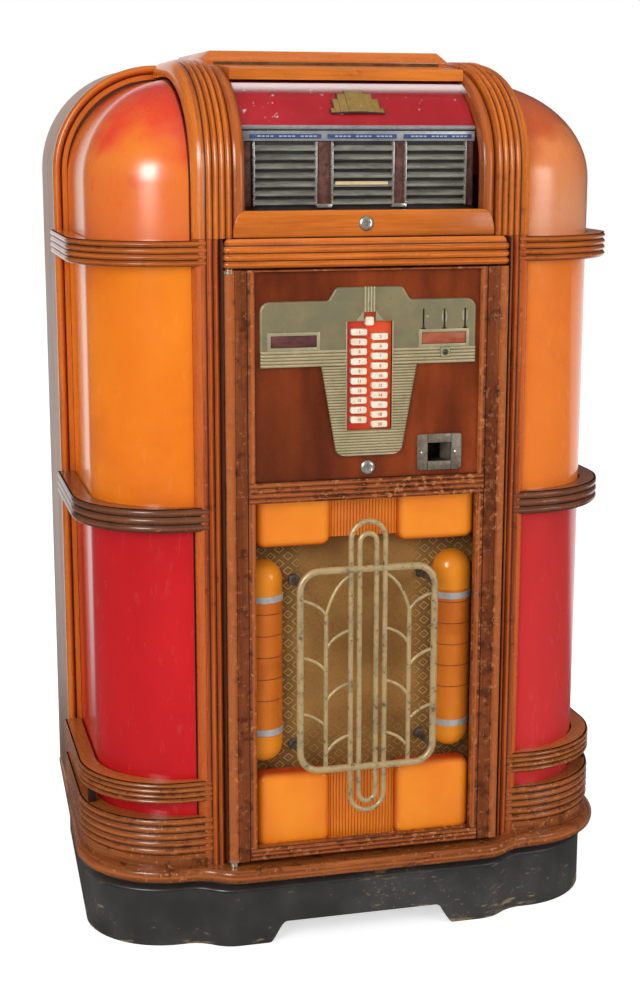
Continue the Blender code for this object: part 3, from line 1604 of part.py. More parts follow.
door_pivot = new_pivot("door_pivot", (hinge_x, back(hinge_depth), door_bottom))
door_pieces = [make_door_frame(), make_selector_panel(), make_escutcheon(), make_button_plate(),
               make_coin_unit(), make_cloth_board(), make_cast_grille()]
door_pieces.append(make_plastic("plastic_top", top_block_bottom, box_top - gap,
                                top_block_bottom + top_flute_inset, box_top - gap, 1))
door_pieces.append(make_plastic("plastic_bottom", box_bottom + gap, bottom_block_top,
                                box_bottom + gap, bottom_block_top - bottom_flute_inset, -1))
door_pieces.append(make_lock_plug("door_lock_plug", (0, back(panel_front), door_lock_height)))
door_pieces += make_buttons()
door_pieces.append(make_square_button("reset_button", reset_size, button_length,
                                      (0, back(button_front), reset_height), ivory))
door_pieces.append(make_square_button("coin_reject_button", reject_size, reject_length,
                                      (reject_x, back(reject_front), reject_height), nickel))
hang_on(door_pivot, door_pieces)
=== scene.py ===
"""Looks of a floor-standing coin phonograph of about 1940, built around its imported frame.

Units are metres. +Z is up, the front faces -Y and +X is the viewer's right. Places come from the
frame's own nodes, and depths are counted backwards from the front of the door frame.
"""

import math

import bmesh
import bpy
from mathutils import Matrix, Vector


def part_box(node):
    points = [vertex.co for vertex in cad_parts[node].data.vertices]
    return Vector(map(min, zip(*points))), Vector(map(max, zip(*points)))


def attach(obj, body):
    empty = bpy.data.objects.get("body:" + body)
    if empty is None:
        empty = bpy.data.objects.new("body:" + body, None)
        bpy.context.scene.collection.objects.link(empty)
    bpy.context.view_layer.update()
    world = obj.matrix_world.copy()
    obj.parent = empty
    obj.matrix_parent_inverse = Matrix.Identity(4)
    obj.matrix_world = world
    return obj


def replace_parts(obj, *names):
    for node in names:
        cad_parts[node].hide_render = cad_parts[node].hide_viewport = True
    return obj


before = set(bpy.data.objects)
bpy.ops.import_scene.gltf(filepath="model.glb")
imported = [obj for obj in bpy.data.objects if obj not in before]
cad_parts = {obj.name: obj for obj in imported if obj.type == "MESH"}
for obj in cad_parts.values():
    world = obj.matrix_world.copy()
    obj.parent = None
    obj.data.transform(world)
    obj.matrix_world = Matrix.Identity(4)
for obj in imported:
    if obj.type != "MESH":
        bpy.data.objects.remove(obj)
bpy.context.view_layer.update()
door_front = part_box("selector_panel")[0].y - 0.008


# Studio: a pale floor under white surroundings, seen from in front and a little from the left.
# Soft lamps light it from the left, the right and above, and a fourth one shows only in gloss.
# Gloss sees a dim room too, white at its rear and on a strip of the floor behind the cabinet.
camera_place = Vector((-0.7401, -2.8776, 1.3225))
camera_turn = math.radians(-14.315)
camera_tilt = math.radians(90 - 11.811)
camera_roll = math.radians(0.107)
focal_pixels = 1734
photo_height_pixels = 986
film_width = 36
floor_reach = 14
white = (1.0, 1.0, 1.0, 1.0)


class Finish:
    """A socket of a finish. Arithmetic on it adds Math nodes, and node() adds any other node."""

    def __init__(self, tree, socket=None):
        self.tree = tree
        self.socket = socket

    def node(self, kind, settings=None, sockets=None, out=0):
        made = self.tree.nodes.new(kind)
        for name, value in (settings or {}).items():
            if name == "stops":
                ramp = made.color_ramp.elements
                while len(ramp) < len(value):
                    ramp.new(0.5)
                for stop, (place, color) in zip(ramp, value):
                    stop.position = place
                    stop.color = color
            else:
                setattr(made, name, value)
        for name, value in (sockets or {}).items():
            if isinstance(value, Finish):
                self.tree.links.new(value.socket, made.inputs[name])
            else:
                made.inputs[name].default_value = value
        return Finish(self.tree, made.outputs[out] if made.outputs else None)

    def math(self, operation, *values):
        return self.node("ShaderNodeMath", {"operation": operation}, dict(enumerate(values)))

    def mix(self, share, *colors):
        """Colour between two colours, by a share from 0 to 1."""
        first, second = [(*color, 1) if isinstance(color, tuple) else color for color in colors]
        return self.node("ShaderNodeMix", {"data_type": "RGBA"}, {0: share, 6: first, 7: second}, 2)

    def axis(self, name):
        """X, Y or Z of a place."""
        return self.node("ShaderNodeSeparateXYZ", None, {0: self}, name)

    def noise(self, scale, detail=4.0, roughness=0.55, stretch=(1, 1, 1), place=(0, 0, 0)):
        """Noise over a place, finer along an axis with a larger stretch."""
        spread = self.node("ShaderNodeMapping", None, {"Vector": self, "Scale": stretch,
                                                       "Location": place})
        return self.node("ShaderNodeTexNoise", None, {"Vector": spread, "Scale": scale,
                                                      "Detail": detail, "Roughness": roughness}, "Fac")

    def step(self, low, high):
        """0 below low and 1 above high, smooth between them."""
        return self.node("ShaderNodeMapRange", {"interpolation_type": "SMOOTHSTEP"},
                         {0: self, 1: low, 2: high, 3: 0.0, 4: 1.0})

    def __add__(self, other):
        return self.math("ADD", self, other)

    def __sub__(self, other):
        return self.math("SUBTRACT", self, other)

    def __rsub__(self, other):
        return self.math("SUBTRACT", other, self)

    def __mul__(self, other):
        return self.math("MULTIPLY", self, other)

    __radd__ = __add__
    __rmul__ = __mul__


def make_studio():
    camera = bpy.data.objects.new("camera", bpy.data.cameras.new("camera"))
    camera.data.sensor_width = film_width
    camera.data.lens = film_width * focal_pixels / photo_height_pixels
    camera.matrix_world = (Matrix.Translation(camera_place) @ Matrix.Rotation(camera_turn, 4, "Z")
                           @ Matrix.Rotation(camera_tilt, 4, "X") @ Matrix.Rotation(camera_roll, 4, "Z"))
    bpy.context.scene.collection.objects.link(camera)
    bpy.context.scene.camera = camera
    bpy.context.scene.view_settings.view_transform = "Standard"

    for name, place, size, power in (("key", (-2.7, -3.0, 2.5), (1.9, 1.9), 56),
                                     ("gloss", (-2.7, -3.0, 2.4), (2.2, 3.0), 400),
                                     ("front", (2.9, -3.3, 1.9), (1.6, 1.6), 34),
                                     ("above", (0.2, -0.6, 4.2), (2.4, 2.4), 36)):
        lamp = bpy.data.lights.new(name, "AREA")
        lamp.shape = "RECTANGLE"
        lamp.size, lamp.size_y = size
        lamp.energy = power
        holder = bpy.data.objects.new(name, lamp)
        holder.location = place
        aim = Vector((0, 0, 0.75)) - Vector(place)
        holder.rotation_euler = aim.to_track_quat("-Z", "Y").to_euler()
        holder.visible_glossy = name not in ("key", "above")
        holder.visible_diffuse = name != "gloss"
        bpy.context.scene.collection.objects.link(holder)
        if name == "gloss":
            lamp.use_nodes = True
            cloth = Finish(lamp.node_tree)
            spot = cloth.node("ShaderNodeNewGeometry", None, None, "Parametric")
            fall = [0.5 - cloth.math("ABSOLUTE", spot.axis(way) - 0.5) for way in ("X", "Y")]
            soft = fall[0].step(0.0, 0.42) * fall[1].step(0.0, 0.48)
            lamp.node_tree.links.new(soft.socket, lamp.node_tree.nodes["Emission"].inputs["Strength"])

    bm = bmesh.new()
    bmesh.ops.create_grid(bm, x_segments=1, y_segments=1, size=floor_reach)
    floor = object_of("floor", bm)
    return floor


def object_of(name, bm):
    """Turns a finished bmesh into an object of the scene."""
    mesh = bpy.data.meshes.new(name)
    bm.to_mesh(mesh)
    bm.free()
    made = bpy.data.objects.new(name, mesh)
    bpy.context.scene.collection.objects.link(made)
    return made


def ray_shares(finish):
    """1 for a ray that shows the surroundings: from the camera, by gloss, or through glass."""
    rays = finish.node("ShaderNodeLightPath").socket.node.outputs
    return [Finish(finish.tree, rays[name])
            for name in ("Is Camera Ray", "Is Glossy Ray", "Is Transmission Ray")]


floor = make_studio()
floor_paint = bpy.data.materials.new("floor_paint")
floor_paint.use_nodes = True
tree = floor_paint.node_tree
tree.nodes.clear()
base = Finish(tree)
by_eye, by_gloss, through = ray_shares(base)
matt = base.node("ShaderNodeBsdfDiffuse", None, {"Color": (0.86, 0.86, 0.86, 1.0)})
seen = base.math("MAXIMUM", by_eye, through)
glow = base.node("ShaderNodeEmission", None, {"Color": white, "Strength": seen * 0.62})
both = base.node("ShaderNodeAddShader", None, {0: matt, 1: glow})
place = base.node("ShaderNodeTexCoord", None, None, "Object")
across, along = place.axis("X"), place.axis("Y")
behind = along.step(0.5, 1.3) * (across + along * 0.36).step(-0.45, 0.05)
dim = base.node("ShaderNodeEmission", None, {"Color": white, "Strength": behind + 0.10})
either = base.node("ShaderNodeMixShader", None, {0: by_gloss, 1: both, 2: dim})
base.node("ShaderNodeOutputMaterial", None, {"Surface": either})
floor.data.materials.append(floor_paint)

world = bpy.data.worlds.new("studio")
bpy.context.scene.world = world
world.use_nodes = True
world.node_tree.nodes.clear()
air = Finish(world.node_tree)
by_eye, by_gloss, through = ray_shares(air)
way = air.node("ShaderNodeTexCoord", None, None, "Generated")
rear_share = way.axis("Y").step(0.90, 0.98)
above_share = way.axis("Z").step(-0.1, 0.9)
gloss_strength = rear_share * 0.9 + above_share * 0.07 + 0.05
seen = air.math("MAXIMUM", by_eye, through)
strength = seen + by_gloss * gloss_strength + (1.0 - air.math("MAXIMUM", seen, by_gloss)) * 0.60
light = air.node("ShaderNodeBackground", None, {"Color": white, "Strength": strength})
air.node("ShaderNodeOutputWorld", None, {"Surface": light})


# Plinth: four painted walls on the floor, with a bead under the base board and a low arch cut in
# front. It is softwood under satin black paint, rubbed through to pale wood along the floor, the
# arch and the corners.
plinth_low, plinth_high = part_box("plinth")
base_low, base_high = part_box("base_moulding")
base_radius = 0.160
base_cove_angle = math.radians(38.88)
base_cove_radius = 0.0677
base_corner_step = 0.030
base_centre_half = 0.2053
plinth_inset = 0.023
plinth_front_inset = 0.038
plinth_bead = 0.004
plinth_bead_drop = 0.025
plinth_recess = 0.006
plinth_wall = 0.018
arch_half_width = 0.1615
arch_top_half = 0.130
arch_height = 0.036
plinth_spread = 1.016
base_taper = 0.036
turn_step = math.radians(4)


def put(name, bm, body, finish, smooth=30):
    """Makes a named piece of a mesh, gives it its finish and lets it ride on its body."""
    bmesh.ops.recalc_face_normals(bm, faces=bm.faces)
    piece = object_of(name, bm)
    piece.data.materials.append(finish)
    piece.data.shade_smooth()
    piece.data.set_sharp_from_angle(angle=math.radians(smooth))
    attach(piece, body)
    return piece


def verts_in(geom):
    return [part for part in geom if isinstance(part, bmesh.types.BMVert)]


def edges_in(geom):
    return [part for part in geom if isinstance(part, bmesh.types.BMEdge)]


def moulding(bm, section, place, heading, side, moves):
    """Drives a section along straight runs and turns, as a moulding is run round a cabinet.

    The section holds (out, along side, rise) points: rise is 0 in a groove and 1 on a crest. Each
    vertex keeps its run, its place across and its rise in the attribute called grain.
    """
    grain = bm.verts.layers.float_vector.get("grain") or bm.verts.layers.float_vector.new("grain")
    place, heading, side = Vector(place), Vector(heading), Vector(side)
    outward = heading.cross(side)
    row = [bm.verts.new(place + outward * out + side * across) for out, across, _ in section]
    across = 0.0
    for i, vertex in enumerate(row):
        if i:
            across += (row[i].co - row[i - 1].co).length
        vertex[grain] = (0.0, across, section[i][2])
    edges = [bm.edges.new(pair) for pair in zip(row, row[1:] + row[:1])]
    bmesh.ops.contextual_create(bm, geom=edges)
    run = 0.0
    for kind, *values in moves:
        if kind == "run":
            steps = [(Matrix.Translation(heading * values[0]), values[0])]
        else:
            radius, angle = values
            count = max(1, round(abs(angle) / turn_step))
            way = 1 if angle > 0 else -1
            centre = place - outward * radius * way
            spin = (Matrix.Translation(centre) @ Matrix.Rotation(angle / count, 4, side)
                    @ Matrix.Translation(-centre))
            steps = [(spin, radius * abs(angle) / count)] * count
        for matrix, length in steps:
            grown = bmesh.ops.extrude_edge_only(bm, edges=edges)["geom"]
            verts, edges = verts_in(grown), edges_in(grown)
            bmesh.ops.transform(bm, matrix=matrix, verts=verts)
            run += length
            for vertex in verts:
                vertex[grain] = (run, vertex[grain][1], vertex[grain][2])
            place = matrix @ place
            heading = matrix.to_3x3() @ heading
            outward = heading.cross(side)
    bmesh.ops.contextual_create(bm, geom=edges)


def mirror_across(bm):
    """Opens the cap on the middle plane and adds the other half, merged where they meet."""
    caps = [face for face in bm.faces if all(abs(vertex.co.x) < 0.0001 for vertex in face.verts)]
    bmesh.ops.delete(bm, geom=caps, context="FACES_ONLY")
    bmesh.ops.mirror(bm, geom=bm.verts[:] + bm.edges[:] + bm.faces[:], axis="X", merge_dist=0.0001)


def carve(piece, shapes):
    """Cuts closed shapes out of a piece."""
    for bm in shapes:
        bmesh.ops.recalc_face_normals(bm, faces=bm.faces)
        cutter = object_of("cutter", bm)
        modifier = piece.modifiers.new("carve", "BOOLEAN")
        modifier.operation = "DIFFERENCE"
        modifier.solver = "EXACT"
        modifier.object = cutter
        bpy.context.view_layer.update()
        graph = bpy.context.evaluated_depsgraph_get()
        mesh = bpy.data.meshes.new_from_object(piece.evaluated_get(graph))
        piece.modifiers.remove(modifier)
        piece.data = mesh
        bpy.data.objects.remove(cutter)
    piece.data.set_sharp_from_angle(angle=math.radians(30))


def soften(bm, edges, width, segments=2, profile=0.5):
    bmesh.ops.bevel(bm, geom=edges, offset=width, segments=segments, profile=profile,
                    affect="EDGES", material=-1)


def slab(bm, low, high, round_edges=0.0, segments=2):
    """Block between two corners, with its edges eased."""
    middle = (Vector(low) + Vector(high)) / 2
    size = Vector(high) - Vector(low)
    matrix = Matrix.Translation(middle) @ Matrix.Diagonal((*size, 1))
    made = bmesh.ops.create_cube(bm, size=1, matrix=matrix)["verts"]
    if round_edges:
        edges = list({edge for vertex in made for edge in vertex.link_edges})
        soften(bm, edges, round_edges, segments)


def extruded(bm, outline, depth):
    """Raises a flat outline of 3-D points by a vector into a closed solid."""
    verts = [bm.verts.new(point) for point in outline]
    face = bm.faces.new(verts)
    moved = verts_in(bmesh.ops.extrude_face_region(bm, geom=[face])["geom"])
    bmesh.ops.translate(bm, vec=depth, verts=moved)
    return verts + moved


def new_finish(name):
    """Material with a Principled shader: returns it, a starting socket and the place on it."""
    material = bpy.data.materials.new(name)
    material.use_nodes = True
    base = Finish(material.node_tree)
    return material, base, base.node("ShaderNodeTexCoord", None, None, "Object")


def surface(base, constants, **links):
    """Sets a finish's fixed values on its shader and links what varies over the surface."""
    shader = base.tree.nodes["Principled BSDF"]
    for name, value in constants.items():
        shader.inputs[name].default_value = value
    for name, value in links.items():
        base.tree.links.new(value.socket, shader.inputs[name.replace("_", " ")])


def bumped(base, height, strength, distance):
    return base.node("ShaderNodeBump", None, {"Strength": strength, "Distance": distance,
                                              "Height": height}, "Normal")


def along_grain(base):
    """Run, place across and rise that a moulding keeps in the attribute called grain."""
    return base.node("ShaderNodeAttribute", {"attribute_name": "grain"}, None, "Vector")


def black_paint_finish():
    """Old satin black paint: dust in its brush marks, and pale wood where feet have rubbed it."""
    paint, base, where = new_finish("old_black_paint")
    cloud = where.noise(9.0)
    scratch = where.noise(55.0, 6.0, 0.7, (0.35, 0.35, 1.6))
    speck = where.noise(190.0, 3.0, 0.6)
    low_share = 1.0 - where.axis("Z").step(0.0, 0.030)
    rubbed = (scratch + cloud * 0.35 + low_share * 0.10).step(0.80, 0.86)
    spots = (speck + cloud * 0.4).step(0.87, 0.93)
    worn = base.math("MAXIMUM", rubbed, spots * 0.7)
    dusty = base.mix(cloud.step(0.35, 0.75), (0.037, 0.036, 0.035), (0.076, 0.074, 0.069))
    color = base.mix(worn, dusty, (0.30, 0.19, 0.10))
    rough = cloud * 0.25 + 0.24 + worn * 0.3
    surface(base, {"Specular IOR Level": 0.55}, Base_Color=color, Roughness=rough,
            Normal=bumped(base, scratch * 0.5 - worn * 0.6 + cloud, 0.30, 0.0012))
    return paint


def base_moves(inset, front_inset):
    """Moves round the base from the middle of its front: centre, cove, corner and straight side."""
    cove_width = 2 * base_cove_radius * math.sin(base_cove_angle)
    corner_run = base_high.x - base_radius - base_centre_half - cove_width
    side_run = base_high.y - base_low.y - base_corner_step - front_inset - base_radius
    return [("run", base_centre_half), ("turn", base_cove_radius, base_cove_angle),
            ("turn", base_cove_radius, -base_cove_angle), ("run", corner_run),
            ("turn", base_radius - inset, math.pi / 2), ("run", side_run)]


def taper_to_rear(bm):
    """Draws the straight sides of a base piece in towards the rear."""
    start = base_low.y + base_corner_step + base_radius
    for vertex in bm.verts:
        depth = max(0, (vertex.co.y - start) / (base_high.y - start))
        vertex.co.x *= 1 - base_taper * depth


def make_plinth():
    bm = bmesh.new()
    top = plinth_high.z
    bead = top - plinth_bead_drop
    swell = [(plinth_bead * math.sin(math.pi * i / 6), bead + plinth_bead * (i / 3 - 1), 1.0)
             for i in range(7)]
    section = [(-plinth_wall, 0, 1), (-0.0015, 0, 1), (0, 0.0015, 1), (0, bead - 1.5 * plinth_bead, 1)]
    section += swell
    section += [(-plinth_recess, bead + 1.8 * plinth_bead, 0), (-plinth_recess, top, 0),
                (-plinth_wall, top, 0)]
    place = (0, base_low.y + plinth_front_inset, 0)
    moulding(bm, section, place, (1, 0, 0), (0, 0, 1), base_moves(plinth_inset, plinth_front_inset))
    mirror_across(bm)
    bmesh.ops.scale(bm, vec=(plinth_spread, 1, 1), verts=bm.verts)
    taper_to_rear(bm)
    plinth = put("plinth_walls", bm, "cabinet", black_paint_finish())
    bm = bmesh.new()
    rear, rear_half = plinth_high.y, plinth_high.x * 0.965
    slab(bm, (-rear_half, rear - plinth_wall, 0),
         (rear_half, rear - 0.0005, top - plinth_recess), 0.001)
    put("plinth_rear_wall", bm, "cabinet", plinth.data.materials[0])
    bm = bmesh.new()
    front = plinth_low.y - plinth_bead
    outline = [(-arch_half_width, -plinth_bead), (arch_half_width, -plinth_bead), (arch_half_width, 0)]
    bend = (arch_half_width - arch_top_half) / 2
    for i in range(9):
        share = i / 8
        x = arch_half_width - 2 * bend * share
        outline.append((x, arch_height * (1 - math.cos(math.pi * share)) / 2))
    outline += [(-x, z) for x, z in reversed(outline[3:])] + [(-arch_half_width, 0)]
    extruded(bm, [(x, front, z) for x, z in outline], (0, plinth_wall * 3, 0))
    carve(plinth, [bm])
    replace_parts(plinth, "plinth")


make_plinth()


# Base board, skirts and lower bands: solid walnut, run to profile and bent round the corners in
# glued strips. The board follows the plinth with a cove on each side of the door, the five-reed
# skirts stand on it, and the lower bands float above them on short posts. Old orange lacquer is
# rubbed thin on the crests, and the grooves are darkened with painted shade.
board_top = 0.1470
board_rim = 0.080
skirt_top = 0.2305
lower_band_bottom = 0.2569
lower_band_top = 0.2919
band_start = 0.2528
band_front = door_front + 0.0226
band_half = 0.4523
band_radius = 0.1580
band_end = door_front + 0.3837
band_thickness = 0.0290
reed_depth = 0.0042
skirt_reed_bottom = 0.1690
sides = ((-1, "left"), (1, "right"))


def reed_section(low, high, count, depth, steps=6):
    """Half-round reeds side by side, as (out, height, rise) points."""
    pitch = (high - low) / count
    points = []
    for i in range(count):
        for k in range(steps + 1):
            if i and k == 0:
                continue
            swell = math.sin(math.pi * k / steps) ** 0.8
            points.append((depth * (swell - 1), low + pitch * (i + k / steps), swell))
    return points


def shade(color, share):
    """A colour darker or lighter by a share of itself."""
    return tuple(min(1.0, c * share) for c in color)


def lacquered_wood(name, light, dark, groove, along="grain", wear=0.5, gloss=0.24, darkening=None):
    """Lacquered wood with streaks along its run, painted shade in its grooves and rubbed crests."""
    wood, base, around = new_finish(name)
    if along == "grain":
        where = along_grain(base)
        rise = where.axis("Z")
        flat = base.node("ShaderNodeMapping", None, {"Vector": where, "Scale": (1, 1, 0)})
        stretch = (1.0, 22.0, 1.0)
    else:
        flat = around
        rise = base.node("ShaderNodeValue") + 1.0  # no reeds: every point counts as a crest
        stretch = (1.0, 14.0, 22.0)
    wave = flat.noise(2.2, 3.0, 0.6, stretch)
    fibre = flat.noise(16.0, 5.0, 0.65, stretch)
    patch = around.noise(4.5, 3.0, 0.55)
    mark = around.noise(42.0, 6.0, 0.72)
    nick = around.noise(130.0, 3.0, 0.6)
    streak = (wave * 0.62 + fibre * 0.38).step(0.35, 0.65)
    color = base.mix(streak, dark, light)
    color = base.mix(patch.step(0.35, 0.8) * 0.45, color, shade(dark, 0.62))
    scuffed = (mark + patch * 0.25).step(0.78 - 0.12 * wear, 0.86 - 0.10 * wear)
    color = base.mix(scuffed * (0.35 + 0.4 * wear), color, shade(dark, 0.35))
    nicked = (nick + patch * 0.3).step(0.84 - 0.075 * wear, 0.90 - 0.065 * wear)
    bare_wood = tuple(c * 0.5 + bare for c, bare in zip(light, (0.28, 0.13, 0.05)))
    color = base.mix(nicked * wear, color, bare_wood)
    crest = rise.step(0.86, 1.0) * (0.18 + 0.36 * wear)
    color = base.mix(crest, color, shade(light, 1.25))
    # Given a range across, the wood is darker between those distances from the middle.
    if darkening:
        across = base.math("ABSOLUTE", around.axis("X"))
        inner, outer, blur = *darkening, 0.0015
        darker_face = across.step(inner, inner + blur) * (1.0 - across.step(outer - blur, outer))
        color = base.mix(darker_face * (patch * 0.8 + 0.15), color, shade(dark, 0.5))
    # Painted shade: where the rise is low, in the grooves, the wood is darkened to the groove colour.
    depth = 1.0 - rise.step(0.02, 0.42)
    color = base.mix(depth, color, groove)
    rough = fibre * 0.10 + mark * 0.18 + depth * 0.3 + (gloss - 0.10)
    surface(base, {"Specular IOR Level": 0.22, "Coat Weight": 0.45, "Coat Roughness": 0.12},
            Base_Color=color, Roughness=rough,
            Normal=bumped(base, fibre * 0.35 + mark * 0.5 - nicked * 0.8, 0.22, 0.0009))
    return wood


# The third colour of each lacquered wood is the painted shade in its grooves.
orange_wood = lacquered_wood("orange_lacquered_wood", (0.76, 0.205, 0.024), (0.40, 0.080, 0.010),
                             (0.070, 0.022, 0.009))
base_wood = lacquered_wood("worn_base_wood", (0.46, 0.130, 0.028), (0.19, 0.046, 0.010),
                           (0.034, 0.012, 0.006), wear=0.9)


def make_base_board():
    bm = bmesh.new()
    low, high = plinth_high.z + 0.0003, board_top
    middle = (low + high) / 2
    half = (high - low) / 2
    nose = [(-0.006 * (1 - math.cos(math.asin(abs(i) / 5))), middle + half * i / 5, 1 - abs(i) / 10)
            for i in range(-5, 6)]
    section = [(-board_rim, low, 1)] + nose + [(-board_rim, high, 1)]
    moulding(bm, section, (0, base_low.y, 0), (1, 0, 0), (0, 0, 1), base_moves(0, 0))
    mirror_across(bm)
    taper_to_rear(bm)
    board = put("base_board", bm, "cabinet", base_wood)
    bm = bmesh.new()
    lap = board_rim - 0.002
    slab(bm, (base_low.x + lap, base_low.y + lap, low + 0.001),
         (base_high.x - lap, base_high.y - 0.001, high - 0.001))
    put("base_board_inside", bm, "cabinet", base_wood)
    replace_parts(board, "base_moulding")


def band_piece(name, side, low, high, reed_low, count, finish, node=None):
    """Band on one side: from the pilaster round the corner and back to the case moulding."""
    bm = bmesh.new()
    face = reed_section(reed_low, high, count, reed_depth)
    if reed_low > low:
        face = [(-reed_depth * 0.4, low, 0.6), (-reed_depth * 0.4, reed_low - 0.0015, 0.6)] + face
    section = face + [(-0.0015, high, 1), (-band_thickness, high, 1), (-band_thickness, low, 0.5)]
    corner_x = band_half - band_radius
    moves = [("run", corner_x - band_start), ("turn", band_radius, math.pi / 2),
             ("run", band_end - band_front - band_radius)]
    moulding(bm, section, (band_start, band_front, 0), (1, 0, 0), (0, 0, 1), moves)
    bmesh.ops.scale(bm, vec=(side, 1, 1), verts=bm.verts)
    band = put(name, bm, "cabinet", finish)
    if node:
        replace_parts(band, node)


make_base_board()
post_angle = math.radians(74)
for side, word in sides:
    band_piece(f"skirt_{word}", side, board_top + 0.0002, skirt_top, skirt_reed_bottom, 5,
               base_wood)
    band_piece(f"lower_band_{word}", side, lower_band_bottom, lower_band_top, lower_band_bottom, 4,
               base_wood)
    reach = band_radius - 0.012
    x = band_half - band_radius + reach * math.sin(post_angle)
    y = band_front + band_radius - reach * math.cos(post_angle)
    bm = bmesh.new()
    slab(bm, (side * x - 0.006, y - 0.006, skirt_top - 0.001),
         (side * x + 0.006, y + 0.006, lower_band_bottom + 0.001), 0.001)
    put(f"band_post_{word}", bm, "cabinet", base_wood)


# Case: bent plywood with round shoulders, faced with walnut veneer whose grain stands upright on
# the sides. The lacquer has yellowed and dulled, and it is scratched. Inside are the plain boards
# that carry the works; they keep their bare plywood.
case_half = 0.4420
case_shoulder = 0.1750
case_top = 1.4270
case_front = door_front + 0.4000
case_rear = door_front + 0.5960
case_foot = 0.1473
veneer_thickness = 0.0030


def arch_moves():
    """Moves up one side of the case, over its round shoulders and down the other side."""
    side, shoulder = ("run", case_top - case_shoulder - case_foot), ("turn", case_shoulder, math.pi / 2)
    return [side, shoulder, ("run", 2 * (case_half - case_shoulder)), shoulder, side]


def veneer_finish():
    """Walnut veneer under old lacquer: broad figure, fine pores and pale scratches."""
    veneer, base, around = new_finish("walnut_veneer_sides")
    where = along_grain(base)
    figure = where.noise(3.0, 4.0, 0.55, (0.55, 9.0, 0.0))
    pore = where.noise(60.0, 4.0, 0.6, (0.35, 14.0, 0.0))
    patch = around.noise(3.0, 2.0)
    mark = around.noise(36.0, 6.0, 0.75, (1.0, 1.0, 0.35))
    streak = (figure * 0.75 + pore * 0.25).step(0.32, 0.68)
    color = base.mix(streak, (0.20, 0.070, 0.024), (0.40, 0.165, 0.062))
    color = base.mix(patch.step(0.3, 0.8) * 0.35, color, (0.13, 0.045, 0.018))
    scratched = (mark + patch * 0.2).step(0.80, 0.88)
    color = base.mix(scratched * 0.6, color, (0.52, 0.30, 0.15))
    surface(base, {"Coat Weight": 0.25, "Coat Roughness": 0.22}, Base_Color=color,
            Roughness=mark * 0.2 + pore * 0.1 + 0.26,
            Normal=bumped(base, pore * 0.5 + mark * 0.6, 0.16, 0.0008))
    return veneer


def make_case_skin():
    bm = bmesh.new()
    depth = case_rear - case_front
    section = [(0.0004, 0.0005, 1), (0.0004, -0.010, 1)]
    section += [(0.0004, 0.002 - depth * share, 1) for share in (0.25, 0.5, 0.75)]
    section += [(0.0004, -depth, 1), (-veneer_thickness, -depth, 1), (-veneer_thickness, 0.0005, 1)]
    moulding(bm, section, (case_half, case_front, case_foot), (0, 0, 1), (0, -1, 0), arch_moves())
    put("case_skin", bm, "cabinet", veneer_finish())


make_case_skin()


# Moulding round the front edge of the case: a half-round bead with a flat fillet inside it, bent
# over the shoulders in one length and glued to the case.
bead_depth = 0.0160
bead_width = 0.0212
bead_proud = 0.0020
bead_round = 0.0066


def make_arch_bead():
    bm = bmesh.new()
    section = [(bead_proud, 0.0, 1), (bead_proud, bead_depth * 0.45, 1)]
    for i in range(9):
        angle = math.pi * i / 8
        swell = math.sin(angle)
        section.append((bead_proud - bead_round + bead_round * math.cos(angle),
                        bead_depth * (0.45 + 0.54 * swell), 0.35 + 0.65 * swell))
    section += [(-0.0125, bead_depth * 0.55, 0.0), (-0.0135, bead_depth * 0.74, 1),
                (-bead_width, bead_depth * 0.74, 1), (-bead_width, 0.0, 0.4)]
    moulding(bm, section, (case_half, case_front - 0.0003, case_foot), (0, 0, 1), (0, -1, 0),
             arch_moves())
    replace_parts(put("case_moulding", bm, "cabinet", orange_wood), "arch_bead")


make_arch_bead()


# Pilasters: three reeds and an outer quarter round, bent over the top of the cabinet to the case.
# Below the rail the inner reed stops and gives way to the door. Walnut strips, laminated over a
# former, with the lacquer worn pale on the inner reeds and painted shade, near black, in the grooves.
rail_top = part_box("front_rail")[1].z
pilaster_inner = 0.2325
pilaster_strip = 0.2525
pilaster_outer = 0.2730
pilaster_front = door_front + 0.0200
pilaster_depth = 0.0420
pilaster_arc_depth = 0.0280
pilaster_reed = 0.0100
pilaster_rise = 0.0050
pilaster_flank_drop = 0.0200
crown_spring = rail_top + 0.1010
crown_rise = 0.1740
crown_run = 0.2720
crown_power = 2.12
crown_end = case_front - bead_depth - 0.0003


def pilaster_face(inner):
    """Front of a pilaster as (out, x, rise) points from its inner edge outwards."""
    points = []
    count = round((pilaster_strip - inner) / pilaster_reed)
    for i in range(count):
        for k in range(7):
            if i and k == 0:
                continue
            swell = math.sin(math.pi * k / 6) ** 0.8
            points.append((pilaster_rise * (swell - 1), inner + pilaster_reed * (i + k / 6), swell))
    run = pilaster_outer - pilaster_strip
    for i in range(1, 9):
        angle = math.radians(84 * (1 - i / 8))
        drop = pilaster_flank_drop - (pilaster_flank_drop - pilaster_rise / 2) * math.sin(angle)
        points.append((-drop, pilaster_strip + run * math.cos(angle), 0.35 + 0.65 * min(1.0, i / 2)))
    points[0] = (points[0][0], inner, 0.7)
    return points


def upright_moulding(bm, section, front, foot, moves):
    """Runs a section of (out, x, rise) points upwards from a height, with its face to the front."""
    across = [(out, -x, rise) for out, x, rise in section]
    moulding(bm, across, (0, front, foot), (0, 0, 1), (-1, 0, 0), moves)


def bend_over_crown(bm):
    """Turns the round bend of a swept piece into the flatter curve of the cabinet's crown."""
    spring, centre = crown_spring, pilaster_front + crown_run
    for vertex in bm.verts:
        up, across = vertex.co.z - spring, centre - vertex.co.y
        if up <= 0.00001 or across < 0:
            if across < 0 and up > 0:
                vertex.co.z = spring + crown_rise - (crown_run - up)
            continue
        radius = math.hypot(up, across)
        angle = math.atan2(up, across)
        offset = crown_run - radius
        vertex.co.y = centre - radius * abs(math.cos(angle)) ** (2 / crown_power)
        vertex.co.z = spring + (crown_rise - offset) * math.sin(angle) ** (2 / crown_power)


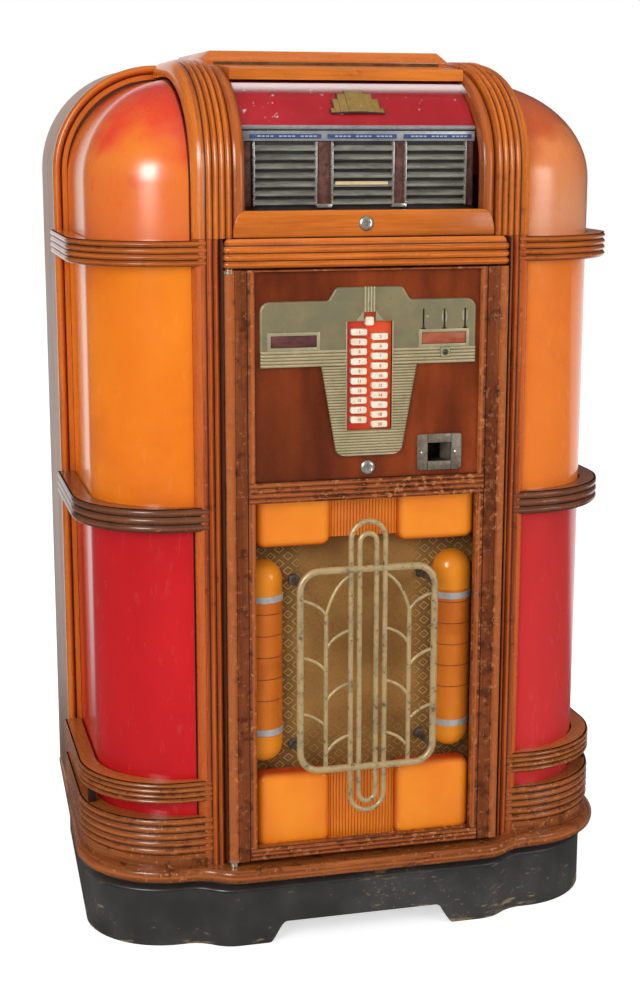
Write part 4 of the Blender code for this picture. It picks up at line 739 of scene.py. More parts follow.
def make_pilaster(side, word):
    post, crown = bmesh.new(), bmesh.new()
    section = pilaster_face(pilaster_inner)
    section += [(-pilaster_depth, pilaster_outer, 1), (-pilaster_depth, pilaster_inner, 1)]
    upright_moulding(post, section, pilaster_front, case_foot,
                     [("run", rail_top - 0.0003 - case_foot)])
    inner = pilaster_strip - 4 * pilaster_reed
    section = pilaster_face(inner)
    section += [(-pilaster_arc_depth, pilaster_outer, 1), (-pilaster_arc_depth, inner, 1)]
    upright_moulding(crown, section, pilaster_front, rail_top + 0.0003,
                     [("run", crown_spring - rail_top - 0.0003), ("turn", crown_run, math.pi / 2),
                      ("run", crown_end - pilaster_front - crown_run)])
    bend_over_crown(crown)
    for bm in (post, crown):
        bmesh.ops.scale(bm, vec=(side, 1, 1), verts=bm.verts)
    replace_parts(put(f"pilaster_post_{word}", post, "cabinet", pilaster_wood),
                f"pilaster_{word}")
    put(f"pilaster_crown_{word}", crown, "cabinet", orange_wood)


# The third colour is the painted shade in the grooves.
pilaster_wood = lacquered_wood("pilaster_wood", (0.62, 0.130, 0.022), (0.30, 0.048, 0.009),
                               (0.070, 0.021, 0.009), wear=0.7)
for side, word in sides:
    make_pilaster(side, word)


# Upper and middle bands: reeded like the skirts, the upper ones in the orange lacquer, the middle
# ones stained nearly black with brown showing on the crests.
# The third colour of each band wood is the painted shade in its grooves.
dark_band_wood = lacquered_wood("dark_band_wood", (0.24, 0.080, 0.034), (0.095, 0.034, 0.018),
                                (0.012, 0.006, 0.004), wear=0.8, gloss=0.22)
upper_band_wood = lacquered_wood("upper_band_wood", (0.58, 0.150, 0.024), (0.25, 0.054, 0.011),
                                 (0.045, 0.015, 0.007), wear=0.7, gloss=0.2)
for side, word in sides:
    for level, count, finish, slot_name in (("upper", 4, upper_band_wood, "wood"),
                                            ("middle", 3, dark_band_wood, "band_wood")):
        node = f"{level}_band_{word}"
        band_low, band_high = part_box(node)
        band_piece(f"{level}_band_reeds_{word}", side, band_low.z, band_high.z, band_low.z, count,
                   finish, node)


# Cross rail: three reeds that carry the lid's sill, turned back at both ends into the pilasters,
# with a bevel on top.
def make_cross_rail():
    bm = bmesh.new()
    rail_low, rail_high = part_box("front_rail")
    bevel, turn = 0.010, 0.014
    face = reed_section(rail_low.z, rail_high.z - bevel, 3, 0.0036)
    section = face + [(-bevel * 0.55, rail_high.z - bevel * 0.45, 1), (-bevel, rail_high.z, 1),
                      (-turn, rail_high.z, 1), (-turn, rail_low.z, 0.3)]
    half = rail_high.x - turn
    start = (-rail_high.x, door_front + 0.002 + turn, 0)
    moulding(bm, section, start, (0, -1, 0), (0, 0, 1),
             [("turn", turn, math.pi / 2), ("run", 2 * half), ("turn", turn, math.pi / 2)])
    slab(bm, (-half, start[1] - 0.001, rail_low.z + 0.0002),
         (half, door_front + 0.030, rail_high.z - 0.0002))
    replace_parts(put("cross_rail", bm, "cabinet", orange_wood), "front_rail")


make_cross_rail()


# Top cap: a hipped slab of solid wood on the case, with a block under its front edge for the
# lid's hinge.
def make_cap():
    bm = bmesh.new()
    cap_low, cap_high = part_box("top_cap")
    lip, slope = 0.0060, 0.0140
    under = cap_high.z - 0.0207
    front = door_front + 0.2725
    extruded(bm, [(cap_low.x, front, under), (cap_high.x, front, under),
                  (cap_high.x, cap_high.y, under), (cap_low.x, cap_high.y, under)], (0, 0, lip))
    top = max(bm.faces, key=lambda face: face.calc_center_median().z)
    raised = verts_in(bmesh.ops.extrude_face_region(bm, geom=[top])["geom"])
    bmesh.ops.delete(bm, geom=[top], context="FACES_ONLY")
    middle = Vector((0, (front + cap_high.y) / 2, 0))
    shrink = (1 - slope / cap_high.x, 1 - 2 * slope / (cap_high.y - front), 1)
    bmesh.ops.scale(bm, vec=shrink, space=Matrix.Translation(-middle), verts=raised)
    bmesh.ops.translate(bm, vec=(0, 0, cap_high.z - under - lip), verts=raised)
    bmesh.ops.recalc_face_normals(bm, faces=bm.faces)
    soften(bm, bm.edges[:], 0.0012)
    slab(bm, (cap_low.x + 0.0005, door_front + 0.2708, cap_low.z),
         (cap_high.x - 0.0005, crown_end, under + 0.001), 0.0008)
    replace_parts(put("cap_slab", bm, "cabinet", cap_wood), "top_cap")


cap_wood = lacquered_wood("cap_wood", (0.66, 0.175, 0.028), (0.36, 0.075, 0.012),
                          (0.030, 0.010, 0.005), along="x", wear=0.8)
make_cap()


# Corner plastics: sheets of cast phenolic bent round the lamps, red below and amber above, and
# domed caps moulded in red run into orange. The lamps are off; the sheets are translucent, and a
# faint glow in their own colour is painted on. They slide in behind the bands.
plastic_half = 0.4203
plastic_front = door_front + 0.0385
plastic_radius = 0.1460
plastic_inner = pilaster_outer + 0.0003
plastic_end = case_front - 0.0003
plastic_wall = 0.0030
dome_centre = Vector((pilaster_outer - 0.0230, door_front + 0.2950, 0))
dome_spring = 1.2440
dome_rise = 0.1600
dome_levels = 16


def plastic_finish(name, low_color, high_color, tint, glow, veins, vein_scale, gap_shade_edge=0.0, caps=None):
    """Cast phenolic: clouded colour, fine scratches, a deep polish and a painted glow."""
    plastic, base, where = new_finish(name)
    cloud = where.noise(3.2, 3.0, 0.5, (1, 1, 0.5))
    fine = where.noise(24.0, 5.0, 0.6, (1, 1, 0.6))
    scratch = where.noise(90.0, 5.0, 0.75, (1.0, 1.0, 0.25))
    color = base.mix((cloud * 0.8 + fine * 0.2).step(0.32, 0.68), low_color, high_color)
    swirl = base.node("ShaderNodeTexNoise", None,
                      {"Vector": where, "Scale": vein_scale, "Detail": 6.0, "Roughness": 0.6,
                       "Distortion": 1.7}, "Fac")
    color = base.mix(swirl.step(0.45, 0.67) * veins, color, tint)
    # Painted highlight: the domed ends, below and above the given heights, are lightened to bright
    # orange.
    if caps:
        level = where.axis("Z")
        low, high, blur = *caps, 0.002
        ends = base.math("MAXIMUM", level.step(high, high + blur), 1.0 - level.step(low - blur, low))
        color = base.mix(ends * 0.8, color, (0.90, 0.300, 0.016))
    bloom = (scratch + fine * 0.3).step(0.72, 0.95)
    color = base.mix(bloom * 0.05, color, (0.75, 0.50, 0.30))
    # Painted reflection haze: pieces on the right, past x = 0.2 m, are dulled towards a pale pink.
    across = where.axis("X")
    color = base.mix(across.step(0.20, 0.30) * 0.11, color, (0.45, 0.17, 0.14))
    # Painted shade of the gap between a left sheet and its pilaster: a near-black line along the inner
    # edge.
    if gap_shade_edge:
        leftward = 0.0 - across
        painted_gap_shade = leftward.step(plastic_inner - 0.001, plastic_inner)
        painted_gap_shade = painted_gap_shade * (1.0 - leftward.step(gap_shade_edge - 0.0014, gap_shade_edge))
        color = base.mix(painted_gap_shade, color, (0.020, 0.006, 0.004))
    # Emission in the surface colour is a painted glow; the lamps behind the sheets are off.
    surface(base, {"Coat Weight": 0.45, "Coat Roughness": 0.08, "Specular IOR Level": 0.25,
                   "Emission Strength": glow}, Base_Color=color, Emission_Color=color,
            Roughness=fine * 0.08 + bloom * 0.22 + 0.20,
            Normal=bumped(base, cloud * 2.0 + scratch * 0.08, 0.05, 0.002))
    return plastic


# The fourth number of each plastic is the strength of its painted glow.
amber_plastic = plastic_finish("amber_plastic", (0.80, 0.175, 0.006), (0.90, 0.250, 0.010),
                               (0.55, 0.07, 0.01), 0.12, 0.25, 2.4)
red_plastic = plastic_finish("red_plastic", (0.50, 0.006, 0.010), (0.64, 0.010, 0.014),
                             (0.36, 0.004, 0.008), 0.08, 0.3, 2.4, pilaster_outer + 0.0036)


def dome_finish(name, low_color, high_color, cloud_color, haze, side):
    """Phenolic of a dome: a second colour in clouds towards the crown and the pilaster, bloom, and a
    painted glow.
    """
    plastic, base, where = new_finish(name)
    outward = where.axis("X") * side
    height = where.axis("Z")
    drift = where.noise(4.0, 2.0, 0.5)
    puff = where.noise(11.0, 3.0, 0.55)
    wisp = base.node("ShaderNodeTexNoise", None, {"Vector": where, "Scale": 8.0, "Detail": 2.0,
                                                  "Distortion": 1.1}, "Fac")
    fine = where.noise(90.0, 5.0, 0.75, (1.0, 1.0, 0.3))
    color = base.mix(drift.step(0.35, 0.65), low_color, high_color)
    dense = height * 5.2 - outward * 2.6 + drift * 2.6 + puff * 1.4
    color = base.mix(dense.step(7.60, 8.25) * 0.92, color, cloud_color)
    color = base.mix(wisp.step(0.56, 0.61) * 0.32, color, cloud_color)
    bloom = (fine * 0.5 + puff * 0.5 - height * 2.4).step(-2.70, -2.25) * haze
    color = base.mix(bloom, color, (0.76, 0.36, 0.19))
    # Painted shade of the gap at the pilaster, on the left dome only.
    painted_gap_shade = (1.0 - outward.step(pilaster_outer + 0.0022, pilaster_outer + 0.0036)) * (0.3 - side * 0.6)
    color = base.mix(painted_gap_shade, color, (0.020, 0.006, 0.004))
    # Emission in the surface colour is a painted glow.
    surface(base, {"Coat Weight": 1.0, "Coat Roughness": 0.20, "Specular IOR Level": 0.35,
                   "Emission Strength": 0.07}, Base_Color=color, Emission_Color=color,
            Roughness=fine * 0.12 + bloom * 0.2 + 0.22,
            Normal=bumped(base, drift + fine * 0.04, 0.05, 0.002))
    return plastic


left_dome_plastic = dome_finish("left_dome_plastic", (0.80, 0.150, 0.012), (0.86, 0.250, 0.022),
                                (0.76, 0.030, 0.008), 0.08, -1)
right_dome_plastic = dome_finish("right_dome_plastic", (0.68, 0.180, 0.045), (0.76, 0.240, 0.070),
                                 (0.52, 0.080, 0.012), 0.55, 1)


def sheet_plan(bm, z):
    """Runs one vertex along the plan of a corner sheet, from the pilaster to the case."""
    corner = Vector((plastic_half - plastic_radius, plastic_front + plastic_radius, z))
    start = bm.verts.new((plastic_inner, plastic_front, z))
    bend = bm.verts.new((corner.x, plastic_front, z))
    bm.edges.new((start, bend))
    bmesh.ops.spin(bm, geom=[bend], cent=corner, axis=(0, 0, 1), angle=math.pi / 2, steps=20,
                   use_merge=False, use_duplicate=False)
    side = max(bm.verts, key=lambda vertex: vertex.co.y)
    bmesh.ops.extrude_vert_indiv(bm, verts=[side])["verts"][0].co.y = plastic_end


def make_sheet(name, side, low, high, finish, node):
    bm = bmesh.new()
    sheet_plan(bm, low)
    grown = bmesh.ops.extrude_edge_only(bm, edges=bm.edges[:])["geom"]
    bmesh.ops.translate(bm, vec=(0, 0, high - low), verts=verts_in(grown))
    finish_sheet(bm, name, side, finish, node)


def finish_sheet(bm, name, side, finish, node):
    """Faces a corner sheet outwards, mirrors it to its side and gives it its wall."""
    bmesh.ops.recalc_face_normals(bm, faces=bm.faces)
    face = min(bm.faces, key=lambda item: item.calc_center_median().y)
    if face.normal.y > 0:
        bmesh.ops.reverse_faces(bm, faces=bm.faces)
    bmesh.ops.solidify(bm, geom=bm.faces[:], thickness=plastic_wall)
    bmesh.ops.scale(bm, vec=(side, 1, 1), verts=bm.verts)
    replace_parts(put(name, bm, "cabinet", finish, 40), node)


def make_dome(side, word, low, finish):
    bm = bmesh.new()
    sheet_plan(bm, low)
    edges = bm.edges[:]
    closing = math.acos((plastic_inner - dome_centre.x) / (plastic_half - dome_centre.x) * 1.05)
    share_before, level = 1.0, low
    for i in range(dome_levels + 1):
        angle = closing * i / dome_levels
        share = math.cos(angle)
        grown = bmesh.ops.extrude_edge_only(bm, edges=edges)["geom"]
        verts, edges = verts_in(grown), edges_in(grown)
        ratio = share / share_before
        rear = max(verts, key=lambda vertex: vertex.co.y)
        bmesh.ops.scale(bm, vec=(ratio, ratio, 1), space=Matrix.Translation(-dome_centre), verts=verts)
        rear.co.y = plastic_end
        for vertex in verts:
            vertex.co.x = max(vertex.co.x, plastic_inner)
        height = dome_spring + dome_rise * math.sin(angle)
        bmesh.ops.translate(bm, vec=(0, 0, height - level), verts=verts)
        share_before, level = share, height
    bmesh.ops.remove_doubles(bm, verts=bm.verts, dist=0.00005)
    finish_sheet(bm, f"dome_cap_{word}", side, finish, f"dome_{word}")


for side, word in sides:
    for color, finish in (("red", red_plastic), ("amber", amber_plastic)):
        sheet_low, sheet_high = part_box(f"{color}_panel_{word}")
        make_sheet(f"{color}_sheet_{word}", side, sheet_low.z, sheet_high.z, finish,
                   f"{color}_panel_{word}")
    make_dome(side, word, sheet_high.z + 0.0003,
              left_dome_plastic if side < 0 else right_dome_plastic)


# Lid: two bent arches joined by a sill in front and a header at the back, hinged on the cap's
# block. The arches lie inside the pilasters' crowns, their faces rounded, and the sill is a
# straight board with a lock. Orange lacquer, in better order than the base.
lid_half = 0.2113
lid_inner_half = 0.1900
lid_inset = 0.0060
lid_thickness = 0.0200
lid_rear = door_front + 0.2675
sill_top = 1.2020
header_front = door_front + 0.1370
header_bottom = 1.4005
header_height = 0.0180
hinge_radius = 0.0030
lid_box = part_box("window_frame")


def crown_sweep(section, start_z, end_y):
    """Sweeps an (out, across, rise) section from a height over the crown and cuts it at a depth."""
    bm = bmesh.new()
    upright_moulding(bm, section, pilaster_front, start_z,
                     [("run", crown_spring - start_z), ("turn", crown_run, math.pi / 2)])
    bend_over_crown(bm)
    cut = bmesh.ops.bisect_plane(bm, geom=bm.verts[:] + bm.edges[:] + bm.faces[:],
                                 plane_co=(0, end_y, 0), plane_no=(0, 1, 0), clear_outer=True)
    bmesh.ops.holes_fill(bm, edges=edges_in(cut["geom_cut"]))
    return bm


def arc(x, z, run, rise, first, last, steps):
    """Points of an arc about (x, z), from one angle to another."""
    angles = [first + (last - first) * i / steps for i in range(steps + 1)]
    return [(x + run * math.cos(angle), z + rise * math.sin(angle)) for angle in angles]


def plate(bm, outline, front, rear, ease, segments=3):
    """Raises an (x, z) outline from a front to a rear depth and eases its front rim."""
    made = set(extruded(bm, [(x, front, z) for x, z in outline], (0, rear - front, 0)))
    rims = [edge for edge in bm.edges
            if all(vertex in made and abs(vertex.co.y - front) < 0.00001 for vertex in edge.verts)]
    soften(bm, rims, ease, segments)


def turned(bm, profile, place, axis, steps=40, angle=math.tau):
    """Turns (radius, along) points about an axis through a place, or half round its front."""
    before = set(bm.verts)
    verts = [bm.verts.new((radius, 0, along)) for radius, along in profile]
    edges = [bm.edges.new(pair) for pair in zip(verts, verts[1:])]
    bmesh.ops.spin(bm, geom=edges, cent=(0, 0, 0), axis=(0, 0, -1), angle=angle, steps=steps,
                   use_merge=angle == math.tau, use_duplicate=False)
    made = [vertex for vertex in bm.verts if vertex not in before]
    way = Vector(axis).to_track_quat("Z", "Y").to_matrix().to_4x4()
    if axis[2] == 1:
        way = Matrix.Identity(4)
    bmesh.ops.transform(bm, matrix=Matrix.Translation(place) @ way, verts=made)
    bmesh.ops.remove_doubles(bm, verts=made, dist=0.00002)


def rod(bm, radius, low, high, place, axis, steps=40):
    """Plain round bar between two distances along an axis through a place."""
    turned(bm, [(0, low), (radius, low), (radius, high), (0, high)], place, axis, steps)


def make_lid_frame():
    section = []
    for i in range(9):
        swell = math.sin(math.pi * i / 8) ** 0.45
        section.append((-lid_inset - 0.0075 * (1 - swell),
                        lid_inner_half + (lid_half - lid_inner_half) * i / 8, 0.3 + 0.7 * swell))
    rear = -lid_inset - lid_thickness
    section += [(rear, lid_half, 1), (rear, lid_inner_half, 1)]
    for side, word in reversed(sides):
        bm = crown_sweep(section, lid_box[0].z, lid_rear)
        bmesh.ops.scale(bm, vec=(side, 1, 1), verts=bm.verts)
        arch = put(f"lid_arch_{word}", bm, "lid", lid_wood)
    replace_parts(arch, "window_frame")

    front = pilaster_front + lid_inset
    reach = lid_inner_half + 0.0015
    low, half, foot = lid_box[0].z, lid_half - 0.0006, 0.006
    outline = [(-half, low), (half, low)]
    outline += arc(reach, low + foot, half - reach, sill_top - low - foot, 0, math.pi / 2, 8)
    outline += [(-x, z) for x, z in reversed(outline[2:])]
    bm = bmesh.new()
    plate(bm, outline, front - 0.0015, front + lid_thickness, 0.0022)
    sill = put("lid_sill", bm, "lid", sill_wood)
    lock_low, lock_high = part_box("lid_lock_plug")
    middle = (lock_low + lock_high) / 2
    bm = bmesh.new()
    rod(bm, (lock_high.x - lock_low.x) / 2 + 0.0003, front - 0.005, front + lid_thickness + 0.005,
        (middle.x, 0, middle.z), (0, 1, 0))
    carve(sill, [bm])

    hinge_z, nose = lid_box[1].z - hinge_radius, 0.004
    outline = [(header_front, header_bottom)]
    outline += arc(header_front + nose, header_bottom + header_height - nose, -nose, nose,
                   0, math.pi / 2, 4)
    outline += [(lid_rear, hinge_z - hinge_radius / 2), (lid_rear, header_bottom)]
    bm = bmesh.new()
    extruded(bm, [(-reach, y, z) for y, z in outline], (2 * reach, 0, 0))
    put("lid_header", bm, "lid", sill_wood)
    bm = bmesh.new()
    rod(bm, hinge_radius, -reach, reach, (0, lid_rear, hinge_z), (1, 0, 0), 20)
    put("lid_hinge_barrel", bm, "lid", hinge_brass)


def nickel_finish(name, color=(0.58, 0.56, 0.51), rough=0.26):
    """Nickel plate gone slightly dull, with brown tarnish in patches and fine scratches."""
    nickel, base, where = new_finish(name)
    patch = where.noise(60.0, 5.0, 0.65)
    fine = where.noise(260.0, 4.0, 0.7)
    tarnish = (patch * 0.7 + fine * 0.3).step(0.50, 0.72)
    tinted = base.mix(tarnish, color, (0.22, 0.18, 0.13))
    surface(base, {"Metallic": 0.72}, Base_Color=tinted,
            Roughness=tarnish * 0.3 + fine * 0.15 + (rough - 0.08),
            Normal=bumped(base, patch + fine * 0.4, 0.15, 0.0004))
    return nickel


def plain_finish(name, low_color, high_color, scale, rough, metallic=0.0, bump=0.2, stretch=(1, 1, 1)):
    """Painted, printed or oxidised surface with a fine mottle and grain of its own scale."""
    paint, base, where = new_finish(name)
    mottle = where.noise(scale, 5.0, 0.6, stretch)
    grain = where.noise(scale * 6, 3.0, 0.6, stretch)
    mixed = mottle * 0.65 + grain * 0.35
    color = base.mix(mixed.step(0.33, 0.67), low_color, high_color)
    surface(base, {"Metallic": metallic}, Base_Color=color, Roughness=mixed * 0.25 + (rough - 0.12),
            Normal=bumped(base, mixed, bump, 0.0008))
    return paint


# The third colour is the painted shade in the grooves.
lid_wood = lacquered_wood("lid_wood", (0.53, 0.132, 0.022), (0.25, 0.050, 0.010),
                          (0.045, 0.015, 0.007), wear=0.45, gloss=0.20)
sill_wood = lacquered_wood("sill_wood", (0.73, 0.198, 0.022), (0.36, 0.070, 0.009),
                           (0.06, 0.02, 0.01), along="x", wear=0.25, gloss=0.20)
hinge_brass = plain_finish("hinge_brass", (0.10, 0.050, 0.020), (0.26, 0.140, 0.060), 60, 0.4, 0.5)
make_lid_frame()


# Window: one sheet of bent glass that slides in between the arches, from the sill to the header.
window_thickness = 0.004


def glass_finish():
    """Clear glass: see-through from in front, mirror-like at a glance, with a pale painted reflection
    under the header.
    """
    glass, base, where = new_finish("bent_glass")
    dust = where.noise(60.0, 5.0, 0.7).step(0.60, 0.85)
    facing = base.node("ShaderNodeLayerWeight", None, {"Blend": 0.5}, "Facing")
    edge = base.math("POWER", facing, 5.0)
    height = where.axis("Z")
    # Painted reflection: a pale, nearly opaque strip along the top of the glass, under the header.
    painted_reflection_strip = (height + dust * 0.002 - header_bottom).step(-0.024, -0.008)
    patch = where.noise(8.0, 3.0)
    fleck = (where.noise(80.0, 4.0, 0.65) + patch * 0.25).step(0.79, 0.82)
    chips = fleck * (height - header_bottom).step(-0.080, -0.050)
    pale = base.math("MAXIMUM", painted_reflection_strip * 0.74, chips * 0.7)
    surface(base, {"Base Color": (0.94, 0.93, 0.95, 1)}, Alpha=edge * 0.3 + dust * 0.02 + pale,
            Metallic=1.0 - pale, Roughness=dust * 0.2 + 0.05)
    return glass


def make_window():
    half = lid_inner_half - 0.0003
    face, rear = -2 * lid_inset, -2 * lid_inset - window_thickness
    section = [(face, -half, 1), (face, half, 1), (rear, half, 1), (rear, -half, 1)]
    bm = crown_sweep(section, sill_top + 0.0003, header_front - 0.0003)
    window = put("bent_window", bm, "lid", glass_finish(), 40)
    window.visible_shadow = False
    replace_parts(window, "window_glass")


make_window()


# Title holder behind the window: a dark board with three columns of seven sheet-metal slats that
# hold the title slips, flanked by bright strips and brown crackle panels; above them a blue
# instruction strip, left without words, a bright bar, and a red enamelled band under the glass.
title_front = door_front + 0.0680
title_half = 0.1885
slat_bottom = rail_top + 0.0480
slat_pitch = 0.0138
slat_count = 7
strip_bottom = slat_bottom + slat_count * slat_pitch + 0.0034
strip_height = 0.0110
bar_height = strip_bottom + strip_height + 0.0075
bar_radius = 0.0032
band_top = header_bottom - 0.0030
band_crest = door_front + 0.1580
column_places = (-0.1205, 0.0040, 0.1230)
column_half = 0.0478
slat_top = slat_bottom + slat_count * slat_pitch
divider_places = (-0.0575, 0.0635)
divider_half = 0.0140
side_panel_place = 0.1800
side_panel_half = 0.0060
slip_lean = math.radians(-16)


def slat_finish():
    """Zinc-plated sheet, dull grey-green, with fine streaks along it."""
    sheet, base, where = new_finish("zinc_slats")
    long = where.noise(40.0, 4.0, 0.6, (0.4, 1.0, 2.0))
    fine = where.noise(220.0, 3.0, 0.6, (0.3, 1.0, 1.0))
    color = base.mix((long * 0.7 + fine * 0.3).step(0.3, 0.7),
                     (0.14, 0.138, 0.115), (0.34, 0.33, 0.275))
    surface(base, {"Metallic": 0.25}, Base_Color=color, Roughness=long * 0.25 + 0.30,
            Normal=bumped(base, fine, 0.15, 0.0004))
    return sheet


def enamel_finish():
    """Red enamel on sheet, a little chipped and scratched to pale spots, with a painted glow."""
    enamel, base, where = new_finish("red_enamel")
    patch = where.noise(8.0, 3.0)
    chip = where.noise(75.0, 4.0, 0.65)
    chipped = (chip + patch * 0.25).step(0.83, 0.86)
    color = base.mix(patch.step(0.3, 0.7), (0.33, 0.006, 0.012), (0.43, 0.010, 0.017))
    color = base.mix(chipped, color, (0.62, 0.42, 0.36))
    # Emission in the surface colour is a painted glow.
    surface(base, {"Coat Weight": 0.4, "Coat Roughness": 0.1, "Emission Strength": 0.10},
            Base_Color=color, Emission_Color=color, Roughness=chipped * 0.4 + 0.22,
            Normal=bumped(base, patch - chipped, 0.2, 0.0006))
    return enamel


def crackle_strip(bm, middle, half):
    """Strip of brown crackle beside a column of slats."""
    slab(bm, (middle - half, title_front - 0.0030, slat_bottom - 0.002),
         (middle + half, title_front + 0.001, slat_top), 0.0008)


def make_title_holder():
    nickel = nickel_finish("old_nickel")
    zinc = slat_finish()
    backing = plain_finish("black_backing", (0.010, 0.009, 0.008), (0.035, 0.028, 0.022), 30, 0.6)
    bm = bmesh.new()
    foot, front, half = rail_top + 0.0003, title_front, title_half
    slab(bm, (-half, front, foot), (half, front + 0.007, bar_height - 0.001), 0.0006)
    slab(bm, (-half, front + 0.006, foot), (half, front + 0.030, foot + 0.007), 0.0006)
    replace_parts(put("title_backing", bm, "cabinet", backing), "title_board")

    bm = bmesh.new()
    rise, run = band_top - bar_height, band_crest - front
    last = bm.verts.new((-half, front + 0.001, bar_height))
    for i in range(1, 13):
        share = i / 12
        bulge = 0.011 * math.sin(math.pi * share)
        last = bmesh.ops.extrude_vert_indiv(bm, verts=[last])["verts"][0]
        last.co = (-half, front + 0.001 + run * share - bulge * 0.62,
                   bar_height + rise * share + bulge * 0.78 * (1 - share))
    grown = bmesh.ops.extrude_edge_only(bm, edges=bm.edges[:])["geom"]
    bmesh.ops.translate(bm, vec=(2 * half, 0, 0), verts=verts_in(grown))
    bmesh.ops.recalc_face_normals(bm, faces=bm.faces)
    bmesh.ops.solidify(bm, geom=bm.faces[:], thickness=0.0015)
    put("title_red_band", bm, "cabinet", enamel_finish())

    bm = bmesh.new()
    rod(bm, bar_radius, -half, half, (0, front - 0.0005, bar_height), (1, 0, 0), 24)
    slab(bm, (-half, front - 0.0028, strip_bottom - 0.0022),
         (half, front + 0.001, strip_bottom + strip_height + 0.0022), 0.0006)
    put("title_bright_bar", bm, "cabinet", bar_plate)

    for number, (middle, half) in enumerate(((-0.1190, 0.0570), (0.0035, 0.0560), (0.1270, 0.0560)), 1):
        bm = bmesh.new()
        slab(bm, (middle - half, front - 0.0032, strip_bottom + 0.0014),
             (middle + half, front - 0.0020, strip_bottom + strip_height - 0.0026), 0.0003)
        put(f"instruction_strip_{number}", bm, "cabinet", blue_card)
        bm = bmesh.new()
        for i in range(14):
            x = middle + half * (0.12 * i - 0.78)
            if i % 5 != 4:
                slab(bm, (x, front - 0.0035, strip_bottom + 0.0042),
                     (x + half * 0.085, front - 0.0030, strip_bottom + 0.0060))
        put(f"instruction_dashes_{number}", bm, "cabinet", pale_print)

    for number, middle in enumerate(column_places, 1):
        bm = bmesh.new()
        for i in range(slat_count):
            low = slat_bottom + slat_pitch * i
            nose = [(0.0012, -0.0006), (-0.0062, 0.0002), (-0.0072, 0.0012), (-0.0064, 0.0036),
                    (-0.0014, 0.0082), (0.0012, 0.0092)]
            extruded(bm, [(middle - column_half, front + y, low + z) for y, z in nose],
                     (2 * column_half, 0, 0))
        put(f"title_slats_{number}", bm, "cabinet", zinc)
        bm = bmesh.new()
        for edge in (-1, 1):
            x = middle + edge * (column_half + 0.0016)
            slab(bm, (x - 0.0016, front - 0.0076, slat_bottom - 0.001),
                 (x + 0.0016, front + 0.001, slat_top), 0.0006)
            for i in range(slat_count + 1):
                turned(bm, [(0, -0.0007), (0.0007, -0.0006), (0.0011, 0.0002), (0.0011, 0.0007)],
                       (x, front - 0.0078, slat_bottom + 0.004 + i * slat_pitch * 0.96), (0, 1, 0), 10)
        put(f"title_strips_{number}", bm, "cabinet", nickel)

    for number, middle in enumerate(divider_places, 1):
        bm = bmesh.new()
        crackle_strip(bm, middle, divider_half * 0.78)
        put(f"crackle_divider_{number}", bm, "cabinet", crackle)
        bm = bmesh.new()
        slab(bm, (middle - divider_half * 0.85, front - 0.0080, slat_bottom - 0.004),
             (middle + divider_half * 0.85, front + 0.001, slat_bottom + 0.0018), 0.0006)
        put(f"divider_clip_{number}", bm, "cabinet", nickel)
    bm = bmesh.new()
    for side in (-1, 1):
        crackle_strip(bm, side * side_panel_place, side_panel_half)
    put("title_side_panels", bm, "cabinet", crackle)

    bm = bmesh.new()
    low, middle = slat_bottom + 2 * slat_pitch, column_places[1]
    slab(bm, (middle - column_half * 0.92, front - 0.0074, low + 0.0008),
         (middle + column_half * 0.86, front - 0.0068, low + 0.0088), 0.0002)
    bmesh.ops.rotate(bm, cent=(0, front - 0.0074, low), verts=bm.verts,
                     matrix=Matrix.Rotation(slip_lean, 3, "X"))
    put("title_slip", bm, "cabinet", old_paper)


bar_plate = plain_finish("bar_plate", (0.30, 0.30, 0.31), (0.46, 0.46, 0.47), 30, 0.3, 0.4, 0.05)
blue_card = plain_finish("blue_card", (0.020, 0.055, 0.165), (0.045, 0.095, 0.235), 60, 0.5)
pale_print = plain_finish("pale_print", (0.38, 0.44, 0.50), (0.52, 0.56, 0.60), 90, 0.6)
crackle = plain_finish("brown_crackle", (0.045, 0.012, 0.008), (0.190, 0.066, 0.042), 75, 0.55, 0.0, 0.8)
old_paper = plain_finish("old_paper", (0.62, 0.42, 0.20), (0.80, 0.62, 0.36), 70, 0.8, 0.0, 0.2,
                         (0.4, 1, 3))
make_title_holder()


# Ornament on the red band: a plain stepped arch of brass-coloured enamel with a black outline round
# it that is a painted shadow, of no maker's design. It stands in the place of a printed badge.
def make_ornament():
    lean = math.atan2(band_crest - title_front, band_top - bar_height)
    spot = (Matrix.Translation((0.002, title_front + 0.0165, bar_height + 0.0215))
            @ Matrix.Rotation(-lean * 0.92, 4, "X"))
    black = bpy.data.materials["old_black_paint"]
    for name, rim, sink, slot_name, finish in (
            ("stepped_ornament", 0.0, 0.0, "antique_brass", gold_paint),
            ("ornament_shadow_line", 0.0016, 0.0008, "black_paint", black)):
        bm = bmesh.new()
        for half, rise, thick in ((0.0430, 0.0100, 0.0022), (0.0370, 0.0300, 0.0030),
                                  (0.0280, 0.0420, 0.0038), (0.0150, 0.0500, 0.0046)):
            slab(bm, (-half - rim, sink - thick, -rim), (half + rim, sink / 4, rise + rim), 0.0012)
        bmesh.ops.transform(bm, matrix=spot, verts=bm.verts)
        put(name, bm, "cabinet", finish)


gold_paint = plain_finish("gold_paint", (0.28, 0.165, 0.035), (0.41, 0.250, 0.065), 80, 0.35, 0.2)
make_ornament()


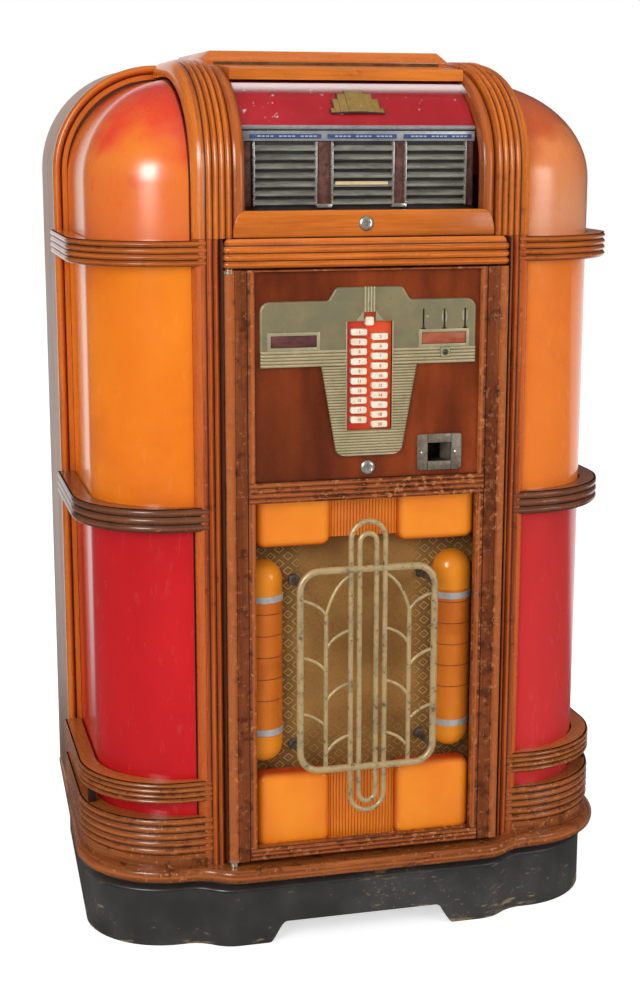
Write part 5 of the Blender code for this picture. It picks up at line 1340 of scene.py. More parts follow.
# Locks: nickel-plated plugs with a domed rim and a slot for the key, in the lid's sill and the
# door's panel.
def make_lock(node, body, name):
    low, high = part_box(node)
    radius = (high.x - low.x) / 2
    middle = (low + high) / 2
    bm = bmesh.new()
    profile = [(0.0, 0.0010), (0.42, 0.0010), (0.46, 0.0004), (0.54, 0.0004), (0.60, 0.0),
               (0.82, 0.0006), (0.97, 0.0022), (1.0, 0.0040), (1.0, high.y - low.y),
               (0.0, high.y - low.y)]
    turned(bm, [(radius * share, y) for share, y in profile], (middle.x, low.y, middle.z), (0, 1, 0))
    plug = put(name, bm, body, lock_nickel)
    bm = bmesh.new()
    slab(bm, (middle.x - radius * 0.10, low.y - 0.002, middle.z - radius * 0.34),
         (middle.x + radius * 0.10, low.y + 0.004, middle.z + radius * 0.34), 0.0003)
    carve(plug, [bm])
    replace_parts(plug, node)


lock_nickel = nickel_finish("lock_nickel", (0.66, 0.63, 0.56), 0.24)
make_lock("lid_lock_plug", "lid_lock", "lid_lock_face")
make_lock("door_lock_plug", "door_lock", "door_lock_face")


# Door: two stiles with a quarter round outside and a bead inside, joined by reeded rails. Behind
# the lower opening a box of stained boards holds the grille plastics. The door turns on two nickel
# pivots set in the left stile. Its lacquer is darker on the flat face of each stile and worn to pale
# scuffs, and its grooves are darkened with painted shade.
door_half = 0.2302
opening_half = 0.1825
door_thickness = 0.0200
cross_rail_height = 0.0445
door_gap = 0.0020
selector_opening_height = 0.3274
middle_rail_height = 0.0328
door_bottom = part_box("door_frame")[0].z + 0.0082
door_top = rail_top - cross_rail_height - door_gap
top_rail_bottom = door_top - 0.0035
middle_rail_top = top_rail_bottom - selector_opening_height
middle_rail_bottom = middle_rail_top - middle_rail_height
bottom_rail_top = door_bottom + 0.0203
pivot_radius = 0.0097
box_half = opening_half + 0.0140
box_low = bottom_rail_top - 0.0118
box_high = middle_rail_bottom + 0.0142
box_back = door_front + 0.0720
stile_groove = 0.0045
panel_face = door_front + 0.0080


def stile_section():
    """Stile from the opening to its outer edge, as (out, x, rise) from the door's front."""
    groove, edge = -stile_groove, opening_half
    points = [(groove, edge, 1), (groove + 0.0012, edge + 0.0006, 1)]
    for i in range(5):
        swell = math.sin(math.pi * (0.25 + 0.75 * i / 4))
        points.append((groove + 0.0006 + 0.0014 * swell, edge + 0.0015 + 0.0085 * i / 4,
                       0.6 + 0.4 * swell))
    points += [(groove, edge + 0.0112, 0.0), (groove, edge + 0.0122, 0.0)]
    for i in range(5):
        swell = math.sin(math.pi * i / 4)
        points.append((-0.0024 + 0.0010 * swell, edge + 0.0130 + 0.0170 * i / 4, 0.72 + 0.12 * swell))
    points += [(-0.0030, edge + 0.0305, 0.05), (-0.0008, edge + 0.0320, 0.9)]
    quarter = arc(door_half - pivot_radius, -pivot_radius - 0.0003, pivot_radius, pivot_radius,
                  math.pi / 2, 0, 8)
    points += [(out, x, 1.0 if i < 6 else 0.7) for i, (x, out) in enumerate(quarter)]
    return points + [(-door_thickness, door_half, 0.6), (-door_thickness, opening_half, 0.6)]


def make_door_frame():
    for side, word in sides:
        bm = bmesh.new()
        upright_moulding(bm, stile_section(), door_front, door_bottom,
                         [("run", (door_top - door_bottom) / 2)] * 2)
        bmesh.ops.scale(bm, vec=(side, 1, 1), verts=bm.verts)
        stile = put(f"door_stile_{word}", bm, "door", door_wood)
    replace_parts(stile, "door_frame")
    for name, low, high, reeds, lap in (("bottom", door_bottom, bottom_rail_top, 3, 0.0098),
                                        ("middle", middle_rail_bottom, middle_rail_top, 4, 0.0098),
                                        ("top", top_rail_bottom, door_top, 1, 0.0008)):
        bm = bmesh.new()
        reach = opening_half + lap
        face = [(out - 0.0003, z, rise) for out, z, rise in reed_section(low, high, reeds, 0.0021)]
        section = face + [(-door_thickness + 0.0002, high, 1), (-door_thickness + 0.0002, low, 1)]
        moulding(bm, section, (-reach, door_front, 0), (1, 0, 0), (0, 0, 1), [("run", 2 * reach)])
        put(f"door_rail_{name}", bm, "door", door_wood)

    bm = bmesh.new()
    outer, front = box_half + 0.0080, door_front + door_thickness - 0.0005
    for side in (-1, 1):
        slab(bm, (min(side * box_half, side * outer), front, box_low - 0.008),
             (max(side * box_half, side * outer), box_back, box_high + 0.008), 0.0005)
    for low, high in ((box_low - 0.008, box_low), (box_high, box_high + 0.008)):
        slab(bm, (-box_half - 0.0005, front, low), (box_half + 0.0005, box_back - 0.0004, high), 0.0004)
    put("grille_box", bm, "door", stained_board)

    bm = bmesh.new()
    place = (pivot_radius - door_half, door_front + pivot_radius + 0.0003, 0)
    for low, high in ((door_bottom - 0.0080, door_bottom + 0.0070),
                      (door_top - 0.0060, door_top + 0.0016)):
        rod(bm, 0.0064, low, high, place, (0, 0, 1), 24)
    ease = 0.0016
    for low, high in ((door_bottom + 0.0001, door_bottom + 0.0055), (door_top - 0.0062, door_top)):
        profile = [(0, low), (pivot_radius - ease, low), (pivot_radius + 0.0002, low + ease),
                   (pivot_radius + 0.0002, high - ease), (pivot_radius - ease, high), (0, high)]
        turned(bm, profile, place, (0, 0, 1), 32)
    put("door_pivots", bm, "door", lock_nickel)
    for side, word in sides:
        x0, x1 = sorted((side * (door_half + 0.0006), side * (pilaster_inner - 0.0001)))
        bm = bmesh.new()
        slab(bm, (x0, door_front + 0.0045, door_bottom),
             (x1, door_front + 0.0330, rail_top - 0.0010), 0.0003)
        put(f"door_stop_{word}", bm, "cabinet", pilaster_wood)


# The third colour is the painted shade in the grooves.
door_wood = lacquered_wood("door_wood", (0.42, 0.110, 0.026), (0.20, 0.042, 0.010),
                           (0.050, 0.017, 0.008), wear=1.3, gloss=0.24,
                           darkening=(opening_half + 0.0125, opening_half + 0.0300))
stained_board = plain_finish("stained_board", (0.050, 0.018, 0.008), (0.125, 0.045, 0.018), 14, 0.45,
                             0.0, 0.3, (1, 1, 6))
make_door_frame()


# Panel behind the buttons: red walnut veneer, figured and polished, darker towards its lower left
# corner. The node itself is shown, with its own cut-outs.
def panel_finish():
    """Red-stained walnut, figured up and down, darker towards its lower left corner."""
    walnut, base, where = new_finish("red_walnut_panel")
    figure = where.noise(5.0, 4.0, 0.6, (2.2, 1.0, 0.8))
    fibre = where.noise(30.0, 5.0, 0.65, (1.0, 1.0, 0.12))
    cloud = where.noise(9.0, 3.0, 0.5)
    mark = where.noise(90.0, 5.0, 0.7)
    streak = (figure * 0.55 + fibre * 0.25 + cloud * 0.20).step(0.34, 0.66)
    color = base.mix(streak, (0.130, 0.020, 0.004), (0.330, 0.056, 0.009))
    corner = (0.0 - where.axis("X") * 1.4 - where.axis("Z") + cloud * 0.10 + 0.95).step(0.0, 0.42)
    color = base.mix(corner * 0.55, color, (0.075, 0.015, 0.005))
    spot = (mark + cloud * 0.25).step(0.86, 0.91)
    color = base.mix(spot * 0.5, color, (0.42, 0.19, 0.09))
    surface(base, {"Coat Weight": 0.4, "Coat Roughness": 0.06, "Specular IOR Level": 0.2},
            Base_Color=color, Roughness=mark * 0.15 + 0.20,
            Normal=bumped(base, fibre * 0.4 + cloud, 0.10, 0.0008))
    return walnut


bpy.data.objects["selector_panel"].material_slots[0].material = panel_finish()


# Escutcheon: one plated die casting with a winged head, five ribs along the foot of its wings and
# a tapered tail of fine ribs. Its edge is bevelled and catches the light. The plating has turned
# to olive and gold, and dirt stays in the grooves. Its raised rims are painted lighter as a highlight.
tail_bottom = middle_rail_top + 0.0369
wing_bottom = tail_bottom + 0.1435
wing_top = wing_bottom + 0.1015
hump_top = wing_top + 0.0205
wing_half = opening_half - 0.0080
neck_half = 0.0780
tail_half = 0.0530
rib_rise = 0.0022
rib_crest = door_front + 0.0003
wing_rib_top = wing_bottom + 0.0260
tail_rib_count = 32
window_half = 0.0365
window_low = tail_bottom + 0.0415
window_high = window_low + 0.1710
notch_half = 0.0095
notch_top = window_high + 0.0150
label_place = wing_half - 0.0530
label_half = 0.0365
label_top = wing_top - 0.0525
label_bottom = label_top - 0.0185
coin_places = [wing_half - 0.0525 + 0.0343 * i for i in (-1, 0, 1)]
reject_x = wing_half - 0.0510
reject_z = wing_bottom + 0.0170
reject_half = 0.0080
slot_high = wing_top - 0.0155
slot_low = slot_high - 0.0260


def eased(corners, steps):
    """Outline through (x, z, radius) corners, with each corner turned into an arc."""
    points = []
    for i, (x, z, radius) in enumerate(corners):
        here = Vector((x, z))
        before = (Vector(corners[i - 1][:2]) - here).normalized()
        after = (Vector(corners[(i + 1) % len(corners)][:2]) - here).normalized()
        if not radius:
            points.append((x, z))
            continue
        corner = before.angle(after)
        centre = here + (before + after).normalized() * (radius / math.sin(corner / 2))
        start = here + before * (radius / math.tan(corner / 2)) - centre
        way = 1 if before.x * after.y - before.y * after.x < 0 else -1
        first = math.atan2(start.y, start.x)
        points += arc(centre.x, centre.y, radius, radius, first, first + way * (math.pi - corner), steps)
    return points


def eased_box(x0, z0, x1, z1, radius, steps):
    return eased([(x0, z0, radius), (x1, z0, radius), (x1, z1, radius), (x0, z1, radius)], steps)


def plated_bronze(name, olive, gold, dirt, groove_share):
    """Worn plating: olive and gold clouds, dull blots, pale specks and dirt in the grooves."""
    bronze, base, where = new_finish(name)
    cloud = where.noise(16.0, 4.0, 0.6)
    blot = where.noise(42.0, 5.0, 0.7, (1, 1, 1), (3, 1, 2))
    fine = where.noise(170.0, 4.0, 0.7)
    sunk = (where.axis("Y") - (rib_crest + 0.0004)).step(0.0, rib_rise) * groove_share
    color = base.mix((cloud * 0.6 + blot * 0.4).step(0.36, 0.64), olive, gold)
    color = base.mix(blot.step(0.56, 0.74) * 0.6, color, shade(olive, 0.55))
    color = base.mix(sunk, color, dirt)
    color = base.mix(fine.step(0.60, 0.75) * 0.35, color, shade(gold, 1.6))
    surface(base, {"Metallic": 0.35}, Base_Color=color, Roughness=blot * 0.3 + fine * 0.1 + 0.22,
            Normal=bumped(base, fine + blot, 0.18, 0.0005))
    return bronze


def ribbed(bm, profile, ease=0.0022):
    """Lofts a ribbed profile of (z, y, half width) across the door, its ends eased to the groove."""
    rear = panel_face - 0.0003
    order = bm.verts.layers.int.get("order") or bm.verts.layers.int.new("order")
    outline = profile + [(profile[-1][0], rear, profile[-1][2]), (profile[0][0], rear, profile[0][2])]
    groove = rib_crest + rib_rise
    row = [bm.verts.new((-half, max(y, groove), z)) for z, y, half in outline]
    for i, vertex in enumerate(row):
        vertex[order] = i
    edges = [bm.edges.new(pair) for pair in zip(row, row[1:] + row[:1])]
    bmesh.ops.contextual_create(bm, geom=edges)
    for side, end in ((-1, 0), (1, 0), (1, 1)):
        grown = bmesh.ops.extrude_edge_only(bm, edges=edges)["geom"]
        edges = edges_in(grown)
        for vertex in verts_in(grown):
            z, y, half = outline[vertex[order]]
            vertex.co = (side * (half - (0 if end else ease)), max(y, groove) if end else y, z)
    bmesh.ops.contextual_create(bm, geom=edges)


def box_cutter(low, high, ease=0.0):
    bm = bmesh.new()
    slab(bm, low, high, ease)
    return bm


def make_escutcheon():
    front, rear = door_front - 0.004, panel_face + 0.003
    profile = []
    foot = tail_bottom + 0.012
    for out, z, _ in reed_section(tail_bottom, wing_bottom - 0.0004, tail_rib_count, rib_rise, 4):
        half = tail_half + (neck_half - tail_half) * (z - tail_bottom) / (wing_bottom - tail_bottom)
        if z < foot:
            half -= 0.016 * (1 - math.sqrt(max(0.0, 1 - ((foot - z) / 0.012) ** 2)))
        profile.append((z, rib_crest - out, half))
    bm = bmesh.new()
    ribbed(bm, profile)
    ribbed(bm, [(z, rib_crest - out, wing_half)
                for out, z, _ in reed_section(wing_bottom, wing_rib_top, 5, rib_rise, 6)])
    ribs = put("escutcheon_ribs", bm, "door", tail_bronze)
    window = ((-window_half, front, window_low), (window_half, rear, window_high))
    x, z, half = reject_x, reject_z, reject_half
    carve(ribs, [box_cutter(*window),
                 box_cutter((x - half, front, z - half), (x + half, rear, z + half))])

    r = 0.0120
    right = [(wing_half, wing_rib_top - 0.0003, 0), (wing_half, wing_top, r * 1.3),
             (0.0660, wing_top, r * 0.6), (0.0535, hump_top, r * 0.75)]
    left = [(-x, z, radius) for x, z, radius in reversed(right)]
    bm = bmesh.new()
    outline = eased(right + left, 7)
    face = door_front + 0.0020
    extruded(bm, [(x, face, z) for x, z in outline], (0, panel_face - 0.0003 - face, 0))
    rims = [edge for edge in bm.edges if all(abs(v.co.y - face) < 0.0001 for v in edge.verts)
            and not all(v.co.z < wing_rib_top for v in edge.verts)]
    soften(bm, rims, 0.0040, 4, 0.6)
    head = put("escutcheon_head", bm, "door", head_bronze, 24)
    cutters = [box_cutter(*window),
               box_cutter((-notch_half, front, window_high - 0.001), (notch_half, rear, notch_top))]
    for side in (-1, 1):
        cutters.append(box_cutter((side * label_place - label_half, front, label_bottom),
                                  (side * label_place + label_half, face + 0.0022, label_top)))
    for x in coin_places:
        cutters.append(box_cutter((x - 0.0014, front, slot_low), (x + 0.0014, rear, slot_high), 0.0005))
    carve(head, cutters)
    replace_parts(head, "escutcheon")

    bm = bmesh.new()
    for side in (-1, 1):
        x, outer, rim = side * label_place, label_half + 0.0052, 0.0050
        left, right = x - label_half, x + label_half
        low, high = label_bottom - rim, label_top + rim
        for x0, z0, x1, z1 in ((x - outer, low, left, high), (right, low, x + outer, high),
                               (left, low, right, label_bottom), (left, label_top, right, high)):
            slab(bm, (x0, face - 0.0009, z0), (x1, face + 0.0004, z1), 0.0005)
    for side in (-1, 1):
        x = side * (window_half + 0.0010)
        slab(bm, (x - 0.0010, face - 0.0014, window_low - 0.001),
             (x + 0.0010, rear - 0.004, window_high), 0.0005)
        x, foot = side * (notch_half + 0.0003), window_high + 0.0004
        plate(bm, [(x, foot), (x + side * 0.0125, foot), (x, notch_top + 0.001)],
              face - 0.0016, face + 0.001, 0.0006, 2)
    put("escutcheon_rims", bm, "door", highlit_rim_bronze)

    bm = bmesh.new()
    section = reed_section(-notch_half, notch_half, 4, rib_rise * 1.3)
    section += [(-0.0050, notch_half, 1), (-0.0050, -notch_half, 1)]
    upright_moulding(bm, section, door_front - 0.0006, notch_top - 0.0006,
                     [("run", hump_top - notch_top - 0.0015), ("turn", 0.0034, math.radians(76))])
    put("escutcheon_ornament", bm, "door", highlit_rim_bronze)

    for side, word, finish in ((-1, "left", name_card), (1, "right", coin_card)):
        bm = bmesh.new()
        x = side * label_place
        slab(bm, (x - label_half + 0.0004, face + 0.0010, label_bottom + 0.0004),
             (x + label_half - 0.0004, face + 0.0019, label_top - 0.0004), 0.0003)
        put(f"label_card_{word}", bm, "door", finish)

    bm = bmesh.new()
    for x in coin_places:
        slab(bm, (x - 0.0038, face - 0.0007, slot_low - 0.0072),
             (x + 0.0038, face + 0.0005, slot_low - 0.0040), 0.0005)
        slab(bm, (x - 0.0018, face - 0.0005, slot_low - 0.0042),
             (x + 0.0018, face + 0.0004, slot_low + 0.0006), 0.0004)
    put("coin_slot_feet", bm, "door", dark_bronze)
    bm = bmesh.new()
    middle = (slot_low + slot_high) / 2
    turned(bm, [(0, -0.0008), (0.0018, -0.0007), (0.0025, 0.0002), (0, 0.0002)],
           (coin_places[0] + 0.0062, face, middle + 0.001), (0, 1, 0), 16)
    for x, shift in ((coin_places[1], 0.0), (coin_places[2], 0.0012)):
        for side in (-1, 1):
            lobe = [(x + side * (0.0019 + 0.0028 * math.sin(math.pi * i / 8)),
                     middle + 0.0100 * (i / 4 - 1) + shift) for i in range(9)]
            plate(bm, lobe, face - 0.0006, face + 0.0004, 0.0003, 1)
    put("coin_slot_marks", bm, "door", pale_bronze)


tail_bronze = plated_bronze("ribbed_bronze", (0.52, 0.44, 0.25), (0.68, 0.56, 0.34),
                            (0.085, 0.062, 0.026), 0.90)
head_bronze = plated_bronze("olive_bronze", (0.250, 0.225, 0.130), (0.34, 0.275, 0.135),
                            (0.13, 0.11, 0.06), 0.0)
# A lighter copy of the plating for the raised rims: a painted highlight.
highlit_rim_bronze = plated_bronze("highlit_rim_bronze", (0.40, 0.37, 0.22), (0.56, 0.48, 0.28),
                           (0.10, 0.08, 0.04), 0.0)
dark_bronze = plain_finish("dark_bronze", (0.020, 0.016, 0.007), (0.070, 0.055, 0.025), 120, 0.45, 0.3)
pale_bronze = plain_finish("pale_bronze", (0.40, 0.38, 0.27), (0.58, 0.55, 0.42), 110, 0.4, 0.4)
name_card = plain_finish("dark_red_card", (0.060, 0.016, 0.018), (0.190, 0.040, 0.036), 90, 0.5, 0.0,
                         0.3, (0.4, 1, 1.4))
coin_card = plain_finish("orange_red_card", (0.33, 0.050, 0.018), (0.47, 0.125, 0.045), 34, 0.45, 0.0,
                         0.2, (0.5, 1, 1))
make_escutcheon()


# Button plate: sheet steel enamelled bright red, set back behind the escutcheon, with a hole for
# each button and a case for the switches behind it.
plate_face = door_front + 0.0095
plate_half = window_half + 0.0015
plate_low = window_low - 0.0030
plate_high = notch_top + 0.0030
switch_rear = plate_face + 0.0220
hole_gap = 0.0007


def bright_enamel():
    """Bright red enamel, warmer towards the right, with small dull specks of wear and a painted glow."""
    enamel, base, where = new_finish("bright_red_enamel")
    cloud = where.noise(30.0, 4.0, 0.6)
    fine = where.noise(200.0, 4.0, 0.7)
    warm = (where.axis("X") * 9.0 + cloud * 0.5).step(-0.2, 0.6)
    color = base.mix(warm, (0.62, 0.020, 0.010), (0.82, 0.085, 0.014))
    color = base.mix((fine + cloud * 0.3).step(0.80, 0.88) * 0.6, color, (0.30, 0.05, 0.03))
    # Emission in the surface colour is a painted glow.
    surface(base, {"Coat Weight": 0.5, "Coat Roughness": 0.1, "Emission Strength": 0.14},
            Base_Color=color, Emission_Color=color, Roughness=fine * 0.2 + 0.24)
    return enamel


def cap_bounds(number):
    """Corners of a button's cap, a little inside its node on every side."""
    low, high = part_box(f"selector_button_{number:02d}")
    trim = Vector(((high.x - low.x) * 0.045, 0, (high.z - low.z) * 0.09))
    return low + trim, high - trim


def make_button_plate(finish):
    bm = bmesh.new()
    slab(bm, (-plate_half, plate_face, plate_low), (plate_half, plate_face + 0.0030, plate_high))
    sheet = put("button_plate_sheet", bm, "door", finish)
    cutters = []
    for number in range(1, 21):
        low, high = cap_bounds(number)
        outline = eased_box(low.x - hole_gap, low.z - hole_gap, high.x + hole_gap, high.z + hole_gap,
                            0.003, 3)
        bm = bmesh.new()
        extruded(bm, [(x, plate_face - 0.002, z) for x, z in outline], (0, 0.008, 0))
        cutters.append(bm)
    low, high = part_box("reset_button")
    cutters.append(box_cutter((low.x - 0.0006, plate_face - 0.002, low.z - 0.0006),
                              (high.x + 0.0006, plate_face + 0.006, high.z + 0.0006)))
    carve(sheet, cutters)
    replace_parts(sheet, "button_plate")
    bm = bmesh.new()
    half, wall = plate_half - 0.0002, 0.0025
    start, rear = plate_face + 0.0031, switch_rear
    low, high = plate_low + 0.0002, plate_high - 0.0002
    slab(bm, (-half, start, low), (wall - half, rear, high))
    slab(bm, (half - wall, start, low), (half, rear, high))
    slab(bm, (-half, start, low), (half, rear, plate_low + wall))
    slab(bm, (-half, start, plate_high - wall), (half, rear, high))
    slab(bm, (-half, rear - wall, low), (half, rear, high), 0.0004)
    put("switch_case", bm, "door", dark_bronze)


make_button_plate(bright_enamel())


# Selector buttons: twenty ivory caps, slightly cushioned and yellowed in patches, each with its
# number stamped in brown. Every cap sits a little differently in its hole.
def ivory_finish():
    """Yellowed ivory plastic of the button caps, with brown specks of dirt and a painted glow."""
    ivory, base, where = new_finish("ivory_caps")
    cloud = where.noise(55.0, 4.0, 0.6)
    fine = where.noise(260.0, 3.0, 0.6)
    color = base.mix(cloud.step(0.35, 0.7), (0.88, 0.82, 0.68), (0.80, 0.66, 0.44))
    color = base.mix((fine + cloud * 0.3).step(0.82, 0.92) * 0.5, color, (0.45, 0.22, 0.10))
    # Emission in the surface colour is a painted glow.
    surface(base, {"Coat Weight": 0.5, "Coat Roughness": 0.08, "Emission Strength": 0.05},
            Base_Color=color, Emission_Color=color, Roughness=cloud * 0.15 + 0.22,
            Normal=bumped(base, cloud, 0.1, 0.0006))
    return ivory


def add_curve(bm, curve):
    """Adds the mesh of a text or of a round bar to a bmesh."""
    holder = bpy.data.objects.new("curve", curve)
    bpy.context.scene.collection.objects.link(holder)
    bpy.context.view_layer.update()
    graph = bpy.context.evaluated_depsgraph_get()
    mesh = bpy.data.meshes.new_from_object(holder.evaluated_get(graph))
    bpy.data.objects.remove(holder)
    bm.from_mesh(mesh)
    bpy.data.meshes.remove(mesh)


def make_button(number):
    low, high = cap_bounds(number)
    middle, half = (low + high) / 2, (high - low) / 2
    bm = bmesh.new()
    plate(bm, eased_box(-half.x, -half.z, half.x, half.z, 0.0028, 4), 0.0, high.y - low.y, 0.0014, 4)
    tilt = math.radians(1.3 * math.sin(number * 2.4) + 0.3)
    spot = Matrix.Translation((middle.x, low.y, middle.z)) @ Matrix.Rotation(tilt, 4, "Y")
    bmesh.ops.transform(bm, matrix=spot, verts=bm.verts)
    body = f"button_{number:02d}"
    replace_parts(put(f"button_cap_{number:02d}", bm, body, ivory_caps, 40),
                f"selector_button_{number:02d}")
    text = bpy.data.curves.new("number", "FONT")
    text.body = str(number)
    text.size = 0.0064
    text.offset = 0.00022
    text.extrude = 0.00008
    text.align_x = "CENTER"
    text.align_y = "CENTER"
    bm = bmesh.new()
    add_curve(bm, text)
    stand = Matrix.Translation((0.0006, -0.00002, 0)) @ Matrix.Rotation(math.pi / 2, 4, "X")
    bmesh.ops.transform(bm, matrix=spot @ stand, verts=bm.verts)
    put(f"button_number_{number:02d}", bm, body, number_ink)


ivory_caps = ivory_finish()
number_ink = plain_finish("brown_ink", (0.46, 0.085, 0.020), (0.62, 0.160, 0.045), 200, 0.5)
for number in range(1, 21):
    make_button(number)


# Reset button above the twenty, and the coin reject button in its square boss over the ribs.
def make_small_buttons():
    low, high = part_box("reset_button")
    half, middle = (high.x - low.x) / 2, (low + high) / 2
    bm = bmesh.new()
    plate(bm, eased_box(middle.x - half, middle.z - half, middle.x + half, middle.z + half, 0.003, 4),
          low.y, high.y, 0.0022, 4)
    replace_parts(put("reset_cap", bm, "reset", ivory_caps, 40), "reset_button")

    low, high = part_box("coin_reject_button")
    half, middle = (high.x - low.x) / 2, (low + high) / 2
    bm = bmesh.new()
    plate(bm, eased_box(middle.x - half, middle.z - half, middle.x + half, middle.z + half, 0.0022, 3),
          low.y, high.y, 0.0012, 2)
    boss = put("reject_boss", bm, "coin_reject", highlit_rim_bronze)
    bm = bmesh.new()
    rod(bm, half * 0.66, -0.002, 0.003, (middle.x, low.y, middle.z), (0, 1, 0), 28)
    carve(boss, [bm])
    bm = bmesh.new()
    turned(bm, [(0, 0.0008), (half * 0.38, 0.0010), (half * 0.56, 0.0020), (half * 0.6, 0.0032),
                (0, 0.0032)], (middle.x, low.y, middle.z), (0, 1, 0), 28)
    put("reject_stud", bm, "coin_reject", worn_stud)
    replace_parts(boss, "coin_reject_button")


worn_stud = plain_finish("worn_stud", (0.050, 0.036, 0.028), (0.20, 0.15, 0.12), 90, 0.4, 0.5)
make_small_buttons()


# Coin unit: an aged pewter frame in three strips round the coin return cup, held by two screws,
# with the cup and the coin chute of sheet steel behind the panel.
def make_coin_unit():
    unit_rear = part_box("coin_unit")[1].y
    cup_x, cup_z = opening_half - 0.0645, middle_rail_top + 0.0374
    half_x, half_z, hole_x, hole_z = 0.0370, 0.0290, 0.0190, 0.0150
    face, rear = panel_face - 0.0043, panel_face - 0.0003
    seam = hole_x + 0.0006
    bm = bmesh.new()
    for side in (-1, 1):
        corners = [(side * seam, -half_z, 0.0006), (side * half_x, -half_z, 0.0050),
                   (side * half_x, half_z, 0.0050), (side * seam, half_z, 0.0006)]
        plate(bm, [(cup_x + x, cup_z + z) for x, z in eased(corners, 4)], face, rear, 0.0010, 2)
        left, right = cup_x - hole_x - 0.0001, cup_x + hole_x + 0.0001
        near, far = cup_z + side * hole_z, cup_z + side * half_z
        plate(bm, [(left, near), (right, near), (right, far), (left, far)],
              face + 0.0004, rear, 0.0006, 2)
    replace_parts(put("coin_return_frame", bm, "door", pewter), "coin_unit")
    heads, slots = bmesh.new(), []
    for side, turn in ((-1, 0.5), (1, 1.1)):
        place = Vector((cup_x + side * (half_x + hole_x) / 2, face, cup_z - 0.001))
        turned(heads, [(0, -0.0010), (0.0024, -0.0008), (0.0038, 0.0003), (0.0038, 0.001), (0, 0.001)],
               place, (0, 1, 0), 20)
        bm = box_cutter((-0.0042, -0.0014, -0.0004), (0.0042, -0.0005, 0.0004))
        bmesh.ops.transform(bm, matrix=Matrix.Translation(place) @ Matrix.Rotation(turn, 4, "Y"),
                            verts=bm.verts)
        slots.append(bm)
    carve(put("coin_frame_screws", heads, "door", lock_nickel), slots)

    wall = 0.0026
    bm = bmesh.new()
    for side in (-1, 1):
        x0, x1 = sorted((cup_x + side * hole_x, cup_x + side * (hole_x + wall)))
        slab(bm, (x0, rear, cup_z - hole_z - wall), (x1, unit_rear, cup_z + hole_z + wall), 0.0003)
        z0, z1 = sorted((cup_z + side * hole_z, cup_z + side * (hole_z + wall)))
        slab(bm, (cup_x - hole_x, rear, z0), (cup_x + hole_x, unit_rear, z1), 0.0003)
    slab(bm, (cup_x - hole_x, unit_rear - 0.004, cup_z - hole_z),
         (cup_x + hole_x, unit_rear, cup_z + hole_z))
    put("coin_cup", bm, "door", dark_bronze)
    bm = bmesh.new()
    x, foot = cup_x + hole_x - 0.0004, cup_z - hole_z + 0.0003
    extruded(bm, [(x, rear + 0.001, foot), (x, rear + 0.024, foot), (x - 0.0091, rear + 0.024, foot)],
             (0, 0, 2 * hole_z - 0.0006))
    put("coin_cup_guide", bm, "door", pewter)

    start, chute_x, chute_half = panel_face + 0.0103, coin_places[1], 0.0365
    bm = bmesh.new()
    slab(bm, (chute_x - chute_half, start, cup_z - half_z + 0.0065),
         (chute_x + chute_half, unit_rear - 0.0004, slot_high + 0.0055), 0.001)
    chute = put("coin_chute", bm, "door", sheet_steel)
    cutters = [box_cutter((x - 0.0016, start - 0.001, slot_low - 0.001),
                          (x + 0.0016, start + 0.020, slot_high + 0.001)) for x in coin_places]
    cutters.append(box_cutter((cup_x - hole_x - wall, start - 0.001, cup_z - hole_z - wall),
                              (cup_x + hole_x + wall, unit_rear + 0.001, cup_z + hole_z + wall)))
    carve(chute, cutters)
    bm = bmesh.new()
    for share in (0.80, 0.52, 0.24):
        level = cup_z + (slot_high - cup_z) * share
        slab(bm, (chute_x - chute_half - 0.0003, start + 0.004, level - 0.0006),
             (chute_x + chute_half + 0.0003, unit_rear - 0.0002, level + 0.0006))
    put("coin_chute_seams", bm, "door", dark_bronze)


pewter = plain_finish("aged_pewter", (0.200, 0.160, 0.115), (0.42, 0.36, 0.27), 45, 0.42, 0.6, 0.4)
sheet_steel = plain_finish("sheet_steel", (0.24, 0.25, 0.25), (0.42, 0.42, 0.41), 26, 0.42, 0.85, 0.15,
                           (1, 1, 0.3))
make_coin_unit()


# Grille cloth: a board covered in gold and brown brocade woven with rows of diamonds. It has faded
# in the middle, behind the grille's open centre, and kept its pattern at the sides and the bottom.
cloth_front = door_front + 0.0620


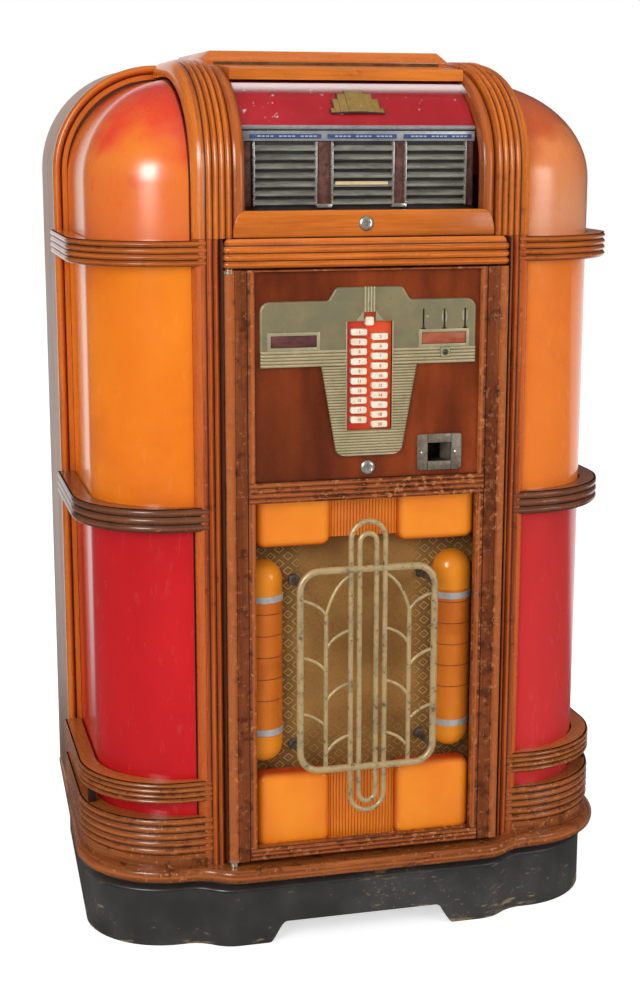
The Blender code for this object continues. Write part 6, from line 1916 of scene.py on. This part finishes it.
def brocade():
    """Woven cloth: nested diamonds of gold thread on brown, a weave, faded patches, and painted shadow
    above the tubes.
    """
    cloth, base, where = new_finish("gold_brocade")
    x, z = where.axis("X"), where.axis("Z")
    slack = where.noise(14.0, 2.0, 0.5) * 0.10
    first, second = x * 34.5 + z * 40.8 + slack, x * 34.5 - z * 40.8 + slack
    ways = [base.math("ABSOLUTE", base.math("FRACT", way) - 0.5) for way in (first, second)]
    nest = base.math("MAXIMUM", ways[0], ways[1])
    ring = nest.step(0.17, 0.22) * (1.0 - nest.step(0.31, 0.36))
    eye = 1.0 - nest.step(0.05, 0.10)
    edge = nest.step(0.40, 0.46)
    thread = base.math("MAXIMUM", ring, eye * 0.8) * 0.95 + edge * 0.25
    weave = base.math("SINE", z * 5200.0) * base.math("SINE", x * 5200.0) * 0.5 + 0.5
    fleck = where.noise(150.0, 4.0, 0.7)
    cloud = where.noise(10.0, 3.0, 0.5)
    side = base.math("ABSOLUTE", x)
    strong = base.math("MAXIMUM", side.step(0.085, 0.118), (0.40 - z).step(0.0, 0.14) * 0.7)
    faded = base.mix((cloud * 0.5 + fleck * 0.5).step(0.38, 0.62),
                     (0.27, 0.128, 0.030), (0.47, 0.238, 0.062))
    ground = base.mix(cloud.step(0.3, 0.7), (0.145, 0.066, 0.016), (0.210, 0.103, 0.028))
    figured = base.mix(thread, ground, (0.50, 0.285, 0.085))
    color = base.mix(strong * 0.86 + 0.06, faded, figured)
    color = base.mix(fleck.step(0.45, 0.75) * 0.45, color, (0.08, 0.038, 0.012))
    # Painted shadow: the cloth above the tubes, towards the top corners, is darkened nearly black.
    high = (z - 0.62).step(0.0, 0.09) * side.step(0.02, 0.16)
    color = base.mix(high * 0.8, color, (0.04, 0.022, 0.008))
    surface(base, {"Sheen Weight": 0.02, "Sheen Roughness": 0.5, "Specular IOR Level": 0.2},
            Base_Color=color, Roughness=fleck * 0.2 + 0.62,
            Normal=bumped(base, thread * 0.6 + weave * 0.3 + fleck * 0.5, 0.5, 0.0010))
    return cloth


def make_cloth_board():
    half, low, high = box_half - 0.0003, box_low + 0.0003, box_high - 0.0003
    bm = bmesh.new()
    slab(bm, (-half, cloth_front + 0.0012, low), (half, cloth_front + 0.0080, high), 0.0004)
    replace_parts(put("cloth_backing", bm, "door", stained_board), "cloth_board")
    bm = bmesh.new()
    slab(bm, (-half, cloth_front, low), (half, cloth_front + 0.0011, high), 0.0002)
    put("grille_cloth_sheet", bm, "door", brocade())


make_cloth_board()


# Side tubes: orange plastic half tubes with domed ends, scored round at even steps, each held to
# the board by two bright bands.
tube_radius = 0.0325
tube_place = box_half - 0.0040 - tube_radius
top_block_bottom = box_high - 0.0928
bottom_block_top = box_low + 0.1310
tube_low = bottom_block_top + 0.0115
tube_high = top_block_bottom - 0.0250
tube_ring_pitch = 0.0362


def make_tubes():
    radius = tube_radius
    profile = arc(0, tube_low + radius, radius, radius, -math.pi / 2, 0, 10)
    profile += arc(0, tube_high - radius, radius, radius, 0, math.pi / 2, 10)
    for side, word, bands in ((-1, "left", (tube_low + 0.0560, tube_high - 0.0610)),
                              (1, "right", (tube_low + 0.0470, tube_high - 0.0740))):
        place = (side * tube_place, cloth_front, 0)
        bm = bmesh.new()
        turned(bm, profile, place, (0, 0, 1), 28, math.pi)
        put(f"side_tube_{word}", bm, "door", tube_plastic, 40)
        bm = bmesh.new()
        for i in range(5):
            height = tube_high - 0.0850 - tube_ring_pitch * i
            inner, outer, low, high = radius - 0.0005, radius + 0.0002, height - 0.0007, height + 0.0007
            turned(bm, [(inner, low), (outer, low), (outer, high), (inner, high)],
                   place, (0, 0, 1), 28, math.pi)
        put(f"tube_scores_{word}", bm, "door", dark_score)
        bm = bmesh.new()
        for height in bands:
            inner, outer, ease = radius - 0.0002, radius + 0.0011, 0.0006
            low, high = height - 0.0055, height + 0.0055
            turned(bm, [(inner, low), (outer - ease, low), (outer, low + ease), (outer, high - ease),
                        (outer - ease, high), (inner, high)], place, (0, 0, 1), 28, math.pi)
        put(f"tube_bands_{word}", bm, "door", band_nickel)


# The tube plastic has a painted glow, and its caps heights mark the painted highlight on the domed ends.
tube_plastic = plastic_finish("tube_plastic", (0.60, 0.135, 0.012), (0.82, 0.235, 0.018),
                              (0.34, 0.050, 0.008), 0.05, 0.35, 5.0,
                              caps=(tube_low + 0.0500, tube_high - 0.0650))
dark_score = plain_finish("dark_score", (0.20, 0.035, 0.008), (0.30, 0.060, 0.012), 60, 0.5)
band_nickel = plain_finish("band_nickel", (0.52, 0.51, 0.49), (0.72, 0.71, 0.69), 40, 0.32, 0.35, 0.1)
make_tubes()


# Grille plastics: bright orange blocks with cushioned faces and a fluted centre between them, one
# set above the cloth and one below. They are lit from behind when the machine is on; here their glow is
# painted on.
block_inner = 0.0540
block_face = door_front + 0.0203
flute_face = door_front + 0.0315
flute_count = 22


def block_plastic_finish():
    """Orange plastic, brightest in the middle of each block, with painted shade making it redder towards
    its edges and a painted glow.
    """
    plastic, base, where = new_finish("orange_blocks")
    cloud = where.noise(10.0, 3.0, 0.5)
    fine = where.noise(120.0, 4.0, 0.65)
    # Painted shade: the eased edges, set back from the face, are darkened to deep red.
    sunk = (where.axis("Y") - block_face).step(0.0002, 0.0110)
    color = base.mix(cloud.step(0.25, 0.75), (0.84, 0.205, 0.010), (0.92, 0.285, 0.014))
    color = base.mix(sunk, color, (0.42, 0.040, 0.004))
    color = base.mix((fine + cloud * 0.2).step(0.78, 0.90) * 0.35, color, (0.80, 0.42, 0.16))
    # Emission in the surface colour is a painted glow.
    surface(base, {"Coat Weight": 0.45, "Coat Roughness": 0.06, "Emission Strength": 0.12, "IOR": 1.5},
            Base_Color=color, Emission_Color=color, Roughness=fine * 0.1 + 0.20,
            Normal=bumped(base, cloud, 0.05, 0.002))
    return plastic


def make_plastics():
    rear = cloth_front - 0.0003
    outer = {-1: opening_half - 0.0030, 1: opening_half + 0.0040}
    for word, low, high, flute_low, flute_high in (
            ("top", top_block_bottom, box_high - 0.0003, top_block_bottom + 0.0130, box_high - 0.0010),
            ("bottom", box_low + 0.0003, bottom_block_top, box_low + 0.0010, bottom_block_top - 0.0100)):
        bm = bmesh.new()
        for side in (-1, 1):
            x0, x1 = sorted((side * block_inner, side * outer[side]))
            slab(bm, (x0, block_face, low), (x1, rear, high), 0.0170, 9)
        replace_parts(put(f"plastic_blocks_{word}", bm, "door", block_plastic, 60),
                    f"plastic_{word}")
        bm = bmesh.new()
        reach = block_inner + 0.004
        section = reed_section(-reach, reach, flute_count, 0.0022, 4)
        section += [(flute_face - rear, reach, 0), (flute_face - rear, -reach, 0)]
        upright_moulding(bm, section, flute_face, flute_low, [("run", flute_high - flute_low)])
        put(f"plastic_flutes_{word}", bm, "door", flute_plastic)


def flute_finish():
    """Orange plastic, darker in the flutes as painted shade, with a painted glow."""
    plastic, base, where = new_finish("orange_flutes")
    rise = along_grain(base).axis("Z")
    cloud = where.noise(16.0, 3.0, 0.5)
    # Painted shade: the flutes, where the rise is low, are darkened.
    color = base.mix(rise.step(0.1, 0.8), (0.62, 0.125, 0.008), (0.84, 0.245, 0.016))
    color = base.mix(cloud.step(0.35, 0.7) * 0.3, color, (0.62, 0.12, 0.01))
    # Emission in the surface colour is a painted glow.
    surface(base, {"Coat Weight": 0.3, "Coat Roughness": 0.1, "Emission Strength": 0.06},
            Base_Color=color, Emission_Color=color, Roughness=cloud * 0.2 + 0.22)
    return plastic


block_plastic = block_plastic_finish()
flute_plastic = flute_finish()
make_plastics()


# Grille: one flat casting of pale brass bars, a rounded frame crossed by two nested long loops and
# by stems with bent leaves. Four posts hold it off the cloth. The plating is mottled grey.
grille_plane = door_front - 0.0005
grille_half = tube_place - tube_radius - 0.0155
grille_low = bottom_block_top + 0.0085
grille_high = top_block_bottom - 0.0350
loop_half = 0.0285
loop_low = bottom_rail_top + 0.0522
loop_high = middle_rail_bottom - 0.0358
inner_loop_half = 0.0140
stem_place = grille_half - 0.0425
stem_top = grille_high - 0.0730
leaf_steps = 9
post_radius = 0.0046


def make_rods(name, paths):
    """Cast bars: tubes along flat paths of (x, z) points, given as (points, radius, closed)."""
    bm = bmesh.new()
    for points, radius, closed in paths:
        curve = bpy.data.curves.new("bar", "CURVE")
        curve.dimensions = "3D"
        spline = curve.splines.new("POLY")
        spline.points.add(len(points) - 1)
        for spot, (x, z) in zip(spline.points, points):
            spot.co = (x, grille_plane, z, 1)
        spline.use_cyclic_u = closed
        curve.bevel_depth = radius
        curve.bevel_resolution = 4
        curve.use_fill_caps = True
        add_curve(bm, curve)
    return put(name, bm, "door", grille_brass, 60)


def long_loop(half, low, high):
    return (arc(0, high - half, half, half, 0, math.pi, 16)
            + arc(0, low + half, half, half, math.pi, 2 * math.pi, 16))


def leaf(x0, z0, x1, rise):
    points = []
    for i in range(leaf_steps + 1):
        share = i / leaf_steps
        lift = share * 0.45 + (1 - (1 - share) ** 2) * 0.55
        points.append((x0 + (x1 - x0) * (share ** 2 * 0.4 + share * 0.6), z0 + rise * lift))
    return points


def make_grille():
    rim = eased_box(-grille_half, grille_low, grille_half, grille_high, 0.032, 10)
    bars = [(rim, 0.0058, True), (long_loop(loop_half, loop_low, loop_high), 0.0043, True),
            (long_loop(inner_loop_half, loop_low + 0.0160, loop_high - 0.0200), 0.0043, True)]
    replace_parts(make_rods("grille_frame", bars), "cast_grille")
    bars = []
    for side in (-1, 1):
        stem = side * stem_place
        bars.append(([(stem, grille_low), (stem, stem_top)], 0.0038, False))
        bars.append((leaf(stem, stem_top, side * loop_half, 0.0640), 0.0027, False))
        for i in range(3):
            inward = leaf(stem, stem_top - 0.0570 - 0.0885 * i, side * loop_half, 0.0300)
            outward = leaf(stem, stem_top - 0.0945 * i, side * grille_half, 0.0270)
            bars += [(inward, 0.0027, False), (outward, 0.0027, False)]
    make_rods("grille_leaves", bars)
    bm = bmesh.new()
    for side in (-1, 1):
        for z in (grille_low + 0.0265, grille_high - 0.0270):
            place = (side * (grille_half - 0.0035), 0, z)
            foot = cloth_front - 0.0006
            rod(bm, post_radius, grille_plane, foot, place, (0, 1, 0), 20)
            turned(bm, [(post_radius, foot - 0.0054), (0.0085, foot - 0.0044), (0.0100, foot),
                        (post_radius, foot)], place, (0, 1, 0), 20)
    put("grille_posts", bm, "door", post_metal)


def grille_brass_finish():
    """Pale brass plating gone dull in clouds, with dark blotches and pits."""
    brass, base, where = new_finish("pale_brass")
    cloud = where.noise(28.0, 5.0, 0.65)
    blot = where.noise(95.0, 5.0, 0.7)
    pit = where.noise(300.0, 3.0, 0.6)
    color = base.mix((cloud * 0.6 + blot * 0.4).step(0.42, 0.66),
                     (0.58, 0.42, 0.20), (0.38, 0.29, 0.155))
    color = base.mix((blot + cloud * 0.2).step(0.66, 0.76), color, (0.17, 0.135, 0.085))
    color = base.mix(pit.step(0.66, 0.74) * 0.6, color, (0.07, 0.06, 0.04))
    surface(base, {"Metallic": 0.25}, Base_Color=color, Roughness=blot * 0.3 + 0.24,
            Normal=bumped(base, blot + pit * 0.5, 0.35, 0.0008))
    return brass


grille_brass = grille_brass_finish()
post_metal = plain_finish("post_metal", (0.045, 0.042, 0.040), (0.20, 0.18, 0.15), 90, 0.5, 0.4)
make_grille()


# Inside of the case: bare plywood boards gone brown with age. They carry the works, show when the
# door or the lid is open, and keep the shape of their own node.
def plywood_finish():
    """Old plywood, its figure and fibres running up and down, with dark stains."""
    plywood, base, where = new_finish("old_plywood")
    figure = where.noise(4.0, 4.0, 0.6, (1.4, 1.0, 0.25))
    fibre = where.noise(45.0, 4.0, 0.65, (1.0, 1.0, 0.08))
    darkening = where.noise(7.0, 5.0, 0.65)
    color = base.mix((figure * 0.6 + fibre * 0.4).step(0.35, 0.65),
                     (0.22, 0.115, 0.050), (0.36, 0.21, 0.10))
    color = base.mix(darkening.step(0.52, 0.75) * 0.5, color, (0.11, 0.055, 0.025))
    surface(base, {}, Base_Color=color, Roughness=fibre * 0.2 + 0.52,
            Normal=bumped(base, fibre + figure, 0.15, 0.0008))
    return plywood


bpy.data.objects["cabinet_shell"].material_slots[0].material = plywood_finish()


# Rear panel: a lift-out hardboard sheet with two rows of vents. Ten screws hold it to the case.
def make_rear_panel():
    board = plain_finish("brown_hardboard", (0.060, 0.034, 0.018), (0.130, 0.075, 0.040), 22, 0.6)
    bpy.data.objects["back_panel"].material_slots[0].material = board
    low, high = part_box("back_panel")
    heads, slots = bmesh.new(), bmesh.new()
    for i in range(5):
        z = low.z + 0.030 + (high.z - low.z - 0.26) * i / 4
        for side in (-1, 1):
            x, y = side * (high.x - 0.018), high.y
            turned(heads, [(0, -0.0016), (0.0030, -0.0014), (0.0048, -0.0002), (0.0048, 0.0008),
                           (0, 0.0008)], (x, y, z), (0, -1, 0), 16)
            slab(slots, (x - 0.0036, y + 0.0010, z - 0.0004), (x + 0.0036, y + 0.0017, z + 0.0004))
    put("rear_panel_screws", heads, "cabinet", lock_nickel)
    # The slots are dark strips laid on the heads: painted shade in place of cut slots.
    put("rear_screw_slot_shades", slots, "cabinet", dark_bronze)


make_rear_panel()


# Speaker: paper cone with corrugations and a dust cap, in a steel basket with four arms and a
# field coil, screwed behind its baffle.
def make_speaker():
    low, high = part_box("speaker")
    radius, depth = (high.x - low.x) / 2, high.y - low.y
    place = ((low.x + high.x) / 2, low.y, (low.z + high.z) / 2)
    bm = bmesh.new()
    profile = arc(0, depth * 0.46, radius * 0.12, -depth * 0.06, math.pi / 2, 0, 6)
    for i in range(25):
        share = i / 24
        ripple = 0.0012 * math.sin(share * math.pi * 14) * share
        profile.append((radius * (0.14 + 0.70 * share), depth * (0.50 - 0.46 * share) - ripple))
    profile += [(radius * 0.86, depth * 0.045), (radius * 0.86, depth * 0.06),
                (radius * 0.14, depth * 0.52), (0, depth * 0.52)]
    turned(bm, profile, place, (0, 1, 0), 56)
    put("speaker_cone", bm, "cabinet", paper)
    bm = bmesh.new()
    turned(bm, [(radius * 0.84, 0.0), (radius * 0.97, 0.0), (radius, 0.001), (radius, depth * 0.08),
                (radius * 0.93, depth * 0.10), (radius * 0.84, depth * 0.075), (radius * 0.84, 0.0)],
           place, (0, 1, 0), 56)
    turned(bm, [(0, depth * 0.60), (radius * 0.34, depth * 0.60), (radius * 0.36, depth * 0.66),
                (radius * 0.36, depth * 0.98), (radius * 0.34, depth), (0, depth)], place, (0, 1, 0), 40)
    arm = ((0.33, 0.62), (0.92, 0.085), (0.96, 0.085), (0.36, 0.70))
    for i in range(4):
        made = extruded(bm, [(radius * x, depth * y, -0.012) for x, y in arm], (0, 0, 0.024))
        turn = Matrix.Rotation(math.pi / 4 + math.pi / 2 * i, 4, "Y")
        bmesh.ops.transform(bm, matrix=Matrix.Translation(place) @ turn, verts=made)
    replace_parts(put("speaker_basket", bm, "cabinet", crinkle_black), "speaker")


paper = plain_finish("grey_paper", (0.050, 0.045, 0.042), (0.105, 0.095, 0.085), 30, 0.8, 0.0, 0.4)
crinkle_black = plain_finish("crinkle_black", (0.012, 0.012, 0.013), (0.040, 0.038, 0.036), 160,
                             0.5, 0.2, 0.8)
make_speaker()


# Amplifier: a plated steel chassis on the floor of the case, with vents in its front. It carries a
# transformer, its core held between two bells, and four valves in bakelite bases.
def make_amplifier():
    low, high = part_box("amplifier")
    top = low.z + 0.070
    middle = (low.y + high.y) / 2
    bm = bmesh.new()
    slab(bm, (low.x, low.y, low.z), (high.x, high.y, top), 0.0025, 3)
    chassis = put("amplifier_chassis", bm, "cabinet", sheet_steel)
    vents = [low.x + 0.03 + 0.05 * i for i in range(5)]
    carve(chassis, [box_cutter((x, low.y - 0.01, low.z + 0.020),
                               (x + 0.03, low.y + 0.004, low.z + 0.024)) for x in vents])
    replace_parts(chassis, "amplifier")
    size = 0.075
    x0, x1, y0, y1 = high.x / 3, high.x / 3 + size, middle - size / 2, middle + size / 2
    bm = bmesh.new()
    for i in range(9):
        y = y0 + i * 0.0072
        slab(bm, (x0 + 0.010, y + 0.006, top), (x1 - 0.010, y + 0.012, top + size - 0.004), 0.0006)
    put("transformer_core", bm, "cabinet", dark_bronze)
    bm = bmesh.new()
    for x in (x0, x1 - 0.016):
        slab(bm, (x, y0 + 0.004, top + 0.006), (x + 0.016, y1 - 0.004, top + size - 0.010), 0.005, 3)
    put("transformer_bells", bm, "cabinet", crinkle_black)
    for number, share in enumerate((-0.78, -0.52, -0.26, 0.0), 1):
        place = (share * high.x, middle, top)
        bm = bmesh.new()
        turned(bm, [(0, 0.024), (0.0155, 0.024), (0.0160, 0.030), (0.0160, 0.055), (0.0150, 0.063),
                    (0.0100, 0.072), (0.0096, 0.080), (0.0070, 0.087), (0, 0.0895)],
               place, (0, 0, 1), 28)
        put(f"valve_glass_{number}", bm, "cabinet", smoked_glass, 60)
        bm = bmesh.new()
        turned(bm, [(0, -0.001), (0.0160, -0.001), (0.0160, 0.004), (0.0146, 0.005), (0.0146, 0.026),
                    (0.0120, 0.028), (0, 0.028)], place, (0, 0, 1), 28)
        put(f"valve_base_{number}", bm, "cabinet", bakelite)


smoked_glass = plain_finish("smoked_glass", (0.055, 0.055, 0.060), (0.14, 0.14, 0.145), 18, 0.18, 0.3)
bakelite = plain_finish("brown_bakelite", (0.035, 0.012, 0.006), (0.075, 0.026, 0.012), 25, 0.3)
make_amplifier()


# Record changer: a grey enamelled plate on four feet with its column, and twenty trays that hold
# one ten-inch record each. A motor stands under the turntable and a post under the tone arm.
tray_pitch = 0.0105
tray_count = 20
tray_first = 0.0300
record_thickness = 0.0026
label_radius = 0.0380


def record_finish():
    """Shellac: black and glossy, with grooves that show as fine rings."""
    shellac, base, where = new_finish("shellac_records")
    x, y = where.axis("X") - stack_place.x, where.axis("Y") - stack_place.y
    out = base.math("SQRT", x * x + y * y)
    groove = base.math("SINE", out * 3600.0) * 0.5 + 0.5
    wide = base.node("ShaderNodeCombineXYZ", None, {0: out}).noise(90.0, 2.0, 0.5)
    color = base.mix(wide, (0.012, 0.011, 0.011), (0.030, 0.027, 0.026))
    surface(base, {}, Base_Color=color, Roughness=wide * 0.15 + 0.18,
            Normal=bumped(base, groove * 0.5 + wide, 0.12, 0.0006))
    return shellac


def make_changer():
    low, high = changer_low, changer_high
    plate_low, plate_high = low.z + 0.0200, low.z + 0.0320
    bm = bmesh.new()
    slab(bm, (low.x, low.y, plate_low), (high.x, high.y, plate_high), 0.0020, 3)
    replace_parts(put("changer_plate", bm, "cabinet", grey_enamel), "record_changer")
    bm = bmesh.new()
    for x in (-0.85, 0.85):
        for y in (low.y + 0.020, high.y - 0.020):
            turned(bm, [(0, 0), (0.010, 0), (0.010, 0.017), (0.0075, 0.0205), (0, 0.0205)],
                   (x * high.x, y, low.z), (0, 0, 1), 20)
    put("changer_feet", bm, "cabinet", bakelite)

    records, labels, trays = bmesh.new(), bmesh.new(), bmesh.new()
    radius, thick, ease = record_radius, record_thickness, 0.0006
    for i in range(tray_count):
        x, y, level = stack_place.x, stack_place.y, plate_high + tray_first + tray_pitch * i
        turned(records, [(0, 0), (radius - ease, 0), (radius, ease), (radius, thick - ease),
                         (radius - ease, thick), (0, thick)], (x, y, level), (0, 0, 1), 56)
        rod(labels, label_radius, 0, 0.0003, (x, y, level + thick - 0.0001), (0, 0, 1), 32)
        level -= 0.0018
        turned(trays, [(0.020, 0), (radius * 0.72, 0), (radius * 0.74, 0.0016), (0.020, 0.0016),
                       (0.020, 0)], (x, y, level), (0, 0, 1), 40)
        slab(trays, (x - radius * 0.985, y + 0.006, level), (x - 0.022, y + 0.018, level + 0.0016))
    put("stacked_records", records, "cabinet", record_finish(), 50)
    put("record_labels", labels, "cabinet", label_paper)
    put("record_trays", trays, "cabinet", tray_metal)

    bm = bmesh.new()
    top = tray_first + tray_pitch * tray_count
    turned(bm, [(0, -0.001), (0.020, -0.001), (0.020, 0.010), (0.0140, 0.014), (0.0140, top - 0.002),
                (0.0120, top), (0, top)], (stack_place.x, stack_place.y, plate_high), (0, 0, 1), 32)
    table_low, table_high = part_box("turntable")
    table = (table_low + table_high) / 2
    rod(bm, 0.0280, -0.001, table_low.z - plate_high - 0.0008,
        (table.x, table.y, plate_high), (0, 0, 1), 32)
    reach = arm_low.z - plate_high
    turned(bm, [(0, -0.001), (0.0118, -0.001), (0.0118, 0.004), (0.0090, 0.006), (0.0090, reach - 0.004),
                (0.0118, reach + 0.0020), (0, reach + 0.0020)],
           (arm_pivot.x, arm_pivot.y, plate_high), (0, 0, 1), 32)
    put("changer_posts", bm, "cabinet", tray_metal)


changer_low, changer_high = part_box("record_changer")
stack_margin = 0.0080
stack_past_middle = 0.0035
record_radius = (changer_high.x - stack_margin + stack_past_middle) / 2
stack_place = Vector((-(changer_high.x - stack_margin - record_radius), door_front + 0.2900, 0))
arm_low, arm_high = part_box("tone_arm")
arm_pivot = Vector(((arm_low.x + arm_high.x) / 2, arm_high.y - 0.012, 0))
grey_enamel = plain_finish("grey_enamel", (0.110, 0.115, 0.110), (0.20, 0.205, 0.195), 60, 0.4, 0.2, 0.5)
tray_metal = plain_finish("dull_aluminium", (0.36, 0.36, 0.35), (0.55, 0.54, 0.51), 50, 0.38, 0.9, 0.15)
label_paper = plain_finish("label_paper", (0.30, 0.035, 0.025), (0.42, 0.075, 0.040), 40, 0.7)
make_changer()


# Turntable: a cast platter with a beaded rim and brown felt, and its nickel spindle.
def make_turntable():
    low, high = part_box("turntable")
    radius = (high.x - low.x) / 2
    place = ((low.x + high.x) / 2, (low.y + high.y) / 2, low.z)
    top = 0.0120
    bm = bmesh.new()
    turned(bm, [(0, 0.0), (radius - 0.004, 0.0), (radius - 0.001, 0.002), (radius, 0.004),
                (radius - 0.0012, 0.0055), (radius, 0.007), (radius - 0.0008, 0.0100),
                (radius - 0.003, top - 0.0006), (0, top - 0.0006)], place, (0, 0, 1), 64)
    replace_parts(put("turntable_platter", bm, "turntable", tray_metal), "turntable")
    bm = bmesh.new()
    turned(bm, [(0.006, top - 0.0007), (radius - 0.006, top - 0.0007), (radius - 0.007, top),
                (0.006, top), (0.006, top - 0.0007)], place, (0, 0, 1), 64)
    put("turntable_felt", bm, "turntable", brown_felt)
    bm = bmesh.new()
    turned(bm, [(0, top - 0.001), (0.0060, top - 0.001), (0.0060, top + 0.0004), (0.0036, top + 0.001),
                (0.0036, high.z - low.z - 0.004), (0.0016, high.z - low.z), (0, high.z - low.z)],
           place, (0, 0, 1), 28)
    put("turntable_spindle", bm, "turntable", lock_nickel)


brown_felt = plain_finish("brown_felt", (0.070, 0.022, 0.014), (0.13, 0.045, 0.028), 190, 0.9, 0.0, 0.9)
make_turntable()


# Tone arm: a tapered tube from its pivot boss to a heavy pickup head with a thumb screw for the
# needle.
def make_tone_arm():
    low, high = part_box("tone_arm")
    height = (low.z + high.z) / 2
    boss, radius = 0.0120, 0.0060
    length = arm_pivot.y - low.y - 0.030
    bm = bmesh.new()
    turned(bm, [(0, -radius), (boss - 0.001, -radius), (boss, 0.001 - radius), (boss, radius - 0.002),
                (boss - 0.003, radius), (0, radius)], (arm_pivot.x, arm_pivot.y, height), (0, 0, 1), 32)
    turned(bm, [(0, 0.0), (0.0055, 0.0), (0.0042, length * 0.5), (0.0036, length), (0, length)],
           (arm_pivot.x, arm_pivot.y, height), (0, -1, 0), 24)
    put("tone_arm_tube", bm, "tone_arm", lock_nickel)
    bm = bmesh.new()
    half = radius * 1.6
    outline = [(-0.55, 0.0365), (0.55, 0.0365), (1.0, 0.026), (1.0, 0.006), (0.6, 0.0), (-0.6, 0.0),
               (-1.0, 0.006), (-1.0, 0.026)]
    extruded(bm, [(arm_pivot.x + half * x, low.y + y, height - radius * 1.4) for x, y in outline],
             (0, 0, radius * 2.8))
    soften(bm, bm.edges[:], 0.0014)
    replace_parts(put("pickup_head", bm, "tone_arm", bakelite), "tone_arm")
    bm = bmesh.new()
    rod(bm, 0.0024, -0.0002, 0.0016, (arm_pivot.x, low.y + 0.0008, height + 0.002), (0, -1, 0), 14)
    put("needle_screw", bm, "tone_arm", tray_metal)


make_tone_arm()
